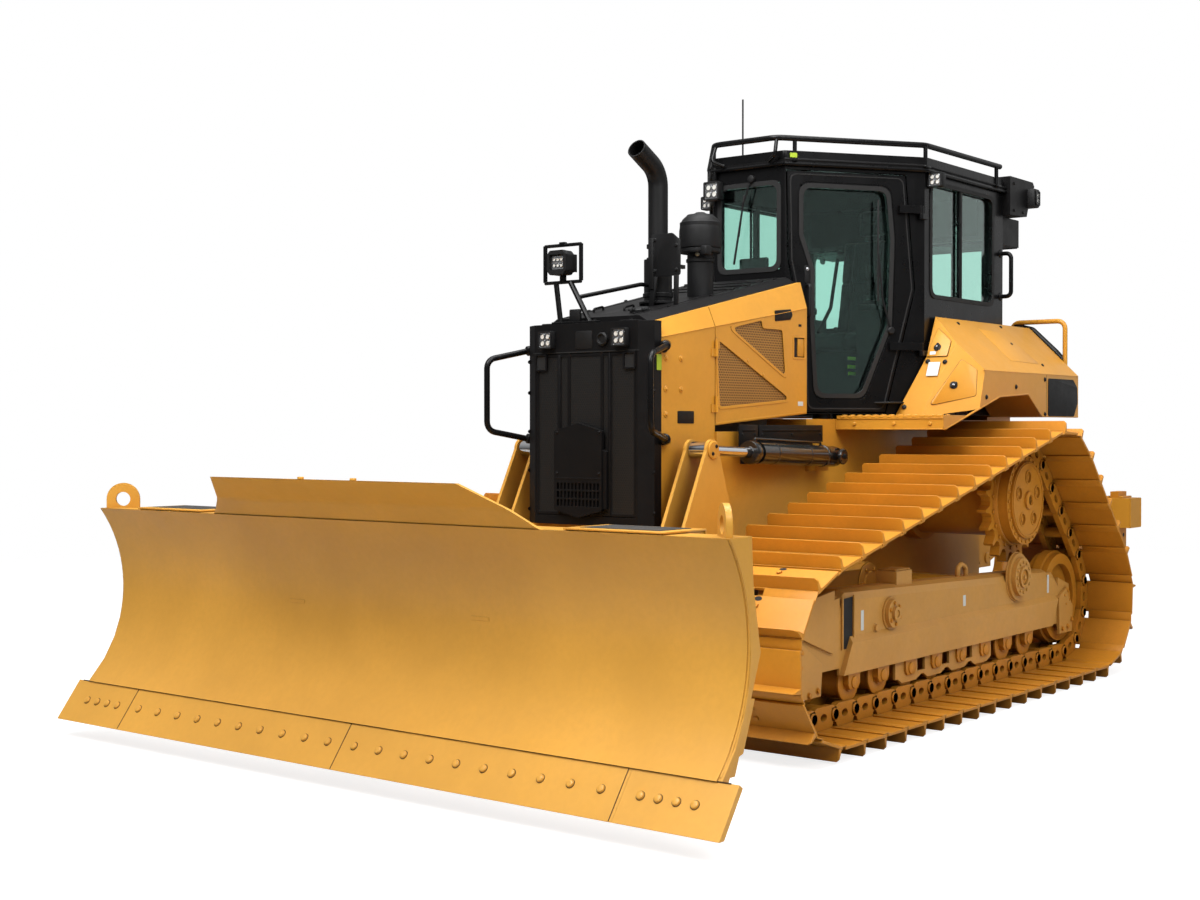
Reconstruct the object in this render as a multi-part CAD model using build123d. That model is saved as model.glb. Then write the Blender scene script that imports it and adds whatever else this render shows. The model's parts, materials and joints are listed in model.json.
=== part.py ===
from build123d import *
import math
import os

os.makedirs("parts", exist_ok=True)

# Millimetres. X runs forward, Y to the driver's left, Z up from the ground.
# Sizes below are laid out from the middle of the track's ground contact.
# Before export everything is shifted along X, so that the origin is under
# the middle of the machine's overall length.

# Undercarriage
LINK_PITCH = 203.0
GROUND_LINKS = 16
TRACK_GAUGE = 2108.0
SHOE_WIDTH = 762.0
GROUSER_HEIGHT = 60.0
GROUSER_TIP = 12.0
GROUSER_FOOT = 26.0
SHOE_THICKNESS = 14.0
SHOE_LAP = 6.0
GROUSER_SHARE = 0.12
PIN_TO_SHOE = 63.0
RAIL_HALF_HEIGHT = 48.0
RAIL_THICKNESS = 44.0
RAIL_SPACING = 150.0
FRONT_IDLER_X = 1570.0
IDLER_PIN_RADIUS = 333.0
SPROCKET_X = -1045.0
SPROCKET_Z = 1095.0
SPROCKET_TEETH = 21
SPROCKET_WIDTH = 58.0
HUB_RADIUS = 260.0
HUB_FACE_Y = 1180.0
HUB_COVER_RADIUS = 225.0
HUB_RECESSES = 5
CARRIER_RADIUS = 215.0
ROLLER_COUNT = 8
ROLLER_RADIUS = 86.0
IDLER_FLANGE = 18.0
IDLER_RIM = 62.0
IDLER_HUB = 62.0
RUN_GAP = 0.3
TUBE_SIDES = 8
BALL_GAP = 1.0
SEAT_GAP = 0.3
FRAME_WIDTH = 192.0
FRAME_FRONT_X = 1125.0
FRAME_REAR_X = -1570.0
FRAME_SKIRT_Z = 318.0
FRAME_FLOOR_Z = 402.0
FRAME_TOP_FRONT_Z = 730.0
FRAME_TOP_REAR_Z = 655.0
FRAME_PLATE = 14.0
FRAME_BEVEL = 52.0
SKIRT_CREASE_Z = 500.0
SKIRT_FLARE = 26.0
ROLLER_GUARD_FRONT_X = 550.0
ROLLER_GUARD_REAR_X = -600.0
GUARD_CLEARANCE = 16.0
GUARD_PLATE = 16.0
PIVOT_SHAFT_X = -944.0
PIVOT_SHAFT_Z = 560.0
PIVOT_SHAFT_RADIUS = 80.0
PIVOT_CAP_RADIUS = 112.0
PIVOT_CAP_RISE = 90.0
FRAME_PORT_X = 609.0
FRAME_PORT_Z = 575.0
FRAME_PORT_RADIUS = 72.0
EQUALIZER_X = 560.0
EQUALIZER_Z = 330.0
EQUALIZER_HEIGHT = 80.0
EQUALIZER_WIDTH = 110.0

# Main case
HULL_HALF_WIDTH = 430.0
HULL_FLOOR_Z = 450.0
HULL_TOP_Z = 1500.0
HULL_REAR_X = -2000.0
HULL_FRONT_X = 1560.0
BAY_REAR_X = 290.0
BAY_FLOOR_Z = 760.0
BAY_HALF_WIDTH = 345.0
ENGINE_LENGTH = 860.0
ENGINE_WIDTH = 520.0
ENGINE_HEIGHT = 1010.0
ENGINE_X = 800.0

# Radiator guard and hood
NOSE_X = 1660.0
NOSE_REAR_X = 1560.0
NOSE_HALF_WIDTH = 400.0
NOSE_CHAMFER = 70.0
NOSE_BOTTOM_Z = 1030.0
NOSE_TOP_Z = 2045.0
NOSE_WALL = 30.0
GRILLE_HALF_WIDTH = 318.0
GRILLE_TOP_Z = 1895.0
GRILLE_BOTTOM_Z = 1075.0
GRILLE_THICKNESS = 14.0
GRILLE_BAR = 16.0
HOOD_REAR_X = 262.0
HOOD_REAR_HALF_WIDTH = 452.0
HOOD_CREASE_FRONT_Z = 1965.0
HOOD_CREASE_REAR_Z = 2180.0
HOOD_EDGE_FRONT_Z = 2045.0
HOOD_EDGE_REAR_Z = 2325.0
HOOD_BEVEL = 42.0
HOOD_CROWN = 34.0
PANEL_THICKNESS = 28.0
DOOR_SEAM_X = 1118.0
SEAM_GAP = 6.0
DOOR_CLEARANCE = 6.0
DOOR_BOTTOM_FRONT_Z = 1532.0
DOOR_BOTTOM_REAR_Z = 1598.0
MESH_RECESS = 8.0
DOOR_LATCH_X = 340.0
DOOR_LATCH_Z = 1960.0
ENGINE_HINGE_OUT = 10.0
ENGINE_HINGE_RADIUS = 9.0
ENGINE_HINGE_PIN = 4.5
ENGINE_HINGE_KNUCKLE = 42.0
ENGINE_HINGE_HEIGHTS = (1640.0, 1925.0)

# Cab
CAB_FRONT_X = 147.0
CAB_FRONT_HALF_WIDTH = 239.0
DOOR_PLANE_END_X = -509.0
DOOR_PLANE_END_Y = 716.0
CAB_HALF_WIDTH = 750.0
CAB_SIDE_FRONT_X = -560.0
CAB_REAR_X = -1640.0
CAB_FLOOR_Z = 1600.0
CAB_EAVE_Z = 3010.0
CAB_ROOF_Z = 3090.0
CAB_WALL = 60.0
CAB_MOUNT_X = (-120.0, -1480.0)
CAB_MOUNT_Y = 330.0
CAB_MOUNT_RADIUS = 60.0
CAB_MOUNT_HEIGHT = 30.0
ROOF_OVERHANG = 18.0
ROOF_CROWN_INSET = 90.0
DOOR_THICKNESS = 52.0
DOOR_GAP = 8.0
DOOR_HINGE_U = 838.0
DOOR_HINGE_OUT = 26.0
HINGE_RADIUS = 13.0
HINGE_PIN_RADIUS = 6.0
HINGE_LUG = 30.0
DOOR_HINGE_HEIGHTS = (1990.0, 2780.0)
GLASS_THICKNESS = 6.0
GLASS_EDGE_GAP = 0.3
SIDE_SILL_Z = 2290.0
SIDE_HEAD_Z = 2955.0
SIDE_WINDOW_FRONT_X = -640.0
SIDE_WINDOW_REAR_X = -1490.0
SIDE_POST_X = -1040.0
SIDE_POST_WIDTH = 34.0
REAR_SILL_Z = 2180.0
FRONT_SILL_Z = 2420.0

# Rear body
FENDER_OUTER_Y = 1100.0
FENDER_TOP_Y = 770.0
FENDER_TOP_Z = 2170.0
FENDER_CREASE_Z = 1850.0
FENDER_REAR_X = -2010.0
FENDER_FOOT = 295.0
FENDER_FRONT_SLOPE = 2.1
FENDER_CORNER = 206.0
FENDER_CAB_GAP = 18.0
RAIL_STANDOFF = 30.0
STEP_FRONT_X = -95.0
STEP_REAR_X = -620.0
STEP_TOP_Z = 1590.0
STEP_BOTTOM_Z = 1510.0
ARCH_CLEAR_Z = 1722.0

# Blade and its frame
TRUNNION_X = -150.0
TRUNNION_Z = 640.0
ARM_Y = 550.0
ARM_WIDTH = 120.0
ARM_HEIGHT = 170.0
TRUNNION_BOSS = 120.0
TRUNNION_PIN = 48.0
CROSS_X = 2080.0
CROSS_DEPTH = 250.0
BALL_X = 2750.0
BALL_Z = 640.0
BALL_RADIUS = 90.0
CUP_WALL = 38.0
CUP_MOUTH = 35.0
STEM_RADIUS = 55.0
BOSS_RADIUS = 100.0
TOWER_APEX_X = 1435.0
TOWER_APEX_Z = 1410.0
TOWER_PLATE = 18.0
TOWER_GAP = 104.0
TOWER_HEAD = 52.0
TOWER_FOOT_FRONT_X = 1840.0
TOWER_FOOT_REAR_X = 1130.0
LIFT_PIVOT_X = 170.0
LIFT_PIVOT_Z = 1362.0
LIFT_BARREL_RADIUS = 50.0
LIFT_ROD_RADIUS = 27.0
LIFT_EXTEND = 125.0
ANGLE_PIVOT_X = 1945.0
ANGLE_Y = 560.0
ANGLE_Z = 850.0
ANGLE_EYE_X = 2950.0
ANGLE_BARREL_RADIUS = 52.0
ANGLE_EXTEND = 250.0
ANGLE_EAR_SPREAD = 112.0
ANGLE_ROD_RADIUS = 28.0
TILT_Z = 1010.0
TILT_X = 2905.0
TILT_EYE_Y = -640.0
TILT_BARREL_RADIUS = 45.0
TILT_EXTEND = 60.0
TILT_ROD_RADIUS = 24.0
CYLINDER_WALL = 9.0
PIN_RADIUS = 22.0
EAR_GAP = 6.0
EAR_HALF = 38.0
EAR_REACH = 40.0

EDGE_TOE_X = 3380.0
EDGE_TOE_Z = 85.0
EDGE_HEEL_X = 3250.0
EDGE_HEEL_Z = 262.0
EDGE_THICKNESS = 25.0
EDGE_LAP = 70.0
MOLD_MID_X = 3050.0
MOLD_MID_Z = 690.0
MOLD_TOP_X = 3184.0
MOLD_CORNER_Z = 1120.0
MOLD_CENTRE_Z = 1300.0
MOLD_THICKNESS = 20.0
MOLD_BOTTOM_HALF = 1890.0
MOLD_TOP_HALF = 1868.0
CENTRE_TOP_HALF = 743.0
CENTRE_SHOULDER_HALF = 960.0
CENTRE_FOOT_HALF = 990.0
EDGE_SPLIT_Y = 1490.0
BIT_TIP_HALF = 1960.0
EYE_RADIUS = 80.0
EYE_HOLE = 35.0
EYE_PLATE = 25.0
EYE_INSET = 68.0
STEP_PLATE_DEPTH = 150.0
BLADE_RIBS = (300.0, 700.0, 1050.0, 1500.0)

# Ripper
RIPPER_PIVOT_X = -2270.0
RIPPER_LOW_Z = 640.0
RIPPER_LINK_RISE = 390.0
RIPPER_LINK_LENGTH = 960.0
RIPPER_REST_ANGLE = 17.0
RIPPER_ARM_Y = 300.0
RIPPER_ARM_WIDTH = 70.0
RIPPER_ARM_HEIGHT = 120.0
BEAM_HALF_LENGTH = 985.0
BEAM_DEPTH = 210.0
BEAM_HEIGHT = 210.0
SHANK_WIDTH = 62.0
SHANK_DEPTH = 150.0
SHANK_BOTTOM_Z = 350.0
SHANK_Y = 860.0
RIPPER_BARREL_RADIUS = 58.0
RIPPER_EXTEND = 450.0
PISTON_WIDTH = 30.0
BARREL_SHARE = 0.66
RIPPER_BARREL_SHARE = 0.80
RIPPER_ROD_RADIUS = 30.0
RIPPER_TOP_X = -2330.0
RIPPER_TOP_Z = 1400.0
RIPPER_CYL_Y = 130.0

# Worked out from the sizes above
SHOE_OUTER = PIN_TO_SHOE + SHOE_THICKNESS
PIN_LINE_Z = GROUSER_HEIGHT + SHOE_OUTER
IDLER_Z = PIN_LINE_Z + IDLER_PIN_RADIUS
REAR_IDLER_X = FRONT_IDLER_X - GROUND_LINKS * LINK_PITCH
SPROCKET_PIN_RADIUS = LINK_PITCH / 4 / math.sin(math.pi / SPROCKET_TEETH)
IDLER_CHORD_RADIUS = IDLER_PIN_RADIUS * math.cos(LINK_PITCH / IDLER_PIN_RADIUS / 2)
IDLER_RIM_RADIUS = IDLER_CHORD_RADIUS - RAIL_HALF_HEIGHT - RUN_GAP
RAIL_TOP_Z = PIN_LINE_Z + RAIL_HALF_HEIGHT
TRACK_Y = TRACK_GAUGE / 2
FRAME_OUTER_Y = TRACK_Y + FRAME_WIDTH / 2
FRAME_INNER_Y = TRACK_Y - FRAME_WIDTH / 2
ARM_INNER_Y = ARM_Y - ARM_WIDTH / 2
ARM_OUTER_Y = ARM_Y + ARM_WIDTH / 2

parts = {}


def add(name, *solids):
    """Keep one or more solids under a node's name."""
    flat = []
    for shape in solids:
        flat.extend(shape.solids())
    parts[name] = flat


def block(x0, x1, y0, y1, z0, z1):
    """A box by its corners."""
    size = Box(abs(x1 - x0), abs(y1 - y0), abs(z1 - z0))
    return Pos((x0 + x1) / 2, (y0 + y1) / 2, (z0 + z1) / 2) * size


def side_plate(points, y0, y1):
    """An outline in X and Z, as thick as y0 to y1."""
    outline = Polygon(*[(x, z) for x, z in points], align=None)
    # A plane whose normal is -Y keeps X to the right and Z up.
    plane = Plane(origin=(0, min(y0, y1), 0), x_dir=(1, 0, 0), z_dir=(0, -1, 0))
    return extrude(plane * outline, abs(y1 - y0), dir=(0, 1, 0))


def plan_plate(points, z0, z1):
    """An outline in X and Y, from z0 up to z1."""
    outline = Polygon(*[(x, y) for x, y in points], align=None)
    return extrude(Pos(0, 0, z0) * outline, z1 - z0, dir=(0, 0, 1))


def front_plate(points, x0, x1):
    """An outline in Y and Z, from x0 to x1."""
    outline = Polygon(*[(y, z) for y, z in points], align=None)
    plane = Plane(origin=(x0, 0, 0), x_dir=(0, 1, 0), z_dir=(1, 0, 0))
    return extrude(plane * outline, x1 - x0, dir=(1, 0, 0))


def bar(a, b, radius):
    """A round bar from one point to another."""
    start, end = Vector(*a), Vector(*b)
    run = end - start
    plane = Plane(origin=start, z_dir=run.normalized())
    return extrude(plane * Circle(radius), run.length)


def lateral(x, z, y0, y1, radius):
    """A round bar across the machine."""
    return bar((x, min(y0, y1), z), (x, max(y0, y1), z), radius)


def upright(x, y, z0, z1, radius):
    """A round bar standing on end."""
    return bar((x, y, z0), (x, y, z1), radius)


def bent_bar(points, radius, bend):
    """A many-sided bar along a route, each corner taken in two short steps."""
    route = [Vector(*points[0])]
    for before, corner, after in zip(points, points[1:], points[2:]):
        p, q, r = Vector(*before), Vector(*corner), Vector(*after)
        arrive, leave = (p - q).normalized(), (r - q).normalized()
        middle = q + (arrive + leave) * (bend * 0.29)
        route += [q + arrive * bend, middle, q + leave * bend]
    route.append(Vector(*points[-1]))
    path = Polyline(*[tuple(v) for v in route])
    plane = Plane(origin=route[0], z_dir=path % 0)
    return sweep(plane * RegularPolygon(radius, TUBE_SIDES), path=path, transition=Transition.RIGHT)


def both(shape):
    """The shape and its mirror on the other side."""
    return [shape, mirror(shape, about=Plane.XZ)]


def on_side(shape, side):
    """The left-hand shape as it is, or mirrored for the right."""
    return shape if side > 0 else mirror(shape, about=Plane.XZ)


def between(a, b, share):
    """A value part of the way from a to b."""
    return a + (b - a) * share


SIDES = (("left", 1), ("right", -1))


# Track loop

def track_wheels():
    """Wheels that the chain runs round, anticlockwise seen from the right."""
    return [
        (FRONT_IDLER_X, IDLER_Z, IDLER_PIN_RADIUS),
        (SPROCKET_X, SPROCKET_Z, SPROCKET_PIN_RADIUS),
        (REAR_IDLER_X, IDLER_Z, IDLER_PIN_RADIUS),
    ]


def tangent_angle(a, b):
    """Direction from a wheel's centre to where the run to the next leaves it."""
    dx, dz = b[0] - a[0], b[1] - a[1]
    gap = math.hypot(dx, dz)
    return math.atan2(dz, dx) - math.acos((a[2] - b[2]) / gap)


def chain_points():
    """Pin centres, evenly spaced round the loop."""
    wheels = track_wheels()
    count = len(wheels)
    leave = [tangent_angle(wheels[i], wheels[(i + 1) % count]) for i in range(count)]
    pieces = []
    for i, (x, z, r) in enumerate(wheels):
        first, last = leave[i - 1], leave[i]
        while last < first:
            last += 2 * math.pi
        pieces.append(("arc", x, z, r, first, last))
        nx, nz, nr = wheels[(i + 1) % count]
        start = (x + r * math.cos(last), z + r * math.sin(last))
        end = (nx + nr * math.cos(last), nz + nr * math.sin(last))
        pieces.append(("run", start, end))
    lengths = [piece_length(piece) for piece in pieces]
    links = round(sum(lengths) / LINK_PITCH)
    step = sum(lengths) / links
    return [point_along(pieces, lengths, i * step) for i in range(links)]


def piece_length(piece):
    if piece[0] == "arc":
        return piece[3] * (piece[5] - piece[4])
    return math.dist(piece[1], piece[2])


def point_along(pieces, lengths, distance):
    for piece, length in zip(pieces, lengths):
        if distance <= length:
            break
        distance -= length
    share = distance / length
    if piece[0] == "arc":
        angle = between(piece[4], piece[5], share)
        return (piece[1] + piece[3] * math.cos(angle), piece[2] + piece[3] * math.sin(angle))
    return tuple(between(p, q, share) for p, q in zip(piece[1], piece[2]))


def loop_outline(pins, local):
    """Repeat a local outline, along and outward, over every link of the loop."""
    points = []
    for i, (x, z) in enumerate(pins):
        nx, nz = pins[(i + 1) % len(pins)]
        length = math.dist((x, z), (nx, nz))
        dx, dz = (nx - x) / length, (nz - z) / length
        for share, out in local:
            along = share * length
            points.append((x + dx * along + dz * out, z + dz * along - dx * out))
    return points


def ring_plate(outer, inner, y0, y1):
    """A closed band between two outlines in X and Z."""
    return side_plate(outer, y0, y1) - side_plate(inner, y0 - 1, y1 + 1)


def track_loop():
    """Shoes with their grousers and two rows of links, as one loop."""
    pins = chain_points()
    grouser_foot = GROUSER_FOOT / LINK_PITCH
    grouser_tip = GROUSER_TIP / LINK_PITCH
    lap = SHOE_LAP / LINK_PITCH
    tip = SHOE_OUTER + GROUSER_HEIGHT
    shoe = [
        (lap, SHOE_OUTER),
        (GROUSER_SHARE - grouser_foot / 2, SHOE_OUTER),
        (GROUSER_SHARE - grouser_tip / 2, tip),
        (GROUSER_SHARE + grouser_tip / 2, tip),
        (GROUSER_SHARE + grouser_foot / 2, SHOE_OUTER),
        (1 - lap, SHOE_OUTER),
    ]
    inner = [(0.02, PIN_TO_SHOE), (0.98, PIN_TO_SHOE)]
    half = SHOE_WIDTH / 2
    loop = ring_plate(loop_outline(pins, shoe), loop_outline(pins, inner), TRACK_Y - half, TRACK_Y + half)
    rail_out = [(0.02, PIN_TO_SHOE + 1), (0.98, PIN_TO_SHOE + 1)]
    rail_in = [
        (0.08, -RAIL_HALF_HEIGHT + 14),
        (0.2, -RAIL_HALF_HEIGHT),
        (0.8, -RAIL_HALF_HEIGHT),
        (0.92, -RAIL_HALF_HEIGHT + 14),
    ]
    for y in (TRACK_Y - RAIL_SPACING / 2, TRACK_Y + RAIL_SPACING / 2):
        low, high = y - RAIL_THICKNESS / 2, y + RAIL_THICKNESS / 2
        loop += ring_plate(loop_outline(pins, rail_out), loop_outline(pins, rail_in), low, high)
    return loop


def sprocket_outline():
    """Teeth with round roots where the link bushings sit."""
    points = []
    tooth = 2 * math.pi / SPROCKET_TEETH
    root = SPROCKET_PIN_RADIUS - 34
    tip = SPROCKET_PIN_RADIUS + 30
    for i in range(SPROCKET_TEETH):
        for share, radius in ((0.0, root), (0.28, root + 12), (0.42, tip), (0.58, tip), (0.72, root + 12)):
            angle = (i + share) * tooth
            points.append((SPROCKET_X + radius * math.cos(angle), SPROCKET_Z + radius * math.sin(angle)))
    return points


def final_drive():
    """Axle case, toothed wheel and planetary hub on one side."""
    half = SPROCKET_WIDTH / 2
    wheel = side_plate(sprocket_outline(), TRACK_Y - half, TRACK_Y + half)
    case_end = TRACK_Y - half
    case = lateral(SPROCKET_X, SPROCKET_Z, HULL_HALF_WIDTH, case_end, CARRIER_RADIUS)
    collar = lateral(SPROCKET_X, SPROCKET_Z, HULL_HALF_WIDTH, HULL_HALF_WIDTH + 90, CARRIER_RADIUS + 40)
    hub = lateral(SPROCKET_X, SPROCKET_Z, TRACK_Y + half, HUB_FACE_Y - 22, HUB_RADIUS)
    cover = lateral(SPROCKET_X, SPROCKET_Z, HUB_FACE_Y - 22, HUB_FACE_Y, HUB_COVER_RADIUS)
    for i in range(HUB_RECESSES):
        turn = math.tau * (i + 0.25) / HUB_RECESSES
        x = SPROCKET_X + HUB_COVER_RADIUS * 0.6 * math.cos(turn)
        z = SPROCKET_Z + HUB_COVER_RADIUS * 0.6 * math.sin(turn)
        cover -= lateral(x, z, HUB_FACE_Y - 8, HUB_FACE_Y + 1, HUB_COVER_RADIUS * 0.15)
    centre = lateral(SPROCKET_X, SPROCKET_Z, HUB_FACE_Y, HUB_FACE_Y + 10, HUB_COVER_RADIUS * 0.22)
    return wheel + case + collar + hub + cover + centre


def idler(x):
    """A rimmed wheel on its shaft, between the yoke plates."""
    radius = IDLER_RIM_RADIUS
    half = RAIL_SPACING / 2 - 12
    inner_half = FRAME_WIDTH / 2 - FRAME_PLATE - SEAT_GAP
    section = Polygon(
        (0, 0), (radius + IDLER_FLANGE, 0), (radius + IDLER_FLANGE, 26), (radius, 30), (radius, half),
        (radius - IDLER_RIM, half), (radius - IDLER_RIM, 22), (IDLER_HUB, 22), (IDLER_HUB, inner_half),
        (0, inner_half), align=None)
    plane = Plane(origin=(x, TRACK_Y, IDLER_Z), x_dir=(1, 0, 0), z_dir=(0, 0, 1))
    axis = Axis((x, TRACK_Y, IDLER_Z), (0, 1, 0))
    upper = revolve(plane * section, axis)
    return upper + mirror(upper, about=Plane.XZ.offset(-TRACK_Y))


def rollers():
    """Bottom rollers on their brackets, under the frame's floor."""
    z = RAIL_TOP_Z + RUN_GAP + ROLLER_RADIUS
    half = RAIL_SPACING / 2 - 12
    inner = FRAME_WIDTH / 2 - FRAME_PLATE - SEAT_GAP
    first = FRONT_IDLER_X - 2 * IDLER_PIN_RADIUS * 0.86
    last = REAR_IDLER_X + 2 * IDLER_PIN_RADIUS * 0.86
    row = []
    for i in range(ROLLER_COUNT):
        x = between(first, last, i / (ROLLER_COUNT - 1))
        body = lateral(x, z, TRACK_Y - half, TRACK_Y + half, ROLLER_RADIUS)
        brackets = []
        for low in (TRACK_Y - inner, TRACK_Y + half):
            high = low + inner - half
            brackets.append(block(x - 52, x + 52, low, high, z - 30, FRAME_FLOOR_Z - SEAT_GAP))
        row.append(body + brackets[0] + brackets[1])
    return row


def frame_section(x, top):
    """The track frame's cross-section at x, its upper corners bevelled."""
    y0, y1, c = FRAME_INNER_Y, FRAME_OUTER_Y, FRAME_BEVEL
    plane = Plane(origin=(x, 0, 0), x_dir=(0, 1, 0), z_dir=(1, 0, 0))
    return plane * Polygon(
        (y0, FRAME_FLOOR_Z), (y1, FRAME_FLOOR_Z), (y1, top - c), (y1 - c * 0.3, top - c * 0.3),
        (y1 - c, top), (y0 + c, top), (y0 + c * 0.3, top - c * 0.3), (y0, top - c), align=None)


def frame_top_z(x):
    share = (x - FRAME_REAR_X) / (FRAME_FRONT_X - FRAME_REAR_X)
    return between(FRAME_TOP_REAR_Z, FRAME_TOP_FRONT_Z, share)


def skirt(y0, y1):
    """Flared lower band of the frame's outer side, its ends cut on a slant."""
    low, top = FRAME_SKIRT_Z, SKIRT_CREASE_Z
    band = front_plate([(y0, low), (y1, low), (y1, top - 30), (y0, top)], FRAME_REAR_X + 40, FRAME_FRONT_X)
    cut = top - low + 2
    band -= side_plate([(FRAME_FRONT_X - cut * 0.55, top + 1), (FRAME_FRONT_X + 1, top + 1),
                        (FRAME_FRONT_X + 1, low - 1)], y0 - 1, y1 + 1)
    return band - side_plate([(FRAME_REAR_X + 40 + cut * 0.55, low - 1), (FRAME_REAR_X + 39, low - 1),
                              (FRAME_REAR_X + 39, top + 1)], y0 - 1, y1 + 1)


def roller_guard(y0, y1):
    """Guide plate between the middle rollers, its lower edge waved, with pockets."""
    low, top = RAIL_TOP_Z + GUARD_CLEARANCE, FRAME_SKIRT_Z + 6
    span = (ROLLER_GUARD_FRONT_X - ROLLER_GUARD_REAR_X) / 4
    points = [(ROLLER_GUARD_REAR_X, top)]
    for i in range(4):
        x = ROLLER_GUARD_REAR_X + span * i
        points += [(x, low + 24), (x + span * 0.2, low), (x + span * 0.75, low), (x + span * 0.9, low + 24)]
    plate = side_plate(points + [(ROLLER_GUARD_FRONT_X, low + 24), (ROLLER_GUARD_FRONT_X, top)], y0, y1)
    for i in (1, 2, 3):
        x = ROLLER_GUARD_REAR_X + span * i
        plate -= block(x - span * 0.15, x + span * 0.15, y0 - 1, y1 + 1, low + 44, top - 12)
    return plate


def yoke_plates(y0, y1):
    """Side plates that hold the front and rear idler shafts."""
    front = side_plate([
        (FRAME_FRONT_X - 2, 352), (FRONT_IDLER_X - 60, 352), (FRONT_IDLER_X + 70, IDLER_Z - 40),
        (FRONT_IDLER_X + 70, IDLER_Z + 60), (FRONT_IDLER_X - 40, IDLER_Z + 170),
        (FRAME_FRONT_X - 2, IDLER_Z + 225)], y0, y1)
    rear = side_plate([
        (FRAME_REAR_X + 2, 352), (REAR_IDLER_X - 50, 380), (REAR_IDLER_X - 70, IDLER_Z - 20),
        (REAR_IDLER_X - 60, IDLER_Z + 80), (FRAME_REAR_X + 2, IDLER_Z + 130)], y0, y1)
    return front + rear


def guard_plates():
    """Bolted guide plates on the frame's outer face, beside the idlers."""
    y0, y1 = FRAME_OUTER_Y - 1, FRAME_OUTER_Y + GUARD_PLATE
    x, z = FRONT_IDLER_X, IDLER_Z
    upper = side_plate([
        (x - 371, z + 267), (x - 164, z + 241), (x - 11, z + 87), (x - 130, z + 40), (x - 363, z - 39)], y0, y1)
    lower = side_plate([
        (x - 11, z + 73), (x - 258, z - 75), (x - 240, z - 225), (x - 3, z - 226), (x + 60, z - 80)], y0, y1)
    rear_x = REAR_IDLER_X
    rear = side_plate([
        (rear_x + 130, z + 10), (rear_x + 20, z + 60), (rear_x - 90, z - 60), (rear_x - 75, z - 215),
        (rear_x + 120, z - 215)], y0, y1)
    return upper + lower + rear


def track_frame():
    """The box that carries idlers and rollers, with its skirts and yokes."""
    y0, y1 = FRAME_INNER_Y, FRAME_OUTER_Y
    ends = [(FRAME_REAR_X, frame_top_z(FRAME_REAR_X) - 60), (FRAME_REAR_X + 80, frame_top_z(FRAME_REAR_X + 80)),
            (FRAME_FRONT_X - 70, frame_top_z(FRAME_FRONT_X - 70)), (FRAME_FRONT_X, FRAME_TOP_FRONT_Z - 45)]
    body = loft([frame_section(x, top) for x, top in ends], ruled=True)
    for low in (y0, y1 - FRAME_PLATE):
        high = low + FRAME_PLATE
        body += block(FRAME_REAR_X, FRAME_FRONT_X, low, high, FRAME_SKIRT_Z, FRAME_FLOOR_Z + 2)
        body += yoke_plates(low, high) + roller_guard(low, high)
    body += skirt(y1 - 1, y1 + SKIRT_FLARE)
    pocket = IDLER_RIM_RADIUS + 45
    for x in (FRONT_IDLER_X, REAR_IDLER_X):
        body -= lateral(x, IDLER_Z, y0 + FRAME_PLATE, y1 - FRAME_PLATE, pocket)
    body += guard_plates()
    cap_z = PIVOT_SHAFT_Z + PIVOT_CAP_RISE
    body += lateral(PIVOT_SHAFT_X, cap_z, y1 - 2, y1 + 20, PIVOT_CAP_RADIUS + 26)
    body += lateral(PIVOT_SHAFT_X, cap_z, y1 - 2, y1 + 46, PIVOT_CAP_RADIUS)
    body += lateral(FRAME_PORT_X, FRAME_PORT_Z, y1 - 2, y1 + 30, FRAME_PORT_RADIUS)
    body += lateral(FRAME_PORT_X, FRAME_PORT_Z, y1 - 2, y1 + 40, FRAME_PORT_RADIUS * 0.5)
    return body + block(300, 470, TRACK_Y - 60, TRACK_Y + 60, 690, 775)


def undercarriage():
    loop = track_loop()
    for name, side in SIDES:
        add("track_" + name, on_side(loop, side))
    add("final_drives", *both(final_drive()))
    front, rear = idler(FRONT_IDLER_X), idler(REAR_IDLER_X)
    add("idlers", *both(front), *both(rear))
    row = rollers()
    add("rollers", *[on_side(r, side) for r in row for side in (1, -1)])
    add("track_frames", *both(track_frame()))
    shaft = lateral(PIVOT_SHAFT_X, PIVOT_SHAFT_Z, HULL_HALF_WIDTH, FRAME_INNER_Y, PIVOT_SHAFT_RADIUS)
    half = EQUALIZER_WIDTH / 2
    add("suspension_shafts", *both(shaft), block(EQUALIZER_X - half, EQUALIZER_X + half, -FRAME_INNER_Y, FRAME_INNER_Y,
                               EQUALIZER_Z, EQUALIZER_Z + EQUALIZER_HEIGHT)
        + block(EQUALIZER_X - half, EQUALIZER_X + half, -120, 120, EQUALIZER_Z, HULL_FLOOR_Z))


# Main case, guard and hood

def hull():
    """Case between the tracks, open on top over the engine."""
    w = HULL_HALF_WIDTH
    body = side_plate([
        (HULL_REAR_X, 560), (HULL_REAR_X + 160, HULL_FLOOR_Z), (1050, HULL_FLOOR_Z), (1420, 620),
        (HULL_FRONT_X, 840), (HULL_FRONT_X, NOSE_BOTTOM_Z), (HULL_FRONT_X, HULL_TOP_Z),
        (HULL_REAR_X, HULL_TOP_Z)], -w, w)
    for s in (1, -1):
        body -= block(DOOR_SEAM_X, HULL_FRONT_X + 1, s * (NOSE_HALF_WIDTH - PANEL_THICKNESS - 2), s * (w + 1),
                      NOSE_BOTTOM_Z, HULL_TOP_Z + 1)
    bay = block(BAY_REAR_X, HULL_FRONT_X - 90, -BAY_HALF_WIDTH, BAY_HALF_WIDTH, BAY_FLOOR_Z, HULL_TOP_Z + 1)
    body -= bay
    shelf = front_plate([(-w, HULL_TOP_Z), (w, HULL_TOP_Z), (w, CAB_FLOOR_Z - CAB_MOUNT_HEIGHT),
                         (-w, CAB_FLOOR_Z - CAB_MOUNT_HEIGHT)],
                        CAB_REAR_X, BAY_REAR_X - 60)
    return body + shelf


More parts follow.
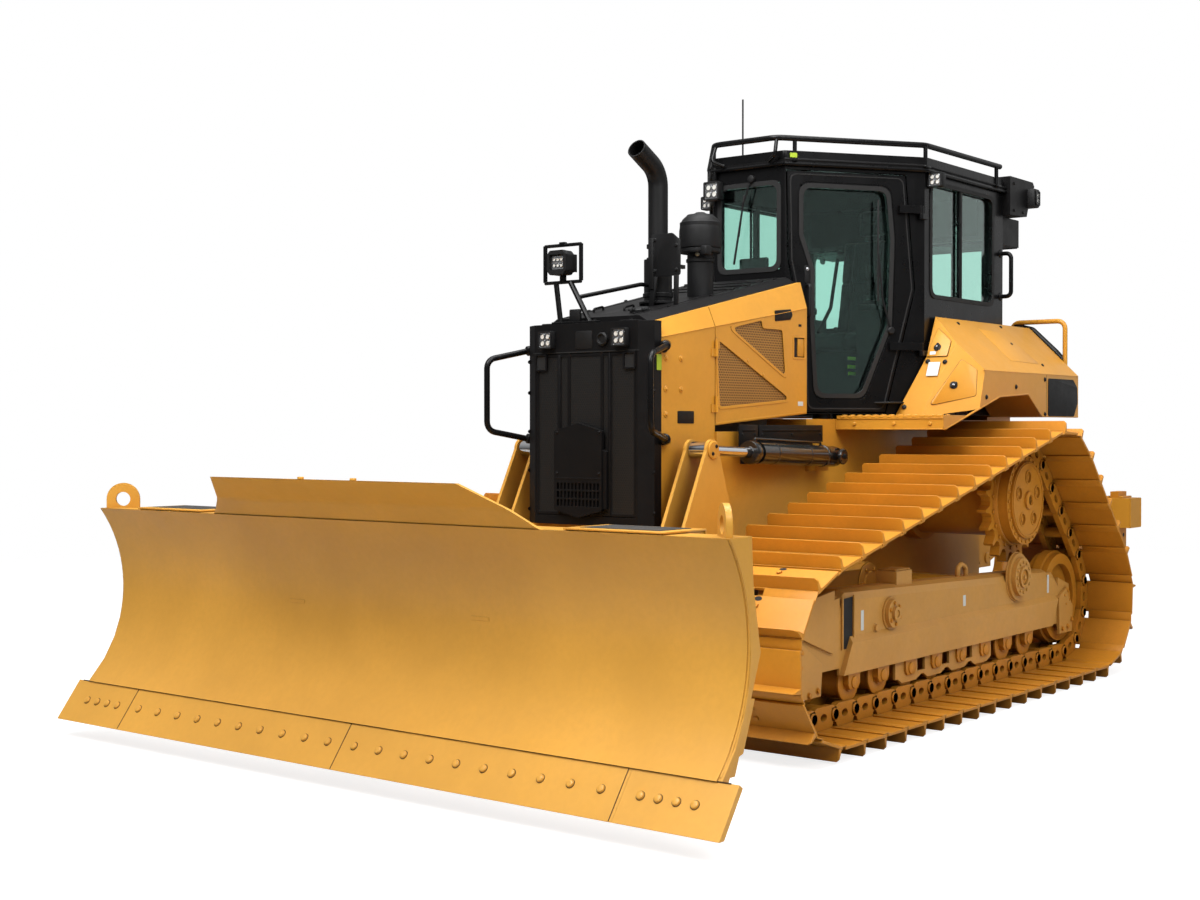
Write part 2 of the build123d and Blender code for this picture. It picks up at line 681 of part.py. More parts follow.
def trunnion_brackets():
    """Blocks on the case that carry the blade frame's rear pins."""
    inner = ARM_INNER_Y - EAR_GAP
    out = []
    for name, side in SIDES:
        base = block(TRUNNION_X - 130, TRUNNION_X + 130, HULL_HALF_WIDTH, inner,
                     TRUNNION_Z - 130, TRUNNION_Z + 130)
        pin = lateral(TRUNNION_X, TRUNNION_Z, inner, ARM_OUTER_Y + 4, TRUNNION_PIN)
        out.append(on_side(base + pin, side))
    return out


def hood_half_width(x):
    share = (NOSE_REAR_X - x) / (NOSE_REAR_X - HOOD_REAR_X)
    return between(NOSE_HALF_WIDTH, HOOD_REAR_HALF_WIDTH, share)


def hood_crease_z(x):
    share = (NOSE_REAR_X - x) / (NOSE_REAR_X - HOOD_REAR_X)
    return between(HOOD_CREASE_FRONT_Z, HOOD_CREASE_REAR_Z, share)


def hood_edge_z(x):
    share = (NOSE_REAR_X - x) / (NOSE_REAR_X - HOOD_REAR_X)
    return between(HOOD_EDGE_FRONT_Z, HOOD_EDGE_REAR_Z, share)


def hood_section(x, bottom_z, inset):
    """Outline of the hood's left side at x: wall, crease, bevel."""
    w = hood_half_width(x) - inset
    crease, edge = hood_crease_z(x), hood_edge_z(x)
    lean = HOOD_BEVEL
    return [(w, bottom_z), (w, crease), (w - lean, edge)]


def hood_panel(x0, x1, bottom0, bottom1):
    """Folded side panel between two stations, tapering as the hood does."""
    faces = []
    for x, bottom in ((x0, bottom0), (x1, bottom1)):
        outer = hood_section(x, bottom, 0)
        inner = hood_section(x, bottom, PANEL_THICKNESS)
        points = outer + list(reversed(inner))
        plane = Plane(origin=(x, 0, 0), x_dir=(0, 1, 0), z_dir=(1, 0, 0))
        faces.append(plane * Polygon(*points, align=None))
    return loft(faces, ruled=True)


def hood_top():
    """Black cover over the engine, crowned, from the guard to the cab."""
    faces = []
    for x in (HOOD_REAR_X, NOSE_REAR_X):
        half = hood_half_width(x) - HOOD_BEVEL - PANEL_THICKNESS - DOOR_CLEARANCE
        z = hood_edge_z(x)
        plane = Plane(origin=(x, 0, 0), x_dir=(0, 1, 0), z_dir=(1, 0, 0))
        outline = Polygon(
            (-half, z - 30), (-half, z), (-half + 60, z + HOOD_CROWN), (half - 60, z + HOOD_CROWN), (half, z),
            (half, z - 30), align=None)
        faces.append(plane * outline)
    return loft(faces, ruled=True)


def nose_outline(inset):
    w = NOSE_HALF_WIDTH - inset
    c = NOSE_CHAMFER
    return [(NOSE_REAR_X, -w), (NOSE_X - inset - c * 0.6, -w), (NOSE_X - inset, -w + c),
            (NOSE_X - inset, w - c), (NOSE_X - inset - c * 0.6, w), (NOSE_REAR_X, w)]


def nose_guard():
    """Radiator guard: a hood-like box with an open front for the grille."""
    shell = plan_plate(nose_outline(0), NOSE_BOTTOM_Z, NOSE_TOP_Z)
    inner = block(NOSE_REAR_X - 1, NOSE_X - NOSE_WALL, -NOSE_HALF_WIDTH + NOSE_WALL,
                  NOSE_HALF_WIDTH - NOSE_WALL, NOSE_BOTTOM_Z + NOSE_WALL, GRILLE_TOP_Z + 20)
    opening = block(NOSE_X - NOSE_WALL - 1, NOSE_X + 1, -GRILLE_HALF_WIDTH, GRILLE_HALF_WIDTH,
                    GRILLE_BOTTOM_Z, GRILLE_TOP_Z)
    return shell - inner - opening


def grille():
    """Three meshed panels in their frame, with the lower cover plate."""
    x1 = NOSE_X - 6
    x0 = x1 - GRILLE_THICKNESS
    gap = SEAT_GAP
    w, low, high = GRILLE_HALF_WIDTH - gap, GRILLE_BOTTOM_Z + gap, GRILLE_TOP_Z - gap
    sheet = block(x0, x1, -w, w, low, high)
    third = w / 3
    for y in (-third, third):
        sheet += block(x1 - 1, x1 + 6, y - GRILLE_BAR / 2, y + GRILLE_BAR / 2, low, high)
    cover = front_plate([(-150, low + 40), (150, low + 40), (150, 1400), (0, 1465), (-150, 1400)], x1 - 1, x1 + 26)
    return sheet + cover


def build_front():
    add("main_case", hull())
    add("case_brackets", *trunnion_brackets(), *lift_pivots())
    add("engine", block(ENGINE_X - ENGINE_LENGTH / 2, ENGINE_X + ENGINE_LENGTH / 2,
                        -ENGINE_WIDTH / 2, ENGINE_WIDTH / 2, BAY_FLOOR_Z, BAY_FLOOR_Z + ENGINE_HEIGHT))
    add("radiator_guard", nose_guard())
    add("radiator", block(NOSE_REAR_X - 1 - 80, NOSE_REAR_X - 1, -NOSE_HALF_WIDTH + 60, NOSE_HALF_WIDTH - 60,
                          HULL_TOP_Z, GRILLE_TOP_Z))
    add("grille", grille())
    front = hood_panel(DOOR_SEAM_X, NOSE_REAR_X, NOSE_BOTTOM_Z, NOSE_BOTTOM_Z)
    for z in ENGINE_HINGE_HEIGHTS:
        front += engine_hinge(z, False)
    add("hood_side_panels", *both(front))
    add("hood_top", hood_top())


def engine_hinge_line():
    x = DOOR_SEAM_X - SEAM_GAP / 2
    return x, hood_half_width(x) + ENGINE_HINGE_OUT


def engine_hinge(z, of_door):
    """One half of a hood hinge: the door's knuckle hangs on the panel's pin."""
    x, y = engine_hinge_line()
    r, k = ENGINE_HINGE_RADIUS, ENGINE_HINGE_KNUCKLE
    low = z if of_door else z - k
    reach = -4 * r if of_door else 4 * r
    half = upright(x, y, low + SEAT_GAP, low + k, r)
    half += block(min(x, x + reach), max(x, x + reach), y - ENGINE_HINGE_OUT - 4, y - ENGINE_HINGE_OUT + 4,
                  low + SEAT_GAP, low + k)
    half += block(min(x, x + reach / 4), max(x, x + reach / 4), y - ENGINE_HINGE_OUT - 4, y, low + SEAT_GAP, low + k)
    if of_door:
        return half - upright(x, y, low - 1, low + k + 1, ENGINE_HINGE_PIN + RUN_GAP)
    return half + upright(x, y, low + k, low + 2 * k, ENGINE_HINGE_PIN)


def hood_core(inset):
    """Everything inside the hood's outer face moved in by inset."""
    faces = []
    for x in (HOOD_REAR_X, NOSE_REAR_X):
        outline = hood_section(x, NOSE_BOTTOM_Z, inset)
        plane = Plane(origin=(x, 0, 0), x_dir=(0, 1, 0), z_dir=(1, 0, 0))
        faces.append(plane * Polygon(*([(0, NOSE_BOTTOM_Z)] + outline + [(0, outline[-1][1])]), align=None))
    return loft(faces, ruled=True)


def mesh_recesses():
    """Shallow fields for the doors' two mesh panels and the latch."""
    lower = [(1109, 1985), (1081, 1621), (457, 1666), (457, 1693)]
    upper = [(989, 2042), (691, 2100), (690, 2057), (499, 2056), (468, 1791)]
    latch = [(DOOR_LATCH_X - 55, DOOR_LATCH_Z - 60), (DOOR_LATCH_X + 55, DOOR_LATCH_Z - 60),
             (DOOR_LATCH_X + 55, DOOR_LATCH_Z + 60), (DOOR_LATCH_X - 55, DOOR_LATCH_Z + 60)]
    fields = [side_plate(points, HOOD_REAR_HALF_WIDTH - 90, HOOD_REAR_HALF_WIDTH + 20)
              for points in (lower, upper, latch)]
    core = hood_core(MESH_RECESS)
    return [field - core for field in fields]


def engine_doors():
    door = hood_panel(HOOD_REAR_X, DOOR_SEAM_X - SEAM_GAP, DOOR_BOTTOM_REAR_Z, DOOR_BOTTOM_FRONT_Z)
    for field in mesh_recesses():
        door -= field
    for z in ENGINE_HINGE_HEIGHTS:
        door += engine_hinge(z, True)
    for name, side in SIDES:
        add("engine_door_" + name, on_side(door, side))


def exhaust():
    """Stack with its curved outlet, standing on the hood."""
    x, y = 1120.0, 60.0
    base = hood_edge_z(x)
    path = FilletPolyline((x, y, base), (x, y, 2860), (x + 190, y, 2960), radius=130)
    stack = sweep(Plane(origin=path @ 0, z_dir=path % 0) * Circle(52), path=path)
    shield = upright(x, y, base, 2400, 74)
    outlet = path % 1
    bore = bar(tuple(path @ 1 - outlet * 160), tuple(path @ 1 + outlet * 5), 46)
    return stack + shield - bore - hood_top()


def pre_cleaner():
    """Air intake bowl on its pipe."""
    x, y = 860.0, 150.0
    base = hood_edge_z(x)
    pipe_part = upright(x, y, base, 2460, 70)
    bowl = upright(x, y, 2450, 2610, 106)
    cap = Pos(x, y, 2610) * Cone(106, 70, 45, align=(Align.CENTER, Align.CENTER, Align.MIN))
    return pipe_part + bowl + cap - hood_top()


def work_lamp():
    """Forward lamp in its square hoop on two legs."""
    x, y = NOSE_X - 22, -160.0
    foot = NOSE_TOP_Z
    frame_low, frame_high = 2250.0, 2450.0
    hoop = block(x - 15, x + 15, y - 105, y + 105, frame_low, frame_high)
    hoop -= block(x - 20, x + 20, y - 92, y + 92, frame_low + 13, frame_high - 13)
    leg = block(x - 15, x + 15, y - 60, y - 20, foot, frame_low + 5)
    lamp = block(x - 30, x + 45, y - 58, y + 58, 2290, 2420)
    stem = block(x - 12, x + 12, y - 10, y + 10, 2250, 2300)
    return hoop + leg + lamp + stem


def nose_details():
    lamps = []
    for y in (-215, 215):
        lamps.append(block(NOSE_X, NOSE_X + 34, y - 42, y + 42, 1925, 2008))
    lamps.append(bar((NOSE_X, 95, 1968), (NOSE_X + 14, 95, 1968), 32))
    lamps += [lamp - cab_frame() - cab_roof() for lamp in roof_lamps()] + [work_lamp()]
    add("lamps", *lamps)
    add("exhaust_stack", exhaust())
    add("air_cleaner", pre_cleaner())
    loop = bent_bar([(1540, 385, 1452), (1580, 445, 1462), (1815, 520, 1505), (1815, 520, 1868),
                     (1580, 445, 1920), (1540, 385, 1935)], 15, 25)
    loop -= hood_panel(DOOR_SEAM_X, NOSE_REAR_X, NOSE_BOTTOM_Z, NOSE_BOTTOM_Z)
    loop -= nose_guard()
    loop = max(loop.solids(), key=lambda piece: piece.volume)
    add("nose_loops", *both(loop))


# Cab

def door_plane():
    """Vertical plane of the left door: u runs to the rear, v up, normal out."""
    run = Vector(DOOR_PLANE_END_X - CAB_FRONT_X, DOOR_PLANE_END_Y - CAB_FRONT_HALF_WIDTH, 0).normalized()
    outward = Vector(-run.Y, run.X, 0) * -1
    if outward.Y < 0:
        outward = outward * -1
    return run, outward


def door_point(u, out, z):
    run, outward = door_plane()
    base = Vector(CAB_FRONT_X, CAB_FRONT_HALF_WIDTH, 0)
    p = base + run * u + outward * out
    return (p.X, p.Y, z)


def door_prism(points, out0, out1):
    """An outline in u and z, as thick as out0 to out1 along the door's normal."""
    run, outward = door_plane()
    origin = Vector(*door_point(0, out0, 0))
    plane = Plane(origin=origin, x_dir=run, z_dir=outward)
    sign = 1 if plane.y_dir.Z > 0 else -1
    outline = Polygon(*[(u, z * sign) for u, z in points], align=None)
    return extrude(plane * outline, out1 - out0, dir=outward)


DOOR_OUTLINE = [(14, 2975), (746, 2975), (806, 2319), (622, 1612), (125, 1612), (111, 2076), (24, 2469)]
DOOR_WINDOW = [(95, 2900), (640, 2896), (668, 2604), (652, 2114), (480, 1700), (186, 1700), (163, 2105),
               (163, 2417), (95, 2613)]


def grown(points, amount):
    """The outline moved outward, or inward, by an even amount."""
    count = len(points)
    area = sum(points[i][0] * points[(i + 1) % count][1] - points[(i + 1) % count][0] * points[i][1]
               for i in range(count))
    sign = 1 if area > 0 else -1
    lines = []
    for i in range(count):
        (x0, y0), (x1, y1) = points[i], points[(i + 1) % count]
        length = math.hypot(x1 - x0, y1 - y0)
        nx, ny = (y1 - y0) / length * sign, -(x1 - x0) / length * sign
        lines.append((nx, ny, nx * x0 + ny * y0 + amount))
    moved = []
    for i in range(count):
        a1, b1, c1 = lines[i - 1]
        a2, b2, c2 = lines[i]
        det = a1 * b2 - a2 * b1
        moved.append(((c1 * b2 - c2 * b1) / det, (a1 * c2 - a2 * c1) / det))
    return moved


def cab_plan(inset):
    """Cab outline from above, moved in by inset."""
    half = [(CAB_FRONT_X, CAB_FRONT_HALF_WIDTH), (DOOR_PLANE_END_X, DOOR_PLANE_END_Y),
            (CAB_SIDE_FRONT_X, CAB_HALF_WIDTH), (CAB_REAR_X, CAB_HALF_WIDTH)]
    full = half + [(x, -y) for x, y in reversed(half)]
    return grown(full, -inset)


def cab_frame():
    """Posts and walls with the door and window openings cut."""
    walls = plan_plate(cab_plan(0), CAB_FLOOR_Z, CAB_EAVE_Z)
    walls -= plan_plate(cab_plan(CAB_WALL), CAB_FLOOR_Z + CAB_WALL, CAB_EAVE_Z + 1)
    door_hole = door_prism(grown(DOOR_OUTLINE, DOOR_GAP), -CAB_WALL - 60, 40)
    side_holes = [
        block(SIDE_WINDOW_FRONT_X, SIDE_POST_X + SIDE_POST_WIDTH / 2, CAB_HALF_WIDTH - 100, CAB_HALF_WIDTH + 20,
              SIDE_SILL_Z, SIDE_HEAD_Z),
        block(SIDE_POST_X - SIDE_POST_WIDTH / 2, SIDE_WINDOW_REAR_X, CAB_HALF_WIDTH - 100, CAB_HALF_WIDTH + 20,
              SIDE_SILL_Z, SIDE_HEAD_Z)]
    for hole in [door_hole] + side_holes:
        walls -= hole
        walls -= mirror(hole, about=Plane.XZ)
    half = CAB_FRONT_HALF_WIDTH - 36
    walls -= block(CAB_FRONT_X - 100, CAB_FRONT_X + 20, -half, half, FRONT_SILL_Z, SIDE_HEAD_Z - 40)
    rear_half = CAB_HALF_WIDTH - 120
    walls -= block(CAB_REAR_X - 20, CAB_REAR_X + 100, -rear_half, rear_half, REAR_SILL_Z, SIDE_HEAD_Z - 240)
    for z in DOOR_HINGE_HEIGHTS:
        for lug in both(frame_hinge(z)):
            walls += lug
    for x in CAB_MOUNT_X:
        for y in (-CAB_MOUNT_Y, CAB_MOUNT_Y):
            walls += upright(x, y, CAB_FLOOR_Z - CAB_MOUNT_HEIGHT + SEAT_GAP, CAB_FLOOR_Z + 1, CAB_MOUNT_RADIUS)
    return walls


def cab_roof():
    """Roof cap with a bevelled crown."""
    low = plan_plate(cab_plan(-ROOF_OVERHANG), CAB_EAVE_Z, CAB_EAVE_Z + 30)
    faces = [Pos(0, 0, CAB_EAVE_Z + 30) * Polygon(*cab_plan(-ROOF_OVERHANG), align=None),
             Pos(0, 0, CAB_ROOF_Z) * Polygon(*cab_plan(ROOF_CROWN_INSET), align=None)]
    return low + loft(faces, ruled=True)


def cab_glass():
    """Fixed panes, set in the middle of their openings."""
    g = GLASS_EDGE_GAP
    t = GLASS_THICKNESS
    panes = []
    y = CAB_HALF_WIDTH - 22
    for x0, x1 in ((SIDE_WINDOW_FRONT_X, SIDE_POST_X + SIDE_POST_WIDTH / 2),
                   (SIDE_POST_X - SIDE_POST_WIDTH / 2, SIDE_WINDOW_REAR_X)):
        panes += both(block(x0 - g, x1 + g, y - t, y, SIDE_SILL_Z + g, SIDE_HEAD_Z - g))
    half = CAB_FRONT_HALF_WIDTH - 36 - g
    panes.append(block(CAB_FRONT_X - 22 - t, CAB_FRONT_X - 22, -half, half, FRONT_SILL_Z + g, SIDE_HEAD_Z - 40 - g))
    rear = CAB_HALF_WIDTH - 120 - g
    panes.append(block(CAB_REAR_X + 22, CAB_REAR_X + 22 + t, -rear, rear, REAR_SILL_Z + g, SIDE_HEAD_Z - 240 - g))
    return panes


def cab_doors():
    for name, side in SIDES:
        leaf = door_prism(DOOR_OUTLINE, -DOOR_THICKNESS, 0)
        leaf -= door_prism(DOOR_WINDOW, -DOOR_THICKNESS - 10, 10)
        pane = door_prism(grown(DOOR_WINDOW, -GLASS_EDGE_GAP), -30 - GLASS_THICKNESS, -30)
        for z in DOOR_HINGE_HEIGHTS:
            leaf += door_hinge(z)
        add("cab_door_" + name, on_side(leaf, side))
        add("cab_door_glass_" + name, on_side(pane, side))


def door_hinge(z):
    """Strap from the door's rear edge out to the hinge line."""
    u_edge = 640 if z < 2319 else 700
    strap = door_prism([(u_edge, z - 22), (DOOR_HINGE_U, z - 22), (DOOR_HINGE_U, z + 22), (u_edge, z + 22)],
                       6 - 8, DOOR_HINGE_OUT + 6)
    strap -= door_prism([(u_edge + 8, z - 30), (DOOR_HINGE_U + 20, z - 30), (DOOR_HINGE_U + 20, z + 30),
                         (u_edge + 8, z + 30)], -10, DOOR_HINGE_OUT - 6)
    x, y, _ = door_point(DOOR_HINGE_U, DOOR_HINGE_OUT, 0)
    knuckle = strap + upright(x, y, z - 22, z + 22, HINGE_RADIUS)
    return knuckle - upright(x, y, z - 23, z + 23, HINGE_PIN_RADIUS + RUN_GAP)


def frame_hinge(z):
    """Lug on the corner post with the pin that the door's knuckle hangs on."""
    x, y, _ = door_point(DOOR_HINGE_U, DOOR_HINGE_OUT, 0)
    top = z - 22 - SEAT_GAP
    lug = upright(x, y, top - HINGE_LUG, top, HINGE_RADIUS)
    lug += block(CAB_SIDE_FRONT_X - 20, x, y - HINGE_RADIUS, y + HINGE_RADIUS, top - HINGE_LUG, top)
    lug += upright(x, y, top, z + 22, HINGE_PIN_RADIUS)
    return lug - plan_plate(cab_plan(CAB_WALL / 2), CAB_FLOOR_Z, CAB_EAVE_Z)


def cab_inside():
    """Seat on its base and the two consoles."""
    floor = CAB_FLOOR_Z + CAB_WALL
    add("seat_cushion", block(-1190, -700, -250, 250, floor + 330 + SEAT_GAP, floor + 450))
    back_low = floor + 450 + SEAT_GAP
    head_low = floor + 1080 + SEAT_GAP
    back = side_plate([(-1200, back_low), (-1080, back_low), (-1190, floor + 1080), (-1300, floor + 1080)],
                      -245, 245)
    head = side_plate([(-1215, head_low), (-1290, head_low), (-1300, floor + 1260), (-1220, floor + 1260)],
                      -140, 140)
    add("seat_back", back, head)
    console = block(-1250, -560, 300, 460, floor, floor + 560)
    add("cab_consoles", *both(console), block(-1180, -780, -190, 190, floor, floor + 330))


def roof_lamps():
    """Lamps under the roof's front corners and on its sides."""
    lamps = []
    for x, y in ((165, 205), (-640, CAB_HALF_WIDTH + 45 + SEAT_GAP)):
        lamps += both(block(x - 20, x + 45, y - 45, y + 45, 2920, 3005))
    return lamps


def roof_gear():
    rail_z = 3158.0
    half = [(190, 0), (190, 210), (-560, 755), (-1550, 770), (-1550, 0)]
    route = [(x, y, rail_z) for x, y in half[1:4]]
    front = [(x, -y, rail_z) for x, y in reversed(half[1:4])]
    rail = bent_bar(front[:] + route, 16, 60)
    for x, y in ((-560, 755), (-1500, 769), (100, 275)):
        for s in (1, -1):
            rail += upright(x, y * s, CAB_EAVE_Z + 10, rail_z, 12)
    rail -= cab_roof()
    add("roof_rail", rail)
    add("antenna", upright(60, -100, CAB_EAVE_Z + 40, 3430, 5) - cab_roof())
    add("air_conditioner", air_conditioner())


def air_conditioner():
    """Cooling unit across the cab's back, with its fan box below."""
    x, top = CAB_REAR_X, CAB_ROOF_Z + 20
    case = side_plate([(x, top - 244), (x - 255, top - 232), (x - 295, top - 140), (x - 375, top - 25),
                       (x - 350, top), (x, top)], -CAB_HALF_WIDTH - 50, CAB_HALF_WIDTH + 50)
    fan_box = block(x - 360, x, -CAB_HALF_WIDTH + 50, CAB_HALF_WIDTH - 50, top - 415, top - 238)
    return case + fan_box - cab_roof()


# Rear body

def half_space(a, b, c):
    """A large block on the side of three points that their turning faces."""
    p, q, r = Vector(*a), Vector(*b), Vector(*c)
    normal = (q - p).cross(r - p).normalized()
    return Plane(origin=p, x_dir=(q - p).normalized(), z_dir=normal) * Box(
        6000, 6000, 3000, align=(Align.CENTER, Align.CENTER, Align.MIN))


def fender():
    """Sheet-metal body over the left track, with its step and arch."""
    inner = HULL_HALF_WIDTH + SEAT_GAP
    outer = FENDER_OUTER_Y
    body = block(FENDER_REAR_X, STEP_FRONT_X, inner, outer, STEP_BOTTOM_Z, FENDER_TOP_Z)
    body -= front_plate([(FENDER_TOP_Y, FENDER_TOP_Z + 1), (outer + 2, FENDER_CREASE_Z),
                         (outer + 2, FENDER_TOP_Z + 1)], FENDER_REAR_X - 1, STEP_FRONT_X + 1)
    above_step = block(FENDER_REAR_X, STEP_FRONT_X + 1, inner - 1, outer + 2, STEP_TOP_Z, FENDER_TOP_Z + 1)
    foot_x = STEP_FRONT_X - FENDER_FOOT
    crest_x = foot_x - (FENDER_TOP_Z - STEP_TOP_Z) / FENDER_FRONT_SLOPE
    fold_z = between(FENDER_CREASE_Z, FENDER_TOP_Z, 0.49)
    fold = (foot_x - (fold_z - STEP_TOP_Z) / FENDER_FRONT_SLOPE, between(FENDER_TOP_Y, outer, 0.51), fold_z)
    foot = (foot_x, between(FENDER_TOP_Y, outer, 0.14), STEP_TOP_Z)
    corner = (foot_x - FENDER_CORNER, outer, between(STEP_TOP_Z, FENDER_CREASE_Z, 0.68))
    for face in (half_space((foot_x, inner, STEP_TOP_Z), foot, (crest_x, inner, FENDER_TOP_Z)),
                 half_space(foot, corner, fold)):
        body -= face & above_step
    arch = side_plate([(STEP_FRONT_X - 20, STEP_BOTTOM_Z - 1), (-826, 1700), (-1225, ARCH_CLEAR_Z), (-1435, 1590),
                       (FENDER_REAR_X - 1, 1590), (FENDER_REAR_X - 1, STEP_BOTTOM_Z - 1)],
                      640, outer + 2)
    body -= arch
    cab_room = plan_plate(grown(cab_plan(0), FENDER_CAB_GAP), CAB_FLOOR_Z - 30, FENDER_TOP_Z + 2)
    return body - cab_room


def rear_body():
    add("fenders", *both(fender()))
    w = HULL_HALF_WIDTH
    add("fuel_tank", block(HULL_REAR_X, CAB_REAR_X - 14, -w, w, HULL_TOP_Z + SEAT_GAP, FENDER_TOP_Z))
    rail_x = FENDER_REAR_X - RAIL_STANDOFF
    rail = bent_bar([(rail_x, 640, 2050), (rail_x, 640, 2210), (rail_x, 1000, 2210), (rail_x, 1000, 1800)], 15, 50)
    for y, z in ((640, 2070), (1000, 1820)):
        rail += block(rail_x, FENDER_REAR_X - SEAT_GAP, y - 20, y + 20, z - 20, z + 20)
    grab_x = CAB_REAR_X + 30
    grab = bent_bar([(grab_x, CAB_HALF_WIDTH, 2350), (grab_x, CAB_HALF_WIDTH + 70, 2350),
                     (grab_x, CAB_HALF_WIDTH + 70, 2620), (grab_x, CAB_HALF_WIDTH, 2620)], 13, 25)
    add("handrails", *both(rail), *both(grab))
    add("side_boxes", *both(block(320, 900, HULL_HALF_WIDTH, HULL_HALF_WIDTH + 40, 1330, HULL_TOP_Z)))


# Cylinders

def cylinder_pair(pivot, eye, bore_radius, rod_radius, across, ear_half, extend, share=BARREL_SHARE):
    """Barrel and rod between two pins. The piston has room to move out by extend."""
    a, b = Vector(*pivot), Vector(*eye)
    run = (b - a).normalized()
    length = (b - a).length
    outer = bore_radius
    bore = outer - CYLINDER_WALL
    pin = Vector(*across)
    barrel_end = length * share
    start = a + run * (outer * 1.15)
    barrel = bar(tuple(start), tuple(a + run * barrel_end), outer)
    barrel += bar(tuple(a), tuple(start + run), ear_half - 4)
    barrel += bar(tuple(a - pin * ear_half), tuple(a + pin * ear_half), outer * 0.95)
    barrel -= bar(tuple(a - pin * (ear_half + 1)), tuple(a + pin * (ear_half + 1)), PIN_RADIUS + 0.5)
    hollow = bar(tuple(a + run * (outer * 1.6)), tuple(a + run * (barrel_end - 30)), bore)
    gland = bar(tuple(a + run * (barrel_end - 31)), tuple(a + run * (barrel_end + 1)), rod_radius + 0.5)
    barrel = barrel - hollow - gland
    piston_at = barrel_end - 31 - extend
    rod = bar(tuple(a + run * piston_at), tuple(b - run * (outer * 0.5)), rod_radius)
    rod += bar(tuple(a + run * (piston_at - PISTON_WIDTH)), tuple(a + run * (piston_at + 2)), bore - 0.5)
    rod += bar(tuple(b - pin * ear_half), tuple(b + pin * ear_half), outer * 0.85)
    return barrel, rod


def build_cylinders():
    half = TOWER_GAP / 2 - EAR_GAP
    barrel, rod = cylinder_pair((LIFT_PIVOT_X, ARM_Y, LIFT_PIVOT_Z), (TOWER_APEX_X, ARM_Y, TOWER_APEX_Z),
                                LIFT_BARREL_RADIUS, LIFT_ROD_RADIUS, (0, 1, 0), half, LIFT_EXTEND)
    add("lift_barrels", *both(barrel))
    add("lift_rods", *both(rod))
    eye = ripper_eye()
    barrel, rod = cylinder_pair((RIPPER_TOP_X, RIPPER_CYL_Y, RIPPER_TOP_Z), (eye[0], RIPPER_CYL_Y, eye[1]),
                                RIPPER_BARREL_RADIUS, RIPPER_ROD_RADIUS, (0, 1, 0), EAR_HALF,
                                RIPPER_EXTEND, RIPPER_BARREL_SHARE)
    add("ripper_barrels", *both(barrel))
    add("ripper_rods", *both(rod))
    for name, side in SIDES:
        barrel, rod = cylinder_pair((ANGLE_PIVOT_X, ANGLE_Y, ANGLE_Z), (ANGLE_EYE_X, ANGLE_Y, ANGLE_Z),
                                    ANGLE_BARREL_RADIUS, ANGLE_ROD_RADIUS, (0, 0, 1), EAR_HALF,
                                    ANGLE_EXTEND)
        add("angle_barrel_" + name, on_side(barrel, side))
        add("angle_rod_" + name, on_side(rod, side))
    pair = cylinder_pair((TILT_X, 0, TILT_Z), (TILT_X, TILT_EYE_Y, TILT_Z), TILT_BARREL_RADIUS, TILT_ROD_RADIUS,
                         (1, 0, 0), EAR_HALF, TILT_EXTEND)
    add("tilt_barrel", pair[0])
    add("tilt_rod", pair[1])


def lift_pivots():
    """Pins on the case for the lift cylinders' rear ends."""
    out = []
    half = TOWER_GAP / 2 - EAR_GAP
    for name, side in SIDES:
        plate = block(LIFT_PIVOT_X - 70, LIFT_PIVOT_X + 70, HULL_HALF_WIDTH, ARM_Y - half - EAR_GAP,
                      LIFT_PIVOT_Z - 80, LIFT_PIVOT_Z + 80)
        pin = lateral(LIFT_PIVOT_X, LIFT_PIVOT_Z, HULL_HALF_WIDTH, ARM_Y + half + 4, PIN_RADIUS)
        out.append(on_side(plate + pin, side))
    return out


# Blade frame and blade

def c_frame():
    """Two arms, cross box, centre cup and the lift towers."""
    body = None
    z0, z1 = TRUNNION_Z - ARM_HEIGHT / 2, TRUNNION_Z + ARM_HEIGHT / 2
    arm = block(TRUNNION_X, CROSS_X + CROSS_DEPTH / 2, ARM_INNER_Y, ARM_OUTER_Y, z0, z1)
    arm += lateral(TRUNNION_X, TRUNNION_Z, ARM_INNER_Y, ARM_OUTER_Y, TRUNNION_BOSS)
    arm -= lateral(TRUNNION_X, TRUNNION_Z, ARM_INNER_Y - 1, ARM_OUTER_Y + 1, TRUNNION_PIN + 0.5)
    for y0 in (ARM_Y - TOWER_GAP / 2 - TOWER_PLATE, ARM_Y + TOWER_GAP / 2):
        tower = side_plate([
            (TOWER_FOOT_REAR_X, z1 - 2), (TOWER_FOOT_FRONT_X, z1 - 2), (TOWER_APEX_X + TOWER_HEAD, TOWER_APEX_Z),
            (TOWER_APEX_X - TOWER_HEAD, TOWER_APEX_Z)], y0, y0 + TOWER_PLATE)
        arm += tower + lateral(TOWER_APEX_X, TOWER_APEX_Z, y0, y0 + TOWER_PLATE, TOWER_HEAD)
    body = arm + mirror(arm, about=Plane.XZ)
    body += block(CROSS_X - CROSS_DEPTH / 2, CROSS_X + CROSS_DEPTH / 2, -ARM_OUTER_Y, ARM_OUTER_Y, z0, z1)
    neck_x = BALL_X - BALL_RADIUS
    body += plan_plate([(CROSS_X, -420), (neck_x, -110), (neck_x, 110), (CROSS_X, 420)], z0, z1)
    cup = Pos(BALL_X, 0, BALL_Z) * Sphere(BALL_RADIUS + CUP_WALL)
    body += cup
    body -= ball_form(BALL_RADIUS + BALL_GAP)
    body -= block(BALL_X + CUP_MOUTH, BALL_X + 400, -300, 300, BALL_Z - 300, BALL_Z + 300)
    for s in (1, -1):
        y = ANGLE_Y * s
        body += block(ANGLE_PIVOT_X - 60, ANGLE_PIVOT_X + EAR_REACH, y - 50, y + 50, z1 - 2,
                      ANGLE_Z - EAR_HALF - EAR_GAP)
        body += upright(ANGLE_PIVOT_X, y, z1, ANGLE_Z + EAR_HALF + 4, PIN_RADIUS)
    return body


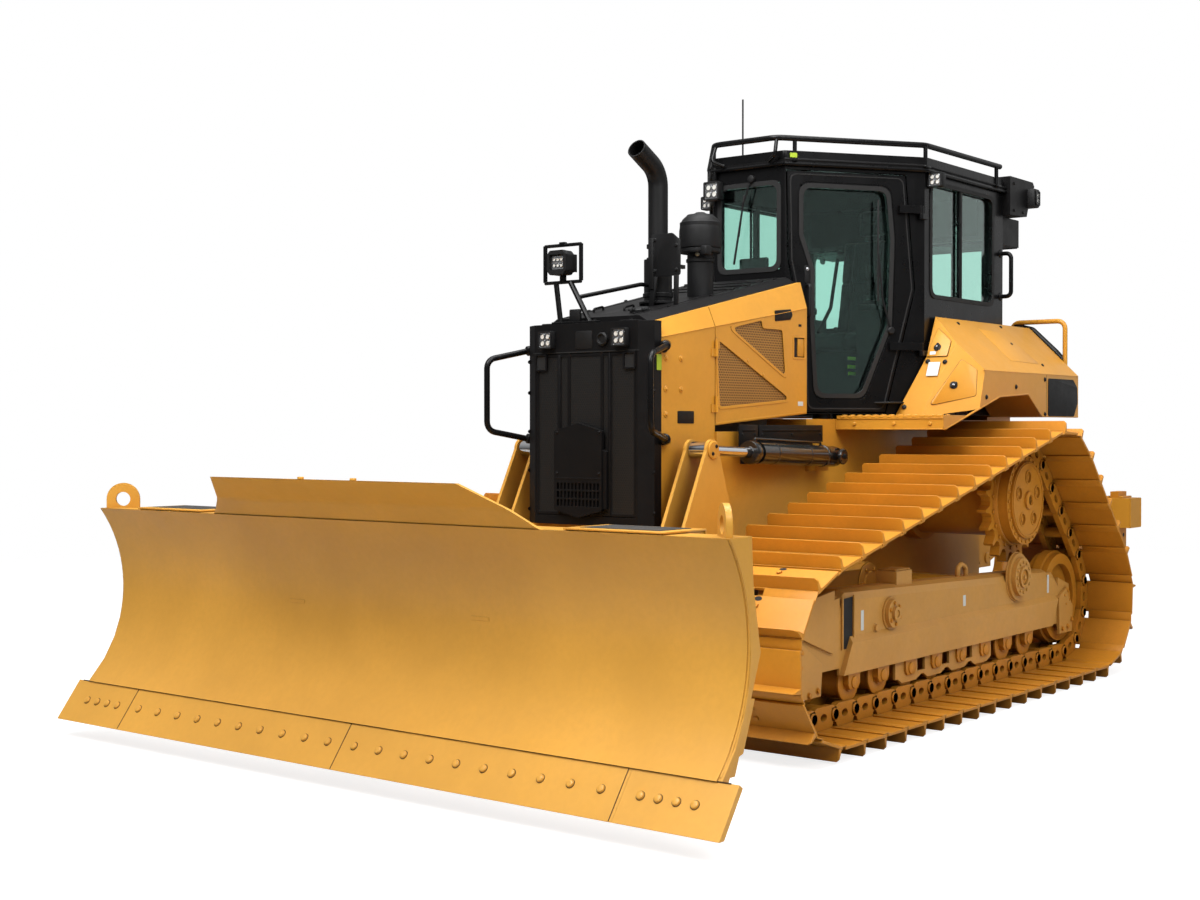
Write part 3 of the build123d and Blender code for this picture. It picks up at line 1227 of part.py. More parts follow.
def ball_form(radius):
    """Ball turned about the upright axis, with a straight band and two cones."""
    r = radius
    half = [(0, 0), (r, 0), (r, 0.38 * r), (0.80 * r, 0.72 * r), (0.42 * r, 0.94 * r), (0, 0.94 * r)]
    ring = Polygon(*(half + [(x, -z) for x, z in reversed(half[1:])]), align=None)
    plane = Plane(origin=(BALL_X, 0, BALL_Z), x_dir=(1, 0, 0), z_dir=(0, -1, 0))
    return revolve(plane * ring, Axis((BALL_X, 0, BALL_Z), (0, 0, 1)))


def swivel():
    """Ball and stem that the blade turns on, with the tilt cylinder's mast."""
    ball = ball_form(BALL_RADIUS)
    stem = bar((BALL_X, 0, BALL_Z), (BALL_X + 215, 0, BALL_Z), STEM_RADIUS)
    mast_x = TILT_X - EAR_HALF - EAR_GAP
    mast = block(mast_x - 22, mast_x, -EAR_HALF, EAR_HALF, BALL_Z, TILT_Z + EAR_REACH)
    pin = bar((mast_x - 1, 0, TILT_Z), (TILT_X + EAR_HALF, 0, TILT_Z), PIN_RADIUS)
    return ball + stem + mast + pin


def moldboard_arc():
    """Centre and radius of the blade's front curve."""
    foot = Vector(EDGE_HEEL_X, EDGE_HEEL_Z)
    mid = Vector(MOLD_MID_X, MOLD_MID_Z)
    top = Vector(MOLD_TOP_X, MOLD_CORNER_Z)
    return circle_through(foot, mid, top)


def circle_through(a, b, c):
    d = 2 * (a.X * (b.Y - c.Y) + b.X * (c.Y - a.Y) + c.X * (a.Y - b.Y))
    sa, sb, sc = a.X ** 2 + a.Y ** 2, b.X ** 2 + b.Y ** 2, c.X ** 2 + c.Y ** 2
    ux = (sa * (b.Y - c.Y) + sb * (c.Y - a.Y) + sc * (a.Y - b.Y)) / d
    uy = (sa * (c.X - b.X) + sb * (a.X - c.X) + sc * (b.X - a.X)) / d
    return Vector(ux, uy), math.hypot(a.X - ux, a.Y - uy)


def arc_x(offset, z):
    """X of the blade's curve at a height."""
    centre, r = moldboard_arc()
    return centre.X - math.sqrt(r * r - (z - centre.Y) ** 2) - offset


def moldboard():
    """Curved plate cut to the raised crest and the lower corners."""
    steps = 10
    heights = [between(EDGE_HEEL_Z, MOLD_CENTRE_Z, i / steps) for i in range(steps + 1)]
    front = [(arc_x(0, z), z) for z in heights]
    back = [(arc_x(0, z) - MOLD_THICKNESS, z) for z in reversed(heights)]
    down = Vector(EDGE_TOE_X - EDGE_HEEL_X, EDGE_TOE_Z - EDGE_HEEL_Z).normalized()
    rear = Vector(down.Y, -down.X)
    lap = Vector(EDGE_HEEL_X, EDGE_HEEL_Z) + rear * EDGE_THICKNESS
    toe = lap + down * EDGE_LAP
    heel = toe + rear * MOLD_THICKNESS
    seat = [(heel.X, heel.Y), (toe.X, toe.Y), (lap.X, lap.Y)]
    sheet = side_plate(front + back[:-1] + seat, -MOLD_BOTTOM_HALF, MOLD_BOTTOM_HALF)
    low = EDGE_TOE_Z
    outline = [
        (-MOLD_BOTTOM_HALF, low), (MOLD_BOTTOM_HALF, low), (MOLD_TOP_HALF, MOLD_CORNER_Z),
        (CENTRE_FOOT_HALF, MOLD_CORNER_Z), (CENTRE_SHOULDER_HALF, MOLD_CORNER_Z + 18),
        (CENTRE_TOP_HALF, MOLD_CENTRE_Z + 1), (-CENTRE_TOP_HALF, MOLD_CENTRE_Z + 1),
        (-CENTRE_SHOULDER_HALF, MOLD_CORNER_Z + 18), (-CENTRE_FOOT_HALF, MOLD_CORNER_Z),
        (-MOLD_TOP_HALF, MOLD_CORNER_Z)]
    return sheet & front_plate(outline, MOLD_MID_X - 300, EDGE_TOE_X + 50)


def behind_plate(low, high, steps=5):
    """Points just inside the moldboard's back between two heights, upward."""
    heights = [between(low, high, i / steps) for i in range(steps + 1)]
    return [(arc_x(MOLD_THICKNESS - 1, z), z) for z in heights]


def blade_back():
    """Box beams along the top and foot, and the ribs between them."""
    top_z, low_z = MOLD_CORNER_Z, EDGE_HEEL_Z + 40
    half = MOLD_TOP_HALF - 10
    upper = side_plate(behind_plate(top_z - 190, top_z) + [
        (arc_x(MOLD_THICKNESS, top_z) - STEP_PLATE_DEPTH, top_z),
        (arc_x(MOLD_THICKNESS, top_z - 190) - 60, top_z - 190)], -half, half)
    lower = side_plate(behind_plate(low_z, low_z + 220) + [
        (arc_x(MOLD_THICKNESS, low_z + 220) - 70, low_z + 220),
        (arc_x(MOLD_THICKNESS, low_z) - 120, low_z + 30)], -half, half)
    body = upper + lower
    for y in BLADE_RIBS:
        rib = side_plate(behind_plate(low_z + 200, top_z - 180) + [
            (arc_x(MOLD_THICKNESS, top_z - 180) - 60, top_z - 180),
            (arc_x(MOLD_THICKNESS, low_z + 200) - 60, low_z + 200)], y - 10, y + 10)
        for plate in both(rib):
            body += plate
    return body


def blade():
    """Moldboard, back structure and end plates as one weldment."""
    body = moldboard() + blade_back()
    heights = [between(EDGE_HEEL_Z, MOLD_CORNER_Z, i / 6) for i in range(7)]
    edge = [(arc_x(0, z), z) for z in heights]
    rear = [(arc_x(0, MOLD_CORNER_Z) - MOLD_THICKNESS - 110, MOLD_CORNER_Z),
            (arc_x(0, MOLD_MID_Z) - 80, MOLD_MID_Z), (arc_x(0, EDGE_HEEL_Z) - 110, EDGE_HEEL_Z)]
    for s in (1, -1):
        y = s * (MOLD_TOP_HALF - 9)
        body += side_plate(edge + rear, y - 9, y + 9)
    boss_start = BALL_X + BALL_RADIUS + CUP_WALL + 24
    boss_end = arc_x(0, BALL_Z) - MOLD_THICKNESS + 4
    boss = bar((boss_start, 0, BALL_Z), (boss_end, 0, BALL_Z), BOSS_RADIUS)
    body += boss
    body -= bar((boss_start - 1, 0, BALL_Z), (BALL_X + 220, 0, BALL_Z), STEM_RADIUS + 0.5)
    ear_x = arc_x(0, ANGLE_Z) - MOLD_THICKNESS
    for s in (1, -1):
        y = ANGLE_Y * s
        for z in (ANGLE_Z - ANGLE_EAR_SPREAD - 16, ANGLE_Z + ANGLE_EAR_SPREAD):
            body += block(ANGLE_EYE_X - 45, ear_x + 20, y - 50, y + 50, z, z + 16)
    return body


def edge_segment(y0, y1):
    """Bolted edge plate with a bevelled toe, on the blade's lower front."""
    run = Vector(EDGE_TOE_X - EDGE_HEEL_X, EDGE_TOE_Z - EDGE_HEEL_Z)
    d = run.normalized()
    n = Vector(d.Y, -d.X)
    heel = Vector(EDGE_HEEL_X, EDGE_HEEL_Z)
    toe = Vector(EDGE_TOE_X, EDGE_TOE_Z)
    back = n * EDGE_THICKNESS
    points = [(heel.X, heel.Y), (toe.X, toe.Y), ((toe + back - d * 18).X, (toe + back - d * 18).Y),
              ((heel + back).X, (heel + back).Y)]
    return side_plate(points, y0, y1)


def blade_edges():
    gap = 1.0
    centre = [edge_segment(gap / 2, EDGE_SPLIT_Y), edge_segment(-EDGE_SPLIT_Y, -gap / 2)]
    bits = [edge_segment(EDGE_SPLIT_Y + gap, BIT_TIP_HALF), edge_segment(-BIT_TIP_HALF, -EDGE_SPLIT_Y - gap)]
    add("cutting_edges", *centre, *bits)


def eye_y():
    return MOLD_TOP_HALF - EYE_INSET


def lifting_eyes():
    """Eye plates at 45 degrees on the blade's top corners."""
    eyes = []
    for side in (1, -1):
        x = arc_x(0, MOLD_CORNER_Z) - MOLD_THICKNESS - 60
        plane = Plane(origin=(x, eye_y() * side, MOLD_CORNER_Z + EYE_RADIUS * 0.55),
                      x_dir=(math.sqrt(0.5), side * math.sqrt(0.5), 0),
                      z_dir=(math.sqrt(0.5), -side * math.sqrt(0.5), 0))
        up = 1 if plane.y_dir.Z > 0 else -1
        drop = EYE_RADIUS * 0.55
        face = Circle(EYE_RADIUS) + Pos(0, -up * drop / 2) * Rectangle(2 * EYE_RADIUS, drop)
        face -= Circle(EYE_HOLE)
        solid = extrude(plane * face, EYE_PLATE / 2, both=True)
        eyes.append(solid - block(x - 200, x + 200, eye_y() * side - 200, eye_y() * side + 200,
                                  MOLD_CORNER_Z - 100, MOLD_CORNER_Z))
    return eyes


# Ripper

def ripper_eye():
    """Where the ripper cylinders take hold of the beam, in X and Z."""
    x, z = ripper_rear(RIPPER_LOW_Z)
    return x + 60, z + 60


def ripper_rear(z0):
    angle = math.radians(RIPPER_REST_ANGLE)
    return (RIPPER_PIVOT_X - RIPPER_LINK_LENGTH * math.cos(angle),
            z0 + RIPPER_LINK_LENGTH * math.sin(angle))


def ripper_link(z0, inner_y, tube_share):
    """Pair of arms with eyes at both ends, joined by a cross tube."""
    x1, z1 = ripper_rear(z0)
    out = None
    for s in (1, -1):
        y = s * inner_y
        half = RIPPER_ARM_WIDTH / 2
        run = Vector(x1 - RIPPER_PIVOT_X, z1 - z0)
        n = Vector(-run.Y, run.X).normalized() * (RIPPER_ARM_HEIGHT / 2)
        a, b = Vector(RIPPER_PIVOT_X, z0), Vector(x1, z1)
        arm = side_plate([((a + n).X, (a + n).Y), ((b + n).X, (b + n).Y), ((b - n).X, (b - n).Y),
                          ((a - n).X, (a - n).Y)], y - half, y + half)
        arm += lateral(RIPPER_PIVOT_X, z0, y - half, y + half, RIPPER_ARM_HEIGHT / 2)
        arm += lateral(x1, z1, y - half, y + half, RIPPER_ARM_HEIGHT / 2)
        arm -= lateral(RIPPER_PIVOT_X, z0, y - half - 1, y + half + 1, PIN_RADIUS + 0.5)
        arm -= lateral(x1, z1, y - half - 1, y + half + 1, PIN_RADIUS + 0.5)
        out = arm if out is None else out + arm
    mid_x, mid_z = between(RIPPER_PIVOT_X, x1, tube_share), between(z0, z1, tube_share)
    return out + lateral(mid_x, mid_z, -inner_y, inner_y, 40)


def ripper_bracket():
    """Frame on the back of the case with the ripper's fixed pins."""
    half = RIPPER_ARM_WIDTH / 2
    body = block(HULL_REAR_X - 60, HULL_REAR_X, -400, 400, 560, 1460)
    for s in (1, -1):
        for y in (RIPPER_ARM_Y - half - EAR_GAP - 20, RIPPER_ARM_Y + half + EAR_GAP):
            low = y if s > 0 else -y - 20
            body += block(RIPPER_PIVOT_X - 60, HULL_REAR_X, low, low + 20, 580, 1120)
        y0, y1 = RIPPER_ARM_Y - half - EAR_GAP - 20, RIPPER_ARM_Y + half + EAR_GAP + 20
        for z in (RIPPER_LOW_Z, RIPPER_LOW_Z + RIPPER_LINK_RISE):
            body += lateral(RIPPER_PIVOT_X, z, y0 * s, y1 * s, PIN_RADIUS)
        for y in (RIPPER_CYL_Y - EAR_HALF - EAR_GAP - 16, RIPPER_CYL_Y + EAR_HALF + EAR_GAP):
            low = y if s > 0 else -y - 16
            body += block(RIPPER_TOP_X - EAR_REACH, HULL_REAR_X, low, low + 16, RIPPER_TOP_Z - EAR_REACH,
                          RIPPER_TOP_Z + 60)
        reach = EAR_HALF + EAR_GAP + 16
        body += lateral(RIPPER_TOP_X, RIPPER_TOP_Z, (RIPPER_CYL_Y - reach) * s, (RIPPER_CYL_Y + reach) * s,
                        PIN_RADIUS)
    return body


def ripper_beam():
    """Cross beam with its lugs, and the three shanks through it."""
    x, z = ripper_rear(RIPPER_LOW_Z)
    half = RIPPER_ARM_WIDTH / 2
    x0 = x - RIPPER_ARM_HEIGHT / 2 - 20
    beam = block(x0 - BEAM_DEPTH, x0, -BEAM_HALF_LENGTH, BEAM_HALF_LENGTH, z - BEAM_HEIGHT / 2, z + BEAM_HEIGHT / 2)
    for s in (1, -1):
        for y in (RIPPER_ARM_Y - half - EAR_GAP - 20, RIPPER_ARM_Y + half + EAR_GAP):
            low = y if s > 0 else -y - 20
            beam += block(x0 - BEAM_DEPTH, x + 60, low, low + 20, z - 70, z + RIPPER_LINK_RISE + 60)
        y0, y1 = RIPPER_ARM_Y - half - EAR_GAP - 20, RIPPER_ARM_Y + half + EAR_GAP + 20
        for pin_z in (z, z + RIPPER_LINK_RISE):
            beam += lateral(x, pin_z, y0 * s, y1 * s, PIN_RADIUS)
    eye_x, eye_z = ripper_eye()
    for s in (1, -1):
        for y in (RIPPER_CYL_Y - EAR_HALF - EAR_GAP - 16, RIPPER_CYL_Y + EAR_HALF + EAR_GAP):
            low = y if s > 0 else -y - 16
            beam += block(x0 - 10, eye_x + EAR_REACH, low, low + 16, eye_z - EAR_REACH, eye_z + EAR_REACH)
    shanks = []
    mid = x0 - BEAM_DEPTH / 2
    for y in (-SHANK_Y, 0, SHANK_Y):
        half_x, half_y = SHANK_DEPTH / 2 + SEAT_GAP, SHANK_WIDTH / 2 + SEAT_GAP
        cut = block(mid - half_x, mid + half_x, y - half_y, y + half_y, z - 200, z + 200)
        beam -= cut
        hd = SHANK_DEPTH / 2
        shank = side_plate([
            (mid - hd, z + 150), (mid - hd, z - 260), (mid - hd + 60, SHANK_BOTTOM_Z + 90),
            (mid + 190, SHANK_BOTTOM_Z), (mid + 130, SHANK_BOTTOM_Z + 120), (mid + hd, z - 180),
            (mid + hd, z + 150)], y - SHANK_WIDTH / 2, y + SHANK_WIDTH / 2)
        shanks.append(shank)
    return beam, shanks


def build_blade():
    add("c_frame", c_frame())
    add("blade_swivel", swivel())
    add("blade", blade())
    blade_edges()
    add("lifting_eyes", *lifting_eyes())


def build_ripper():
    add("ripper_bracket", ripper_bracket())
    add("ripper_lower_link", ripper_link(RIPPER_LOW_Z, RIPPER_ARM_Y, 0.35))
    add("ripper_upper_link", ripper_link(RIPPER_LOW_Z + RIPPER_LINK_RISE, RIPPER_ARM_Y, 0.14))
    beam, shanks = ripper_beam()
    add("ripper_beam", beam)
    add("ripper_shanks", *shanks)


def build():
    undercarriage()
    build_front()
    engine_doors()
    nose_details()
    add("cab_frame", cab_frame())
    add("cab_roof", cab_roof())
    add("cab_glass", *cab_glass())
    cab_doors()
    cab_inside()
    roof_gear()
    rear_body()
    build_cylinders()
    build_blade()
    build_ripper()


def export():
    """Shift to the middle of the overall length and write every node."""
    low = min(s.bounding_box().min.X for solids in parts.values() for s in solids)
    high = max(s.bounding_box().max.X for solids in parts.values() for s in solids)
    shift = -(low + high) / 2
    print("shift", round(shift, 3), "length", round(high - low, 1), "nodes", len(parts))
    for name, solids in parts.items():
        moved = [Pos(shift, 0, 0) * s for s in solids]
        shape = moved[0] if len(moved) == 1 else Compound(children=moved)
        export_step(shape, "parts/" + name + ".step")


build()
export()
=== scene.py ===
import bpy
import bmesh
import json
import math
from mathutils import Matrix, Vector
from mathutils.geometry import tessellate_polygon


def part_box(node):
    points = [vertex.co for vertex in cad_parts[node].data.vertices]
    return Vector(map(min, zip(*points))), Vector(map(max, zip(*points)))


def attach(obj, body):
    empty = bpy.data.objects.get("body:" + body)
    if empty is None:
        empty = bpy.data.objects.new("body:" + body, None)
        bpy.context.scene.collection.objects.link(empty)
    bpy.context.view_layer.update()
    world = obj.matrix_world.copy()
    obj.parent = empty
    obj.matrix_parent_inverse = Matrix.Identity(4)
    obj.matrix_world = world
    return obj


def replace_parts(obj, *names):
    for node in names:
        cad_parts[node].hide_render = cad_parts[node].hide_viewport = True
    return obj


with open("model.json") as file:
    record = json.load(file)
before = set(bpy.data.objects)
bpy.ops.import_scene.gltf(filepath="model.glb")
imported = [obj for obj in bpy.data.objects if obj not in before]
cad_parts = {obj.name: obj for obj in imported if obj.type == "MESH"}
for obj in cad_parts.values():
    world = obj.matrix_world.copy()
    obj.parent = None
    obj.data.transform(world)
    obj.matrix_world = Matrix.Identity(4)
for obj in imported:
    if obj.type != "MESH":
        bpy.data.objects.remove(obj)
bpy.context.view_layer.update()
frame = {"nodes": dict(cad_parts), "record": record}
NODES = frame["nodes"]

# The machine is laid out from the middle of the track's ground contact.
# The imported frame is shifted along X, and the engine block shows by how much.
ENGINE_MIDDLE_X = 0.8
SHIFT = (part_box("engine")[0][0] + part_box("engine")[1][0]) / 2 - ENGINE_MIDDLE_X
SIDES = (("left", 1), ("right", -1))
AHEAD, BACK, LEFT, UP = (1, 0, 0), (-1, 0, 0), (0, 1, 0), (0, 0, 1)


# Materials

def new_material(name):
    """An empty material with its node tree and its main shader."""
    material = bpy.data.materials.new(name)
    material.use_nodes = True
    tree = material.node_tree
    shader = next(n for n in tree.nodes if n.type == "BSDF_PRINCIPLED")
    return material, tree, shader


def set_inputs(node, values):
    """Sets a node's unlinked inputs."""
    for name, value in values.items():
        node.inputs[name].default_value = value


def add_node(tree, kind, links=None, **values):
    """A node with its sockets set by name and its inputs linked."""
    node = tree.nodes.new(kind)
    for key, value in values.items():
        if hasattr(node, key):
            setattr(node, key, value)
        else:
            node.inputs[key.replace("_", " ")].default_value = value
    for socket, source in (links or {}).items():
        tree.links.new(source, node.inputs[socket])
    return node


def noise(tree, scale, detail=3.0, rough=0.55):
    """Cloudy noise in the object's own coordinates."""
    coords = add_node(tree, "ShaderNodeTexCoord")
    node = add_node(tree, "ShaderNodeTexNoise", {"Vector": coords.outputs["Object"]})
    set_inputs(node, {"Scale": scale, "Detail": detail, "Roughness": rough})
    return node.outputs["Fac"]


def ramp(tree, source, low, high, out_low=0.0, out_high=1.0):
    """Maps a value from one range to another and keeps it there."""
    node = tree.nodes.new("ShaderNodeMapRange")
    tree.links.new(source, node.inputs[0])
    for index, value in enumerate((low, high, out_low, out_high)):
        node.inputs[index + 1].default_value = value
    return node.outputs[0]


def math_node(tree, operation, a, b):
    """One operation on two values or sockets."""
    node = tree.nodes.new("ShaderNodeMath")
    node.operation = operation
    for index, value in enumerate((a, b)):
        if isinstance(value, (int, float)):
            node.inputs[index].default_value = value
        else:
            tree.links.new(value, node.inputs[index])
    return node.outputs[0]


def mix_colour(tree, factor, a, b):
    """Blends two colours, values or sockets, by a factor."""
    node = tree.nodes.new("ShaderNodeMix")
    node.data_type = "RGBA"
    for socket, value in ((node.inputs[0], factor), (node.inputs[6], a), (node.inputs[7], b)):
        if isinstance(value, (int, float)):
            socket.default_value = value
        elif isinstance(value, tuple):
            socket.default_value = (*value, 1.0)
        else:
            tree.links.new(value, socket)
    return node.outputs[2]


def scaled(colour, k):
    """A colour made brighter or darker."""
    return tuple(c * k for c in colour)


EDGE_RADIUS = 0.0025


def finish_material(name, colour, rough=0.4, metal=0.0, vary=0.07, grain=None, wear=None, dust=0.0,
                    coat=0.0, rough_vary=0.06, specular=0.5, recess_shade=0.0):
    """Paint, metal or plastic with uneven colour, roughness, worn edges, dust, painted shade in its recesses
    and a fine bump.
    """
    material, tree, shader = new_material(name)
    broad = ramp(tree, noise(tree, 2.2, 4.0), 0.3, 0.7)
    tint = mix_colour(tree, broad, scaled(colour, 1 - vary), scaled(colour, 1 + vary))
    fine = ramp(tree, noise(tree, 38.0, 3.0), 0.35, 0.75)
    tint = mix_colour(tree, math_node(tree, "MULTIPLY", fine, 0.35), tint, scaled(colour, 1 - 1.6 * vary))
    roughness = ramp(tree, noise(tree, 9.0, 5.0, 0.65), 0.3, 0.7, rough - rough_vary, rough + rough_vary)
    soft = add_node(tree, "ShaderNodeBevel", samples=4)
    set_inputs(soft, {"Radius": EDGE_RADIUS})
    if wear:
        edge = add_node(tree, "ShaderNodeBevel", samples=4)
        set_inputs(edge, {"Radius": EDGE_RADIUS * 2.2})
        geometry = add_node(tree, "ShaderNodeNewGeometry")
        dot = tree.nodes.new("ShaderNodeVectorMath")
        dot.operation = "DOT_PRODUCT"
        tree.links.new(edge.outputs[0], dot.inputs[0])
        tree.links.new(geometry.outputs["True Normal"], dot.inputs[1])
        rim = ramp(tree, dot.outputs["Value"], 0.995, 0.9)
        broken = ramp(tree, noise(tree, 55.0, 4.0, 0.7), 0.5, 0.66)
        mask = math_node(tree, "MULTIPLY", math_node(tree, "MULTIPLY", rim, broken), wear[1])
        tint = mix_colour(tree, mask, tint, wear[0])
    if dust:
        geometry = add_node(tree, "ShaderNodeNewGeometry")
        split = add_node(tree, "ShaderNodeSeparateXYZ", {0: geometry.outputs["Normal"]})
        up = ramp(tree, split.outputs["Z"], 0.2, 0.95)
        cloud = ramp(tree, noise(tree, 6.0, 5.0, 0.7), 0.35, 0.75)
        mask = math_node(tree, "MULTIPLY", math_node(tree, "MULTIPLY", up, cloud), dust)
        tint = mix_colour(tree, mask, tint, (0.42, 0.34, 0.24))
        roughness = math_node(tree, "ADD", roughness, math_node(tree, "MULTIPLY", mask, 0.35))
    # Painted shade: where ambient occlusion finds surfaces close by, in corners, recesses and under parts,
    # the colour is darkened towards a tenth of itself.
    if recess_shade:
        recess_occlusion = add_node(tree, "ShaderNodeAmbientOcclusion", samples=4)
        set_inputs(recess_occlusion, {"Distance": 0.45})
        mask = math_node(tree, "MULTIPLY", ramp(tree, recess_occlusion.outputs["AO"], 0.15, 0.8, 1.0, 0.0), recess_shade)
        tint = mix_colour(tree, mask, tint, scaled(colour, 0.1))
    tree.links.new(tint, shader.inputs["Base Color"])
    tree.links.new(roughness, shader.inputs["Roughness"])
    set_inputs(shader, {"Metallic": metal, "Specular IOR Level": specular})
    if coat:
        set_inputs(shader, {"Coat Weight": coat, "Coat Roughness": 0.12})
    if grain:
        bump = add_node(tree, "ShaderNodeBump", {"Height": noise(tree, grain[0], 3.0)})
        set_inputs(bump, {"Strength": grain[1], "Distance": grain[2] if len(grain) > 2 else 0.001})
        tree.links.new(soft.outputs[0], bump.inputs["Normal"])
        tree.links.new(bump.outputs[0], shader.inputs["Normal"])
    else:
        tree.links.new(soft.outputs[0], shader.inputs["Normal"])
    return material


def mesh_sheet(name, colour, hole, pitch):
    """Perforated sheet metal: rows of round holes, every other row moved by half. The holes are not cut: they
    are painted in the dark hole colour as painted shade behind the sheet, and pressed in by a bump.
    """
    material, tree, shader = new_material(name)
    coords = add_node(tree, "ShaderNodeTexCoord")
    split = add_node(tree, "ShaderNodeSeparateXYZ", {0: coords.outputs["Object"]})
    side = math_node(tree, "ADD", split.outputs["X"], split.outputs["Y"])
    cell = add_node(tree, "ShaderNodeCombineXYZ", {0: side, 1: split.outputs["Z"]})
    holes = None
    for shift in (0.0, 0.5):
        moved = add_node(tree, "ShaderNodeMapping", {"Vector": cell.outputs[0]})
        set_inputs(moved, {"Scale": (1 / pitch, 1 / (pitch * 1.732), 1.0), "Location": (shift, shift, 0.0)})
        wrap = tree.nodes.new("ShaderNodeVectorMath")
        wrap.operation = "FRACTION"
        tree.links.new(moved.outputs[0], wrap.inputs[0])
        centre = add_node(tree, "ShaderNodeMapping", {"Vector": wrap.outputs[0]})
        set_inputs(centre, {"Location": (-0.5, -0.5 * 1.732, 0.0), "Scale": (1.0, 1.732, 0.0)})
        length = tree.nodes.new("ShaderNodeVectorMath")
        length.operation = "LENGTH"
        tree.links.new(centre.outputs[0], length.inputs[0])
        spot = ramp(tree, length.outputs["Value"], 0.3, 0.38, 1.0, 0.0)
        holes = spot if holes is None else math_node(tree, "MAXIMUM", holes, spot)
    broad = ramp(tree, noise(tree, 3.0, 3.0), 0.3, 0.7)
    tint = mix_colour(tree, broad, scaled(colour, 0.93), scaled(colour, 1.06))
    # Painted shade: the holes take the dark hole colour, for the shade seen through them.
    tree.links.new(mix_colour(tree, holes, tint, hole), shader.inputs["Base Color"])
    set_inputs(shader, {"Roughness": 0.5})
    bump = add_node(tree, "ShaderNodeBump", {"Height": math_node(tree, "SUBTRACT", 1.0, holes)})
    set_inputs(bump, {"Strength": 0.35, "Distance": 0.001})
    tree.links.new(bump.outputs[0], shader.inputs["Normal"])
    return material


def glass_material(name, tint, rough=0.01):
    """Clear tinted glass with a faint smear."""
    material, tree, shader = new_material(name)
    smear = ramp(tree, noise(tree, 4.0, 5.0, 0.7), 0.4, 0.8, rough, rough + 0.03)
    tree.links.new(smear, shader.inputs["Roughness"])
    shade = mix_colour(tree, ramp(tree, noise(tree, 1.3, 2.0), 0.3, 0.7), scaled(tint, 0.97), tint)
    tree.links.new(shade, shader.inputs["Base Color"])
    set_inputs(shader, {"Transmission Weight": 1.0, "IOR": 1.45})
    return material


def fabric_material(name, colour):
    """Woven cloth with a sheen: two crossed waves make the threads."""
    material, tree, shader = new_material(name)
    coords = add_node(tree, "ShaderNodeTexCoord")
    threads = None
    for direction in ("X", "Z"):
        wave = add_node(tree, "ShaderNodeTexWave", {"Vector": coords.outputs["Object"]},
                        bands_direction=direction)
        set_inputs(wave, {"Scale": 160.0, "Distortion": 0.6})
        threads = wave.outputs["Fac"] if threads is None else math_node(tree, "MULTIPLY", threads,
                                                                        wave.outputs["Fac"])
    broad = ramp(tree, noise(tree, 7.0, 4.0), 0.3, 0.7)
    tint = mix_colour(tree, broad, scaled(colour, 0.85), scaled(colour, 1.2))
    tint = mix_colour(tree, math_node(tree, "MULTIPLY", threads, 0.35), tint, scaled(colour, 1.4))
    tree.links.new(tint, shader.inputs["Base Color"])
    set_inputs(shader, {"Roughness": 0.85, "Sheen Weight": 0.08, "Sheen Roughness": 0.5})
    bump = add_node(tree, "ShaderNodeBump", {"Height": threads})
    set_inputs(bump, {"Strength": 0.4, "Distance": 0.0008})
    tree.links.new(bump.outputs[0], shader.inputs["Normal"])
    return material


YELLOW = (0.755, 0.345, 0.036)
DEEP_YELLOW = (0.7, 0.285, 0.022)
TAN_YELLOW = (0.74, 0.37, 0.055)
FRAME_YELLOW = (0.7, 0.355, 0.075)
RUST = (0.2, 0.085, 0.03)
STEEL = (0.42, 0.4, 0.37)

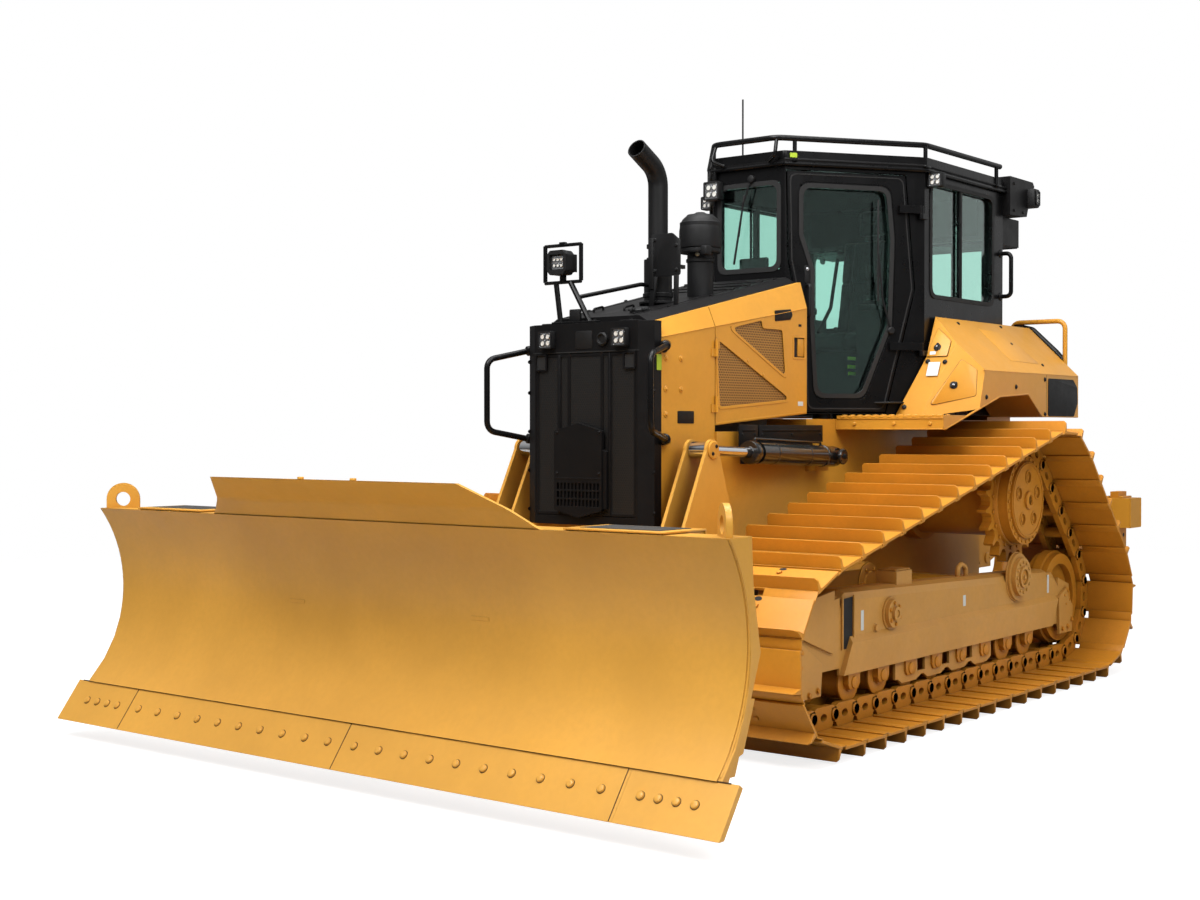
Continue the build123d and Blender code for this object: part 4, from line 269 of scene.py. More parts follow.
MATERIALS = {
    # The four yellows are darkened in their corners and recesses by their last amount: painted shade.
    "machine_yellow": finish_material("machine_yellow", YELLOW, 0.36, grain=(700.0, 0.1),
                                      wear=(DEEP_YELLOW, 0.5), dust=0.02, coat=0.12, specular=0.35,
                                      recess_shade=0.55),
    "blade_yellow": finish_material("blade_yellow", TAN_YELLOW, 0.38, grain=(700.0, 0.1),
                                    wear=(DEEP_YELLOW, 0.5), dust=0.02, coat=0.1, specular=0.35, recess_shade=0.55),
    "frame_yellow": finish_material("frame_yellow", FRAME_YELLOW, 0.44, vary=0.09, grain=(300.0, 0.18),
                                    wear=(RUST, 0.35), dust=0.1, specular=0.35, recess_shade=0.55),
    "track_yellow": finish_material("track_yellow", DEEP_YELLOW, 0.42, vary=0.1, grain=(260.0, 0.2),
                                    wear=(RUST, 0.45), dust=0.04, specular=0.35, recess_shade=0.6),
    "edge_yellow": finish_material("edge_yellow", TAN_YELLOW, 0.4, grain=(420.0, 0.14), wear=(RUST, 0.3)),
    "shank_steel": finish_material("shank_steel", DEEP_YELLOW, 0.45, vary=0.12, grain=(200.0, 0.25),
                                   wear=(STEEL, 0.7)),
    "black_panel": finish_material("black_panel", (0.0055, 0.0052, 0.0055), 0.44, grain=(900.0, 0.12),
                                   wear=((0.04, 0.04, 0.04), 0.25), dust=0.003, specular=0.22),
    "cab_black": finish_material("cab_black", (0.0042, 0.0042, 0.0046), 0.3, grain=(700.0, 0.06),
                                 wear=((0.04, 0.04, 0.04), 0.25), dust=0.002, coat=0.06, specular=0.22),
    "black_plastic": finish_material("black_plastic", (0.0075, 0.0075, 0.008), 0.55, grain=(1300.0, 0.3),
                                     specular=0.35),
    "engine_metal": finish_material("engine_metal", (0.06, 0.06, 0.06), 0.55, grain=(120.0, 0.3)),
    "radiator_metal": finish_material("radiator_metal", (0.03, 0.03, 0.03), 0.5, metal=0.5,
                                      grain=(300.0, 0.3)),
    "exhaust_black": finish_material("exhaust_black", (0.005, 0.005, 0.0054), 0.5, vary=0.15,
                                     grain=(500.0, 0.12), specular=0.35),
    "barrel_black": finish_material("barrel_black", (0.01, 0.01, 0.01), 0.22, grain=(600.0, 0.05),
                                    coat=0.5),
    "rod_chrome": finish_material("rod_chrome", (0.72, 0.73, 0.75), 0.1, metal=1.0, vary=0.02,
                                  rough_vary=0.03, grain=(900.0, 0.03)),
    "cab_window": glass_material("cab_window", (0.6, 0.86, 0.78)),
    "seat_fabric": fabric_material("seat_fabric", (0.014, 0.014, 0.015)),
    "plated_bolt": finish_material("plated_bolt", (0.55, 0.5, 0.38), 0.3, metal=0.9, grain=(300.0, 0.1)),
    "rubber": finish_material("rubber", (0.012, 0.012, 0.012), 0.7, grain=(500.0, 0.25)),
    "grip_patch": finish_material("grip_patch", (0.055, 0.052, 0.048), 0.9, grain=(420.0, 1.0, 0.003)),
    "lamp_lens": glass_material("lamp_lens", (0.93, 0.95, 0.96), 0.04),
    "lamp_silver": finish_material("lamp_silver", (0.75, 0.76, 0.78), 0.22, metal=0.9, grain=(300.0, 0.1)),
    "label_white": finish_material("label_white", (0.75, 0.8, 0.78), 0.35, vary=0.03, grain=(500.0, 0.03)),
    "label_lime": finish_material("label_lime", (0.45, 0.62, 0.03), 0.4, vary=0.04, grain=(500.0, 0.03)),
    "hi_vis": finish_material("hi_vis", (0.3, 0.55, 0.04), 0.75, vary=0.1, grain=(300.0, 0.4)),
    "lamp_glow": finish_material("lamp_glow", (0.8, 0.79, 0.74), 0.25, vary=0.03, grain=(300.0, 0.05)),
    "seam": finish_material("seam", (0.075, 0.035, 0.006), 0.7, vary=0.1, grain=(300.0, 0.1)),
    "lining": finish_material("lining", (0.01, 0.0105, 0.011), 0.97, rough_vary=0.02, specular=0.04,
                              grain=(900.0, 0.25)),
    # The second colour of each mesh is the painted shade in its holes.
    "yellow_mesh": mesh_sheet("yellow_mesh", (0.46, 0.225, 0.045), (0.1, 0.048, 0.012), 0.015),
    "black_mesh": mesh_sheet("black_mesh", (0.0075, 0.007, 0.0065), (0.001, 0.001, 0.001), 0.014),
}

OWN_FINISH = {"blade": "blade_yellow", "lifting_eyes": "blade_yellow", "track_frames": "frame_yellow",
              "c_frame": "blade_yellow"}

for entry in frame["record"]["subparts"]:
    node = NODES[entry["node"]]
    material = MATERIALS[OWN_FINISH.get(entry["node"], entry["material_slot"])]
    node.data.materials.clear()
    node.data.materials.append(material)


# Shapes. Points are in metres in the machine's own layout.

SMOOTH_ANGLE = math.radians(32)


class Shape:
    """Collects many small solids in one mesh, one material for each, or else the shape's own."""

    def __init__(self, material="machine_yellow"):
        self.material = material
        self.points = []
        self.faces = []
        self.marks = []
        self.names = []

    def add(self, form, material=None, at=None):
        """A form is points and faces; at is a Matrix that puts it in place."""
        material = material or self.material
        if material not in self.names:
            self.names.append(material)
        mark = self.names.index(material)
        base = len(self.points)
        points, faces = form
        self.points.extend([tuple(at @ Vector(p)) for p in points] if at else points)
        self.faces.extend([tuple(base + i for i in face) for face in faces])
        self.marks.extend([mark] * len(faces))

    def mirrored(self):
        """The same form on the other side of the machine."""
        other = Shape(self.material)
        other.names = list(self.names)
        other.points = [(x, -y, z) for x, y, z in self.points]
        other.faces = [tuple(reversed(face)) for face in self.faces]
        other.marks = list(self.marks)
        return other

    def joined(self, other):
        """One form with the solids of both."""
        both = Shape(self.material)
        both.names = list(self.names)
        both.points = list(self.points)
        both.faces = list(self.faces)
        both.marks = list(self.marks)
        for name in other.names:
            if name not in both.names:
                both.names.append(name)
        base = len(both.points)
        both.points.extend(other.points)
        both.faces.extend([tuple(base + i for i in face) for face in other.faces])
        both.marks.extend([both.names.index(other.names[m]) for m in other.marks])
        return both

    def both_sides(self):
        """The form with its mirror image."""
        return self.joined(self.mirrored())

    def make(self, name, body, slot):
        """The finished object, riding on its body."""
        mesh = bpy.data.meshes.new(name)
        mesh.from_pydata([(x + SHIFT, y, z) for x, y, z in self.points], [], self.faces)
        for material in self.names:
            mesh.materials.append(MATERIALS[material])
        mesh.polygons.foreach_set("material_index", self.marks)
        mesh.polygons.foreach_set("use_smooth", [True] * len(mesh.polygons))
        mesh.update()
        mesh.set_sharp_from_angle(angle=SMOOTH_ANGLE)
        piece = bpy.data.objects.new(name, mesh)
        bpy.context.scene.collection.objects.link(piece)
        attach(piece, body)
        return piece


def from_bmesh(bm):
    """The points and faces of a bmesh, which is then freed."""
    bm.verts.index_update()
    form = ([tuple(v.co) for v in bm.verts], [tuple(v.index for v in f.verts) for f in bm.faces])
    bm.free()
    return form


def bevelled(bm, width, segments=2):
    """A bmesh's form with its edges cut back."""
    if width:
        bmesh.ops.bevel(bm, geom=list(bm.edges), offset=width, segments=segments, profile=0.5,
                        affect="EDGES", clamp_overlap=True)
    return from_bmesh(bm)


def box(low, high, bevel=0.0):
    """A box between two corners."""
    bm = bmesh.new()
    bmesh.ops.create_cube(bm, size=1.0)
    middle = [(a + b) / 2 for a, b in zip(low, high)]
    size = [abs(b - a) for a, b in zip(low, high)]
    for v in bm.verts:
        v.co = Vector([m + c * s for m, c, s in zip(middle, v.co, size)])
    return bevelled(bm, bevel)


def prism(points, depth, bevel=0.0, segments=2):
    """An outline in local X and Y, as thick as depth along local Z."""
    bm = bmesh.new()
    area = sum(points[i][0] * points[(i + 1) % len(points)][1]
               - points[(i + 1) % len(points)][0] * points[i][1] for i in range(len(points)))
    outline = points if area > 0 else list(reversed(points))
    low = [bm.verts.new((x, y, 0.0)) for x, y in outline]
    high = [bm.verts.new((x, y, depth)) for x, y in outline]
    bm.faces.new(list(reversed(low)))
    bm.faces.new(high)
    for i in range(len(outline)):
        j = (i + 1) % len(outline)
        bm.faces.new((low[i], low[j], high[j], high[i]))
    return bevelled(bm, bevel, segments)


def pierced(outline, holes, depth):
    """A flat plate with holes through it, in local X and Y."""
    loops = [outline] + holes
    flat = [Vector((x, y, 0)) for loop in loops for x, y in loop]
    triangles = tessellate_polygon([[Vector((x, y, 0)) for x, y in loop] for loop in loops])
    count = len(flat)
    points = [(p.x, p.y, 0.0) for p in flat] + [(p.x, p.y, depth) for p in flat]
    faces = []
    for a, b, c in triangles:
        normal = (flat[b] - flat[a]).cross(flat[c] - flat[a]).z
        if normal < 0:
            b, c = c, b
        faces.append((a + count, b + count, c + count))
        faces.append((a, c, b))
    start = 0
    for number, loop in enumerate(loops):
        area = sum(loop[i][0] * loop[(i + 1) % len(loop)][1] - loop[(i + 1) % len(loop)][0] * loop[i][1]
                   for i in range(len(loop)))
        outward = (area > 0) == (number == 0)
        for i in range(len(loop)):
            a, b = start + i, start + (i + 1) % len(loop)
            faces.append((a, b, b + count, a + count) if outward else (b, a, a + count, b + count))
        start += len(loop)
    return points, faces


def rect(x0, y0, x1, y1):
    """A rectangle's four corners, from one corner to the opposite one."""
    return [(x0, y0), (x1, y0), (x1, y1), (x0, y1)]


def turned(profile, sides=24):
    """A profile of radius and height, turned about local Z."""
    points, faces = [], []
    for r, z in profile:
        for k in range(sides):
            a = 2 * math.pi * k / sides
            points.append((r * math.cos(a), r * math.sin(a), z))
    for i in range(len(profile) - 1):
        for k in range(sides):
            n = (k + 1) % sides
            faces.append((i * sides + k, i * sides + n, (i + 1) * sides + n, (i + 1) * sides + k))
    faces.append(tuple(reversed(range(sides))))
    top = (len(profile) - 1) * sides
    faces.append(tuple(range(top, top + sides)))
    return points, faces


def sleeve(profile, bore, sides=24):
    """A turned ring with a hole of the bore's radius along its axis."""
    whole = [(bore, profile[0][1])] + profile + [(bore, profile[-1][1])]
    points, faces = turned(whole + whole[:1], sides)
    return points, faces[:-2]


def disc(radius, height, sides=24, edge=0.0):
    """A round plate, its rim cut back by edge."""
    if not edge:
        return turned([(radius, 0.0), (radius, height)], sides)
    return turned([(radius, 0.0), (radius, height - edge), (radius - edge * 0.4, height - edge * 0.3),
                   (radius - edge, height)], sides)


def facing(at, direction, spin=0.0):
    """Puts local Z along direction, with the origin at a point."""
    z = Vector(direction).normalized()
    turn = z.to_track_quat("Z", "Y").to_matrix().to_4x4()
    return Matrix.Translation(Vector(at)) @ turn @ Matrix.Rotation(spin, 4, "Z")


def axes(at, x, y):
    """Puts local X and Y along two directions."""
    x, y = Vector(x).normalized(), Vector(y).normalized()
    z = x.cross(y)
    m = Matrix((x, y, z)).transposed().to_4x4()
    m.translation = Vector(at)
    return m


def rounded_route(points, radius, steps=5):
    """The route with an arc in each corner."""
    points = [Vector(p) for p in points]
    route = [points[0]]
    for i in range(1, len(points) - 1):
        before, here, after = points[i - 1], points[i], points[i + 1]
        u, v = (before - here), (after - here)
        angle = u.angle(v)
        if angle > math.pi - 0.02:
            route.append(here)
            continue
        reach = min(radius / math.tan(angle / 2), u.length * 0.45, v.length * 0.45)
        u.normalize()
        v.normalize()
        middle = here + (u + v).normalized() * (reach / math.cos(angle / 2))
        first, last = here + u * reach - middle, here + v * reach - middle
        for k in range(steps + 1):
            turn = first.rotation_difference(last)
            part = turn.to_axis_angle()
            route.append(middle + Matrix.Rotation(part[1] * k / steps, 3, part[0]) @ first)
    route.append(points[-1])
    return route


def tube(points, radius, bend=0.0, sides=14):
    """A round bar along a route, closed at its ends."""
    route = rounded_route(points, bend) if bend else [Vector(p) for p in points]
    radii = radius if isinstance(radius, (list, tuple)) else [radius] * len(route)
    out_points, faces = [], []
    up = None
    for i, here in enumerate(route):
        ahead = route[min(i + 1, len(route) - 1)]
        behind = route[max(i - 1, 0)]
        run = (ahead - behind).normalized()
        if up is None:
            up = run.orthogonal().normalized()
        up = (up - run * up.dot(run)).normalized()
        side = run.cross(up)
        for k in range(sides):
            a = 2 * math.pi * k / sides
            out_points.append(tuple(here + (up * math.cos(a) + side * math.sin(a)) * radii[i]))
    for i in range(len(route) - 1):
        for k in range(sides):
            n = (k + 1) % sides
            faces.append((i * sides + k, i * sides + n, (i + 1) * sides + n, (i + 1) * sides + k))
    faces.append(tuple(reversed(range(sides))))
    top = (len(route) - 1) * sides
    faces.append(tuple(range(top, top + sides)))
    return out_points, faces


HEX_HEAD = turned([(1.0, 0.0), (1.0, 0.62), (0.86, 0.72)], 6)
WASHER = turned([(1.32, 0.0), (1.32, 0.1), (1.22, 0.14)], 16)
ROUND_HEAD = turned([(1.0, 0.0), (1.0, 0.3), (0.86, 0.52), (0.55, 0.62)], 14)


def bolt(shape, at, normal, radius, material=None, washer=True, head=HEX_HEAD):
    """A bolt head with its washer, seated on a face."""
    place = facing(at, normal, spin=(at[0] * 31 + at[2] * 17) % 1.0)
    size = Matrix.Scale(radius, 4)
    if washer:
        shape.add(WASHER, material, place @ size)
        place = place @ Matrix.Translation((0, 0, 0.13 * radius))
    shape.add(head, material, place @ size)


def side_at(y):
    """On a side plane: local X runs to the rear, local Y up, local Z outward."""
    return axes((0, y, 0), BACK, UP)


def side_prism(points, y0, y1, bevel=0.0):
    """A prism between two planes across the machine, outlined in X and Z."""
    low, high = min(y0, y1), max(y0, y1)
    form = prism([(-x, z) for x, z in points], high - low, bevel)
    place = side_at(low)
    return [tuple(place @ Vector(p)) for p in form[0]], form[1]


# Track

LINK_PITCH = 0.203
TRACK_Y = 1.054
FRONT_IDLER_X = 1.57
IDLER_PIN_RADIUS = 0.333
SPROCKET_X = -1.045
SPROCKET_Z = 1.095
SPROCKET_PIN_RADIUS = LINK_PITCH / 4 / math.sin(math.pi / 21)
PIN_LINE_Z = 0.06 + 0.063 + 0.014
IDLER_Z = PIN_LINE_Z + IDLER_PIN_RADIUS
REAR_IDLER_X = FRONT_IDLER_X - 16 * LINK_PITCH


def chain_pins():
    """Pin centres, evenly spaced round the three wheels."""
    wheels = [(FRONT_IDLER_X, IDLER_Z, IDLER_PIN_RADIUS), (SPROCKET_X, SPROCKET_Z, SPROCKET_PIN_RADIUS),
              (REAR_IDLER_X, IDLER_Z, IDLER_PIN_RADIUS)]
    leave = []
    for i in range(3):
        a, b = wheels[i], wheels[(i + 1) % 3]
        gap = math.hypot(b[0] - a[0], b[1] - a[1])
        leave.append(math.atan2(b[1] - a[1], b[0] - a[0]) - math.acos((a[2] - b[2]) / gap))
    stretches = []
    for i, (x, z, r) in enumerate(wheels):
        first, last = leave[i - 1], leave[i]
        while last < first:
            last += 2 * math.pi
        stretches.append((r * (last - first), ("arc", x, z, r, first, last)))
        nx, nz, nr = wheels[(i + 1) % 3]
        start = (x + r * math.cos(last), z + r * math.sin(last))
        end = (nx + nr * math.cos(last), nz + nr * math.sin(last))
        stretches.append((math.dist(start, end), ("run", start, end)))
    total = sum(length for length, _ in stretches)
    links = round(total / LINK_PITCH)
    pins = []
    for i in range(links):
        along = total * i / links
        for length, piece in stretches:
            if along <= length:
                break
            along -= length
        share = along / length
        if piece[0] == "arc":
            angle = piece[4] + (piece[5] - piece[4]) * share
            pins.append((piece[1] + piece[3] * math.cos(angle), piece[2] + piece[3] * math.sin(angle)))
        else:
            pins.append(tuple(p + (q - p) * share for p, q in zip(piece[1], piece[2])))
    return pins


def shoe_form():
    """One shoe: plate with lips that reach under the next shoe, its grouser and four bolts."""
    shape = Shape("track_yellow")
    half = 0.381
    plate = [(0.004, 0.063), (0.197, 0.063), (0.201, 0.067), (0.199, 0.077), (0.034, 0.077), (0.022, 0.077),
             (0.004, 0.077)]
    points, faces = prism(plate, 2 * half, 0.0015, 1)
    shape.add(([(x, z - half, y) for x, y, z in points], [tuple(reversed(f)) for f in faces]))
    for y0, y1 in ((-half + 0.001, -0.104), (-0.05, 0.05), (0.104, half - 0.001)):
        shape.add(box((0.188, y0, 0.0565), (0.2455, y1, 0.0625), 0.0008))
    tip = half - 0.013
    outline = [(-half, 0.0), (half, 0.0), (half, 0.047), (tip, 0.06), (-tip, 0.06), (-half, 0.047)]
    bm = bmesh.new()
    front = [bm.verts.new((0.01 + 0.014 * (z / 0.06) * 0.5, y, 0.077 + z)) for y, z in outline]
    back = [bm.verts.new((0.034 - 0.012 * (z / 0.06), y, 0.077 + z)) for y, z in outline]
    bm.faces.new(front)
    bm.faces.new(list(reversed(back)))
    for i in range(len(outline)):
        j = (i + 1) % len(outline)
        bm.faces.new((front[j], front[i], back[i], back[j]))
    bmesh.ops.recalc_face_normals(bm, faces=bm.faces)
    shape.add(bevelled(bm, 0.0012, 1))
    for x in (0.085, 0.15):
        for y in (-0.098, 0.098):
            bolt(shape, (x, y, 0.077), UP, 0.0135, head=HEX_HEAD, washer=False)
    # Painted shade: the mud holes are not cut; a flat black oval on the plate stands in for the shade inside
    # each one.
    for y in (-0.098, 0.098):
        slot = [(0.185 + 0.012 * math.cos(2 * math.pi * k / 12), y + 0.02 * math.sin(2 * math.pi * k / 12))
                for k in range(12)]
        shape.add(([(x, across, 0.0774) for x, across in slot], [tuple(range(12))]), "rubber")
    return shape


def link_form():
    """One link of the chain with its window, pin boss and rail."""
    shape = Shape("track_yellow")
    outline = [(-0.03, -0.02), (-0.016, -0.036), (0.02, -0.046), (0.16, -0.048), (0.19, -0.036),
               (0.228, -0.03), (0.236, 0.0), (0.226, 0.03), (0.19, 0.04), (0.176, 0.062), (0.024, 0.062),
               (0.012, 0.036), (-0.024, 0.026)]
    window = [(0.102 + 0.03 * math.cos(a), 0.006 + 0.019 * math.sin(a)) for a in
              [2 * math.pi * k / 14 for k in range(14)]]
    points, faces = pierced(outline, [window], 0.034)
    shape.add(([(x, z, y) for x, y, z in points], [tuple(reversed(f)) for f in faces]))
    for x in (0.0, LINK_PITCH):
        place = facing((x, 0.034, 0.0), LEFT)
        shape.add(turned([(0.03, 0.0), (0.03, 0.006), (0.025, 0.01)], 18), at=place)
    return shape


def build_track(pins):
    """All shoes, links and bushings, laid pin by pin round the wheels."""
    shoe, link = shoe_form(), link_form()
    track = Shape()
    track.names = ["track_yellow", "rubber"]

    def lay(form, at):
        base = len(track.points)
        track.points.extend([tuple(at @ Vector(p)) for p in form.points])
        track.faces.extend([tuple(base + i for i in face) for face in form.faces])
        track.marks.extend([track.names.index(form.names[m]) for m in form.marks])

    flipped = link.mirrored()
    bushing = turned([(0.033, -0.06), (0.033, 0.06)], 16)
    for i, (x, z) in enumerate(pins):
        nx, nz = pins[(i + 1) % len(pins)]
        along = Vector((nx - x, 0, nz - z)).normalized()
        out = Vector((along.z, 0, -along.x))
        across = out.cross(along)
        at = Matrix((along, across, out)).transposed().to_4x4()
        at.translation = Vector((x, TRACK_Y, z))
        lay(shoe, at)
        lay(link, at @ Matrix.Translation((0, 0.058, 0)))
        lay(flipped, at @ Matrix.Translation((0, -0.058, 0)))
        track.add(bushing, "track_yellow", at @ facing((0, 0, 0), LEFT))
    return track


PINS = chain_pins()
left_track = build_track(PINS)
for name, side in SIDES:
    piece = (left_track if side > 0 else left_track.mirrored()).make("track_shoes_" + name, "chassis",
                                                                     "track_yellow")
    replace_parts(piece, "track_" + name)


# Places on the machine's faces

HOOD_SLOPE = 0.052 / 1.298
HOOD_STRETCH = math.hypot(1.0, HOOD_SLOPE)
DOOR_RUN = Vector((-0.656, 0.477, 0.0)).normalized()
DOOR_OUT = Vector((-DOOR_RUN.y, DOOR_RUN.x, 0.0)) * -1
DOOR_START = Vector((0.147, 0.239, 0.0))
CAB_SIDE_Y = 0.75
FRAME_FACE = 1.15
HUB_FACE = 1.18
FENDER_SIDE = 1.1


def circle(x, y, radius, sides=24):
    """Points round a circle."""
    return [(x + radius * math.cos(2 * math.pi * k / sides), y + radius * math.sin(2 * math.pi * k / sides))
            for k in range(sides)]


def rounded(points, radius, steps=4):
    """A flat outline with its corners rounded off."""
    out = []
    count = len(points)
    for i in range(count):
        before, here, after = (Vector((*points[j % count], 0)) for j in (i - 1, i, i + 1))
        u, v = before - here, after - here
        angle = u.angle(v)
        if angle > math.pi - 0.03:
            out.append((here.x, here.y))
            continue
        reach = min(radius / math.tan(angle / 2), u.length * 0.48, v.length * 0.48)
        a, b = here + u.normalized() * reach, here + v.normalized() * reach
        for k in range(steps + 1):
            t = k / steps
            p = a * (1 - t) ** 2 + here * 2 * t * (1 - t) + b * t ** 2
            out.append((p.x, p.y))
    return out


def grown(points, amount):
    """A flat outline moved outward by an even amount."""
    count = len(points)
    area = sum(points[i][0] * points[(i + 1) % count][1] - points[(i + 1) % count][0] * points[i][1]
               for i in range(count))
    sign = 1 if area > 0 else -1
    out = []
    for i in range(count):
        (ax, ay), (bx, by), (cx, cy) = points[i - 1], points[i], points[(i + 1) % count]
        n1 = Vector((by - ay, ax - bx)).normalized() * sign
        n2 = Vector((cy - by, bx - cx)).normalized() * sign
        half = (n1 + n2)
        out.append((bx + half.x * amount / max(0.2, half.length_squared / 2),
                    by + half.y * amount / max(0.2, half.length_squared / 2)))
    return out


def hood_at(out=0.0):
    """On the hood's side: local X runs to the rear, measured from the middle of the tracks."""
    return axes((0, 0.4 + 1.56 * HOOD_SLOPE + out, 0), (-1, HOOD_SLOPE, 0), UP)


def hood_y(x):
    """How far out the hood's side is at x."""
    return 0.4 + (1.56 - x) * HOOD_SLOPE


def on_hood(points):
    """An outline in X and Z as it lies on the hood's slanted side."""
    return [(-x * HOOD_STRETCH, z) for x, z in points]


def door_at(out=0.0):
    """On the cab door: local X runs to the rear along the door."""
    return axes(DOOR_START + DOOR_OUT * out, DOOR_RUN, UP)


def nose_at(x):
    """On a plane facing forward: local X across, local Y up."""
    return axes((x, 0, 0), LEFT, UP)


def rear_at(x):
    """On a plane facing back: local X across to the right, local Y up."""
    return axes((x, 0, 0), (0, -1, 0), UP)


def flat_side(points):
    """X and Z of the machine as local X and Y of a side plane."""
    return [(-x, z) for x, z in points]


def plate(shape, outline, place, depth, material=None, bevel=0.0, holes=None):
    """A flat sheet on a plane, with holes or with a bevelled edge."""
    if holes:
        shape.add(pierced(outline, holes, depth), material, place)
    else:
        shape.add(prism(outline, depth, bevel), material, place)


def ring(outer, inner, depth, sides=28):
    """A flat ring."""
    return pierced(circle(0, 0, outer, sides), [circle(0, 0, inner, sides)], depth)


def weld(shape, points, radius, material=None):
    """A bead of overlapping beads along a seam."""
    route = []
    for a, b in zip(points, points[1:]):
        a, b = Vector(a), Vector(b)
        steps = max(2, int((b - a).length / 0.022))
        route += [a + (b - a) * k / steps for k in range(steps)]
    route.append(Vector(points[-1]))
    radii = [radius * (1.0 if k % 2 else 0.86) for k in range(len(route))]
    shape.add(tube(route, radii, sides=6), material)


def bolt_ring(shape, x, y, z, radius, count, size, material=None, washer=True, start=0.0):
    """A circle of bolts on a wheel's outer face."""
    for k in range(count):
        a = start + 2 * math.pi * k / count
        bolt(shape, (x + radius * math.cos(a), y, z + radius * math.sin(a)), LEFT, size, material, washer)


# Undercarriage details

def hub_details():
    """Rings, bolts and cover of the sprocket's hub."""
    s = Shape("track_yellow")
    face = facing((SPROCKET_X, 1.158, SPROCKET_Z), LEFT)
    s.add(ring(0.262, 0.226, 0.007, 48), at=face)
    bolt_ring(s, SPROCKET_X, 1.165, SPROCKET_Z, 0.244, 28, 0.0095, washer=False)
    cap = facing((SPROCKET_X, HUB_FACE, SPROCKET_Z), LEFT)
    s.add(turned([(0.052, 0.0), (0.052, 0.012), (0.046, 0.016), (0.03, 0.018), (0.028, 0.01)], 28), at=cap)
    s.add(ring(0.216, 0.206, 0.004, 48), at=cap)
    for k in range(5):
        a = 2 * math.pi * (k + 0.25) / 5
        x, z = SPROCKET_X + 0.135 * math.cos(a), SPROCKET_Z + 0.135 * math.sin(a)
        s.add(ring(0.042, 0.033, 0.004, 24), at=facing((x, HUB_FACE, z), LEFT))
        s.add(disc(0.014, 0.006, 6), at=facing((x, HUB_FACE - 0.008, z), LEFT))
    bolt_ring(s, SPROCKET_X, 1.083, SPROCKET_Z, 0.283, 20, 0.012, washer=False, start=0.1)
    s.add(turned([(0.275, 0.0), (0.268, 0.02), (0.262, 0.024), (0.262, 0.0)], 48),
          at=facing((SPROCKET_X, 1.083, SPROCKET_Z), LEFT))
    return s


ROLLER_XS = [0.99724 + (-1.10524 - 0.99724) * i / 7 for i in range(8)]
ROLLER_Z = 0.185 + 0.0003 + 0.086


def roller_details():
    """Covers and bolts of the track rollers."""
    s = Shape("track_yellow")
    for x in ROLLER_XS:
        place = facing((x, 1.117, ROLLER_Z), LEFT)
        s.add(turned([(0.102, 0.0), (0.102, 0.01), (0.094, 0.014), (0.05, 0.014), (0.046, 0.02)], 28),
              at=place)
        saddle = [(-0.06, -0.006), (-0.056, 0.04), (-0.072, 0.044), (-0.072, 0.066), (0.072, 0.066),
                  (0.072, 0.044), (0.056, 0.04), (0.06, -0.006), (0.04, -0.034), (-0.04, -0.034)]
        plate(s, saddle, side_at(1.131) @ Matrix.Translation((-x, ROLLER_Z, 0)), 0.03, bevel=0.003)
        s.add(disc(0.03, 0.006, 20, 0.002), at=facing((x, 1.161, ROLLER_Z), LEFT))
        for dx in (-0.05, 0.05):
            bolt(s, (x + dx, 1.161, ROLLER_Z + 0.055), LEFT, 0.0085)
    return s


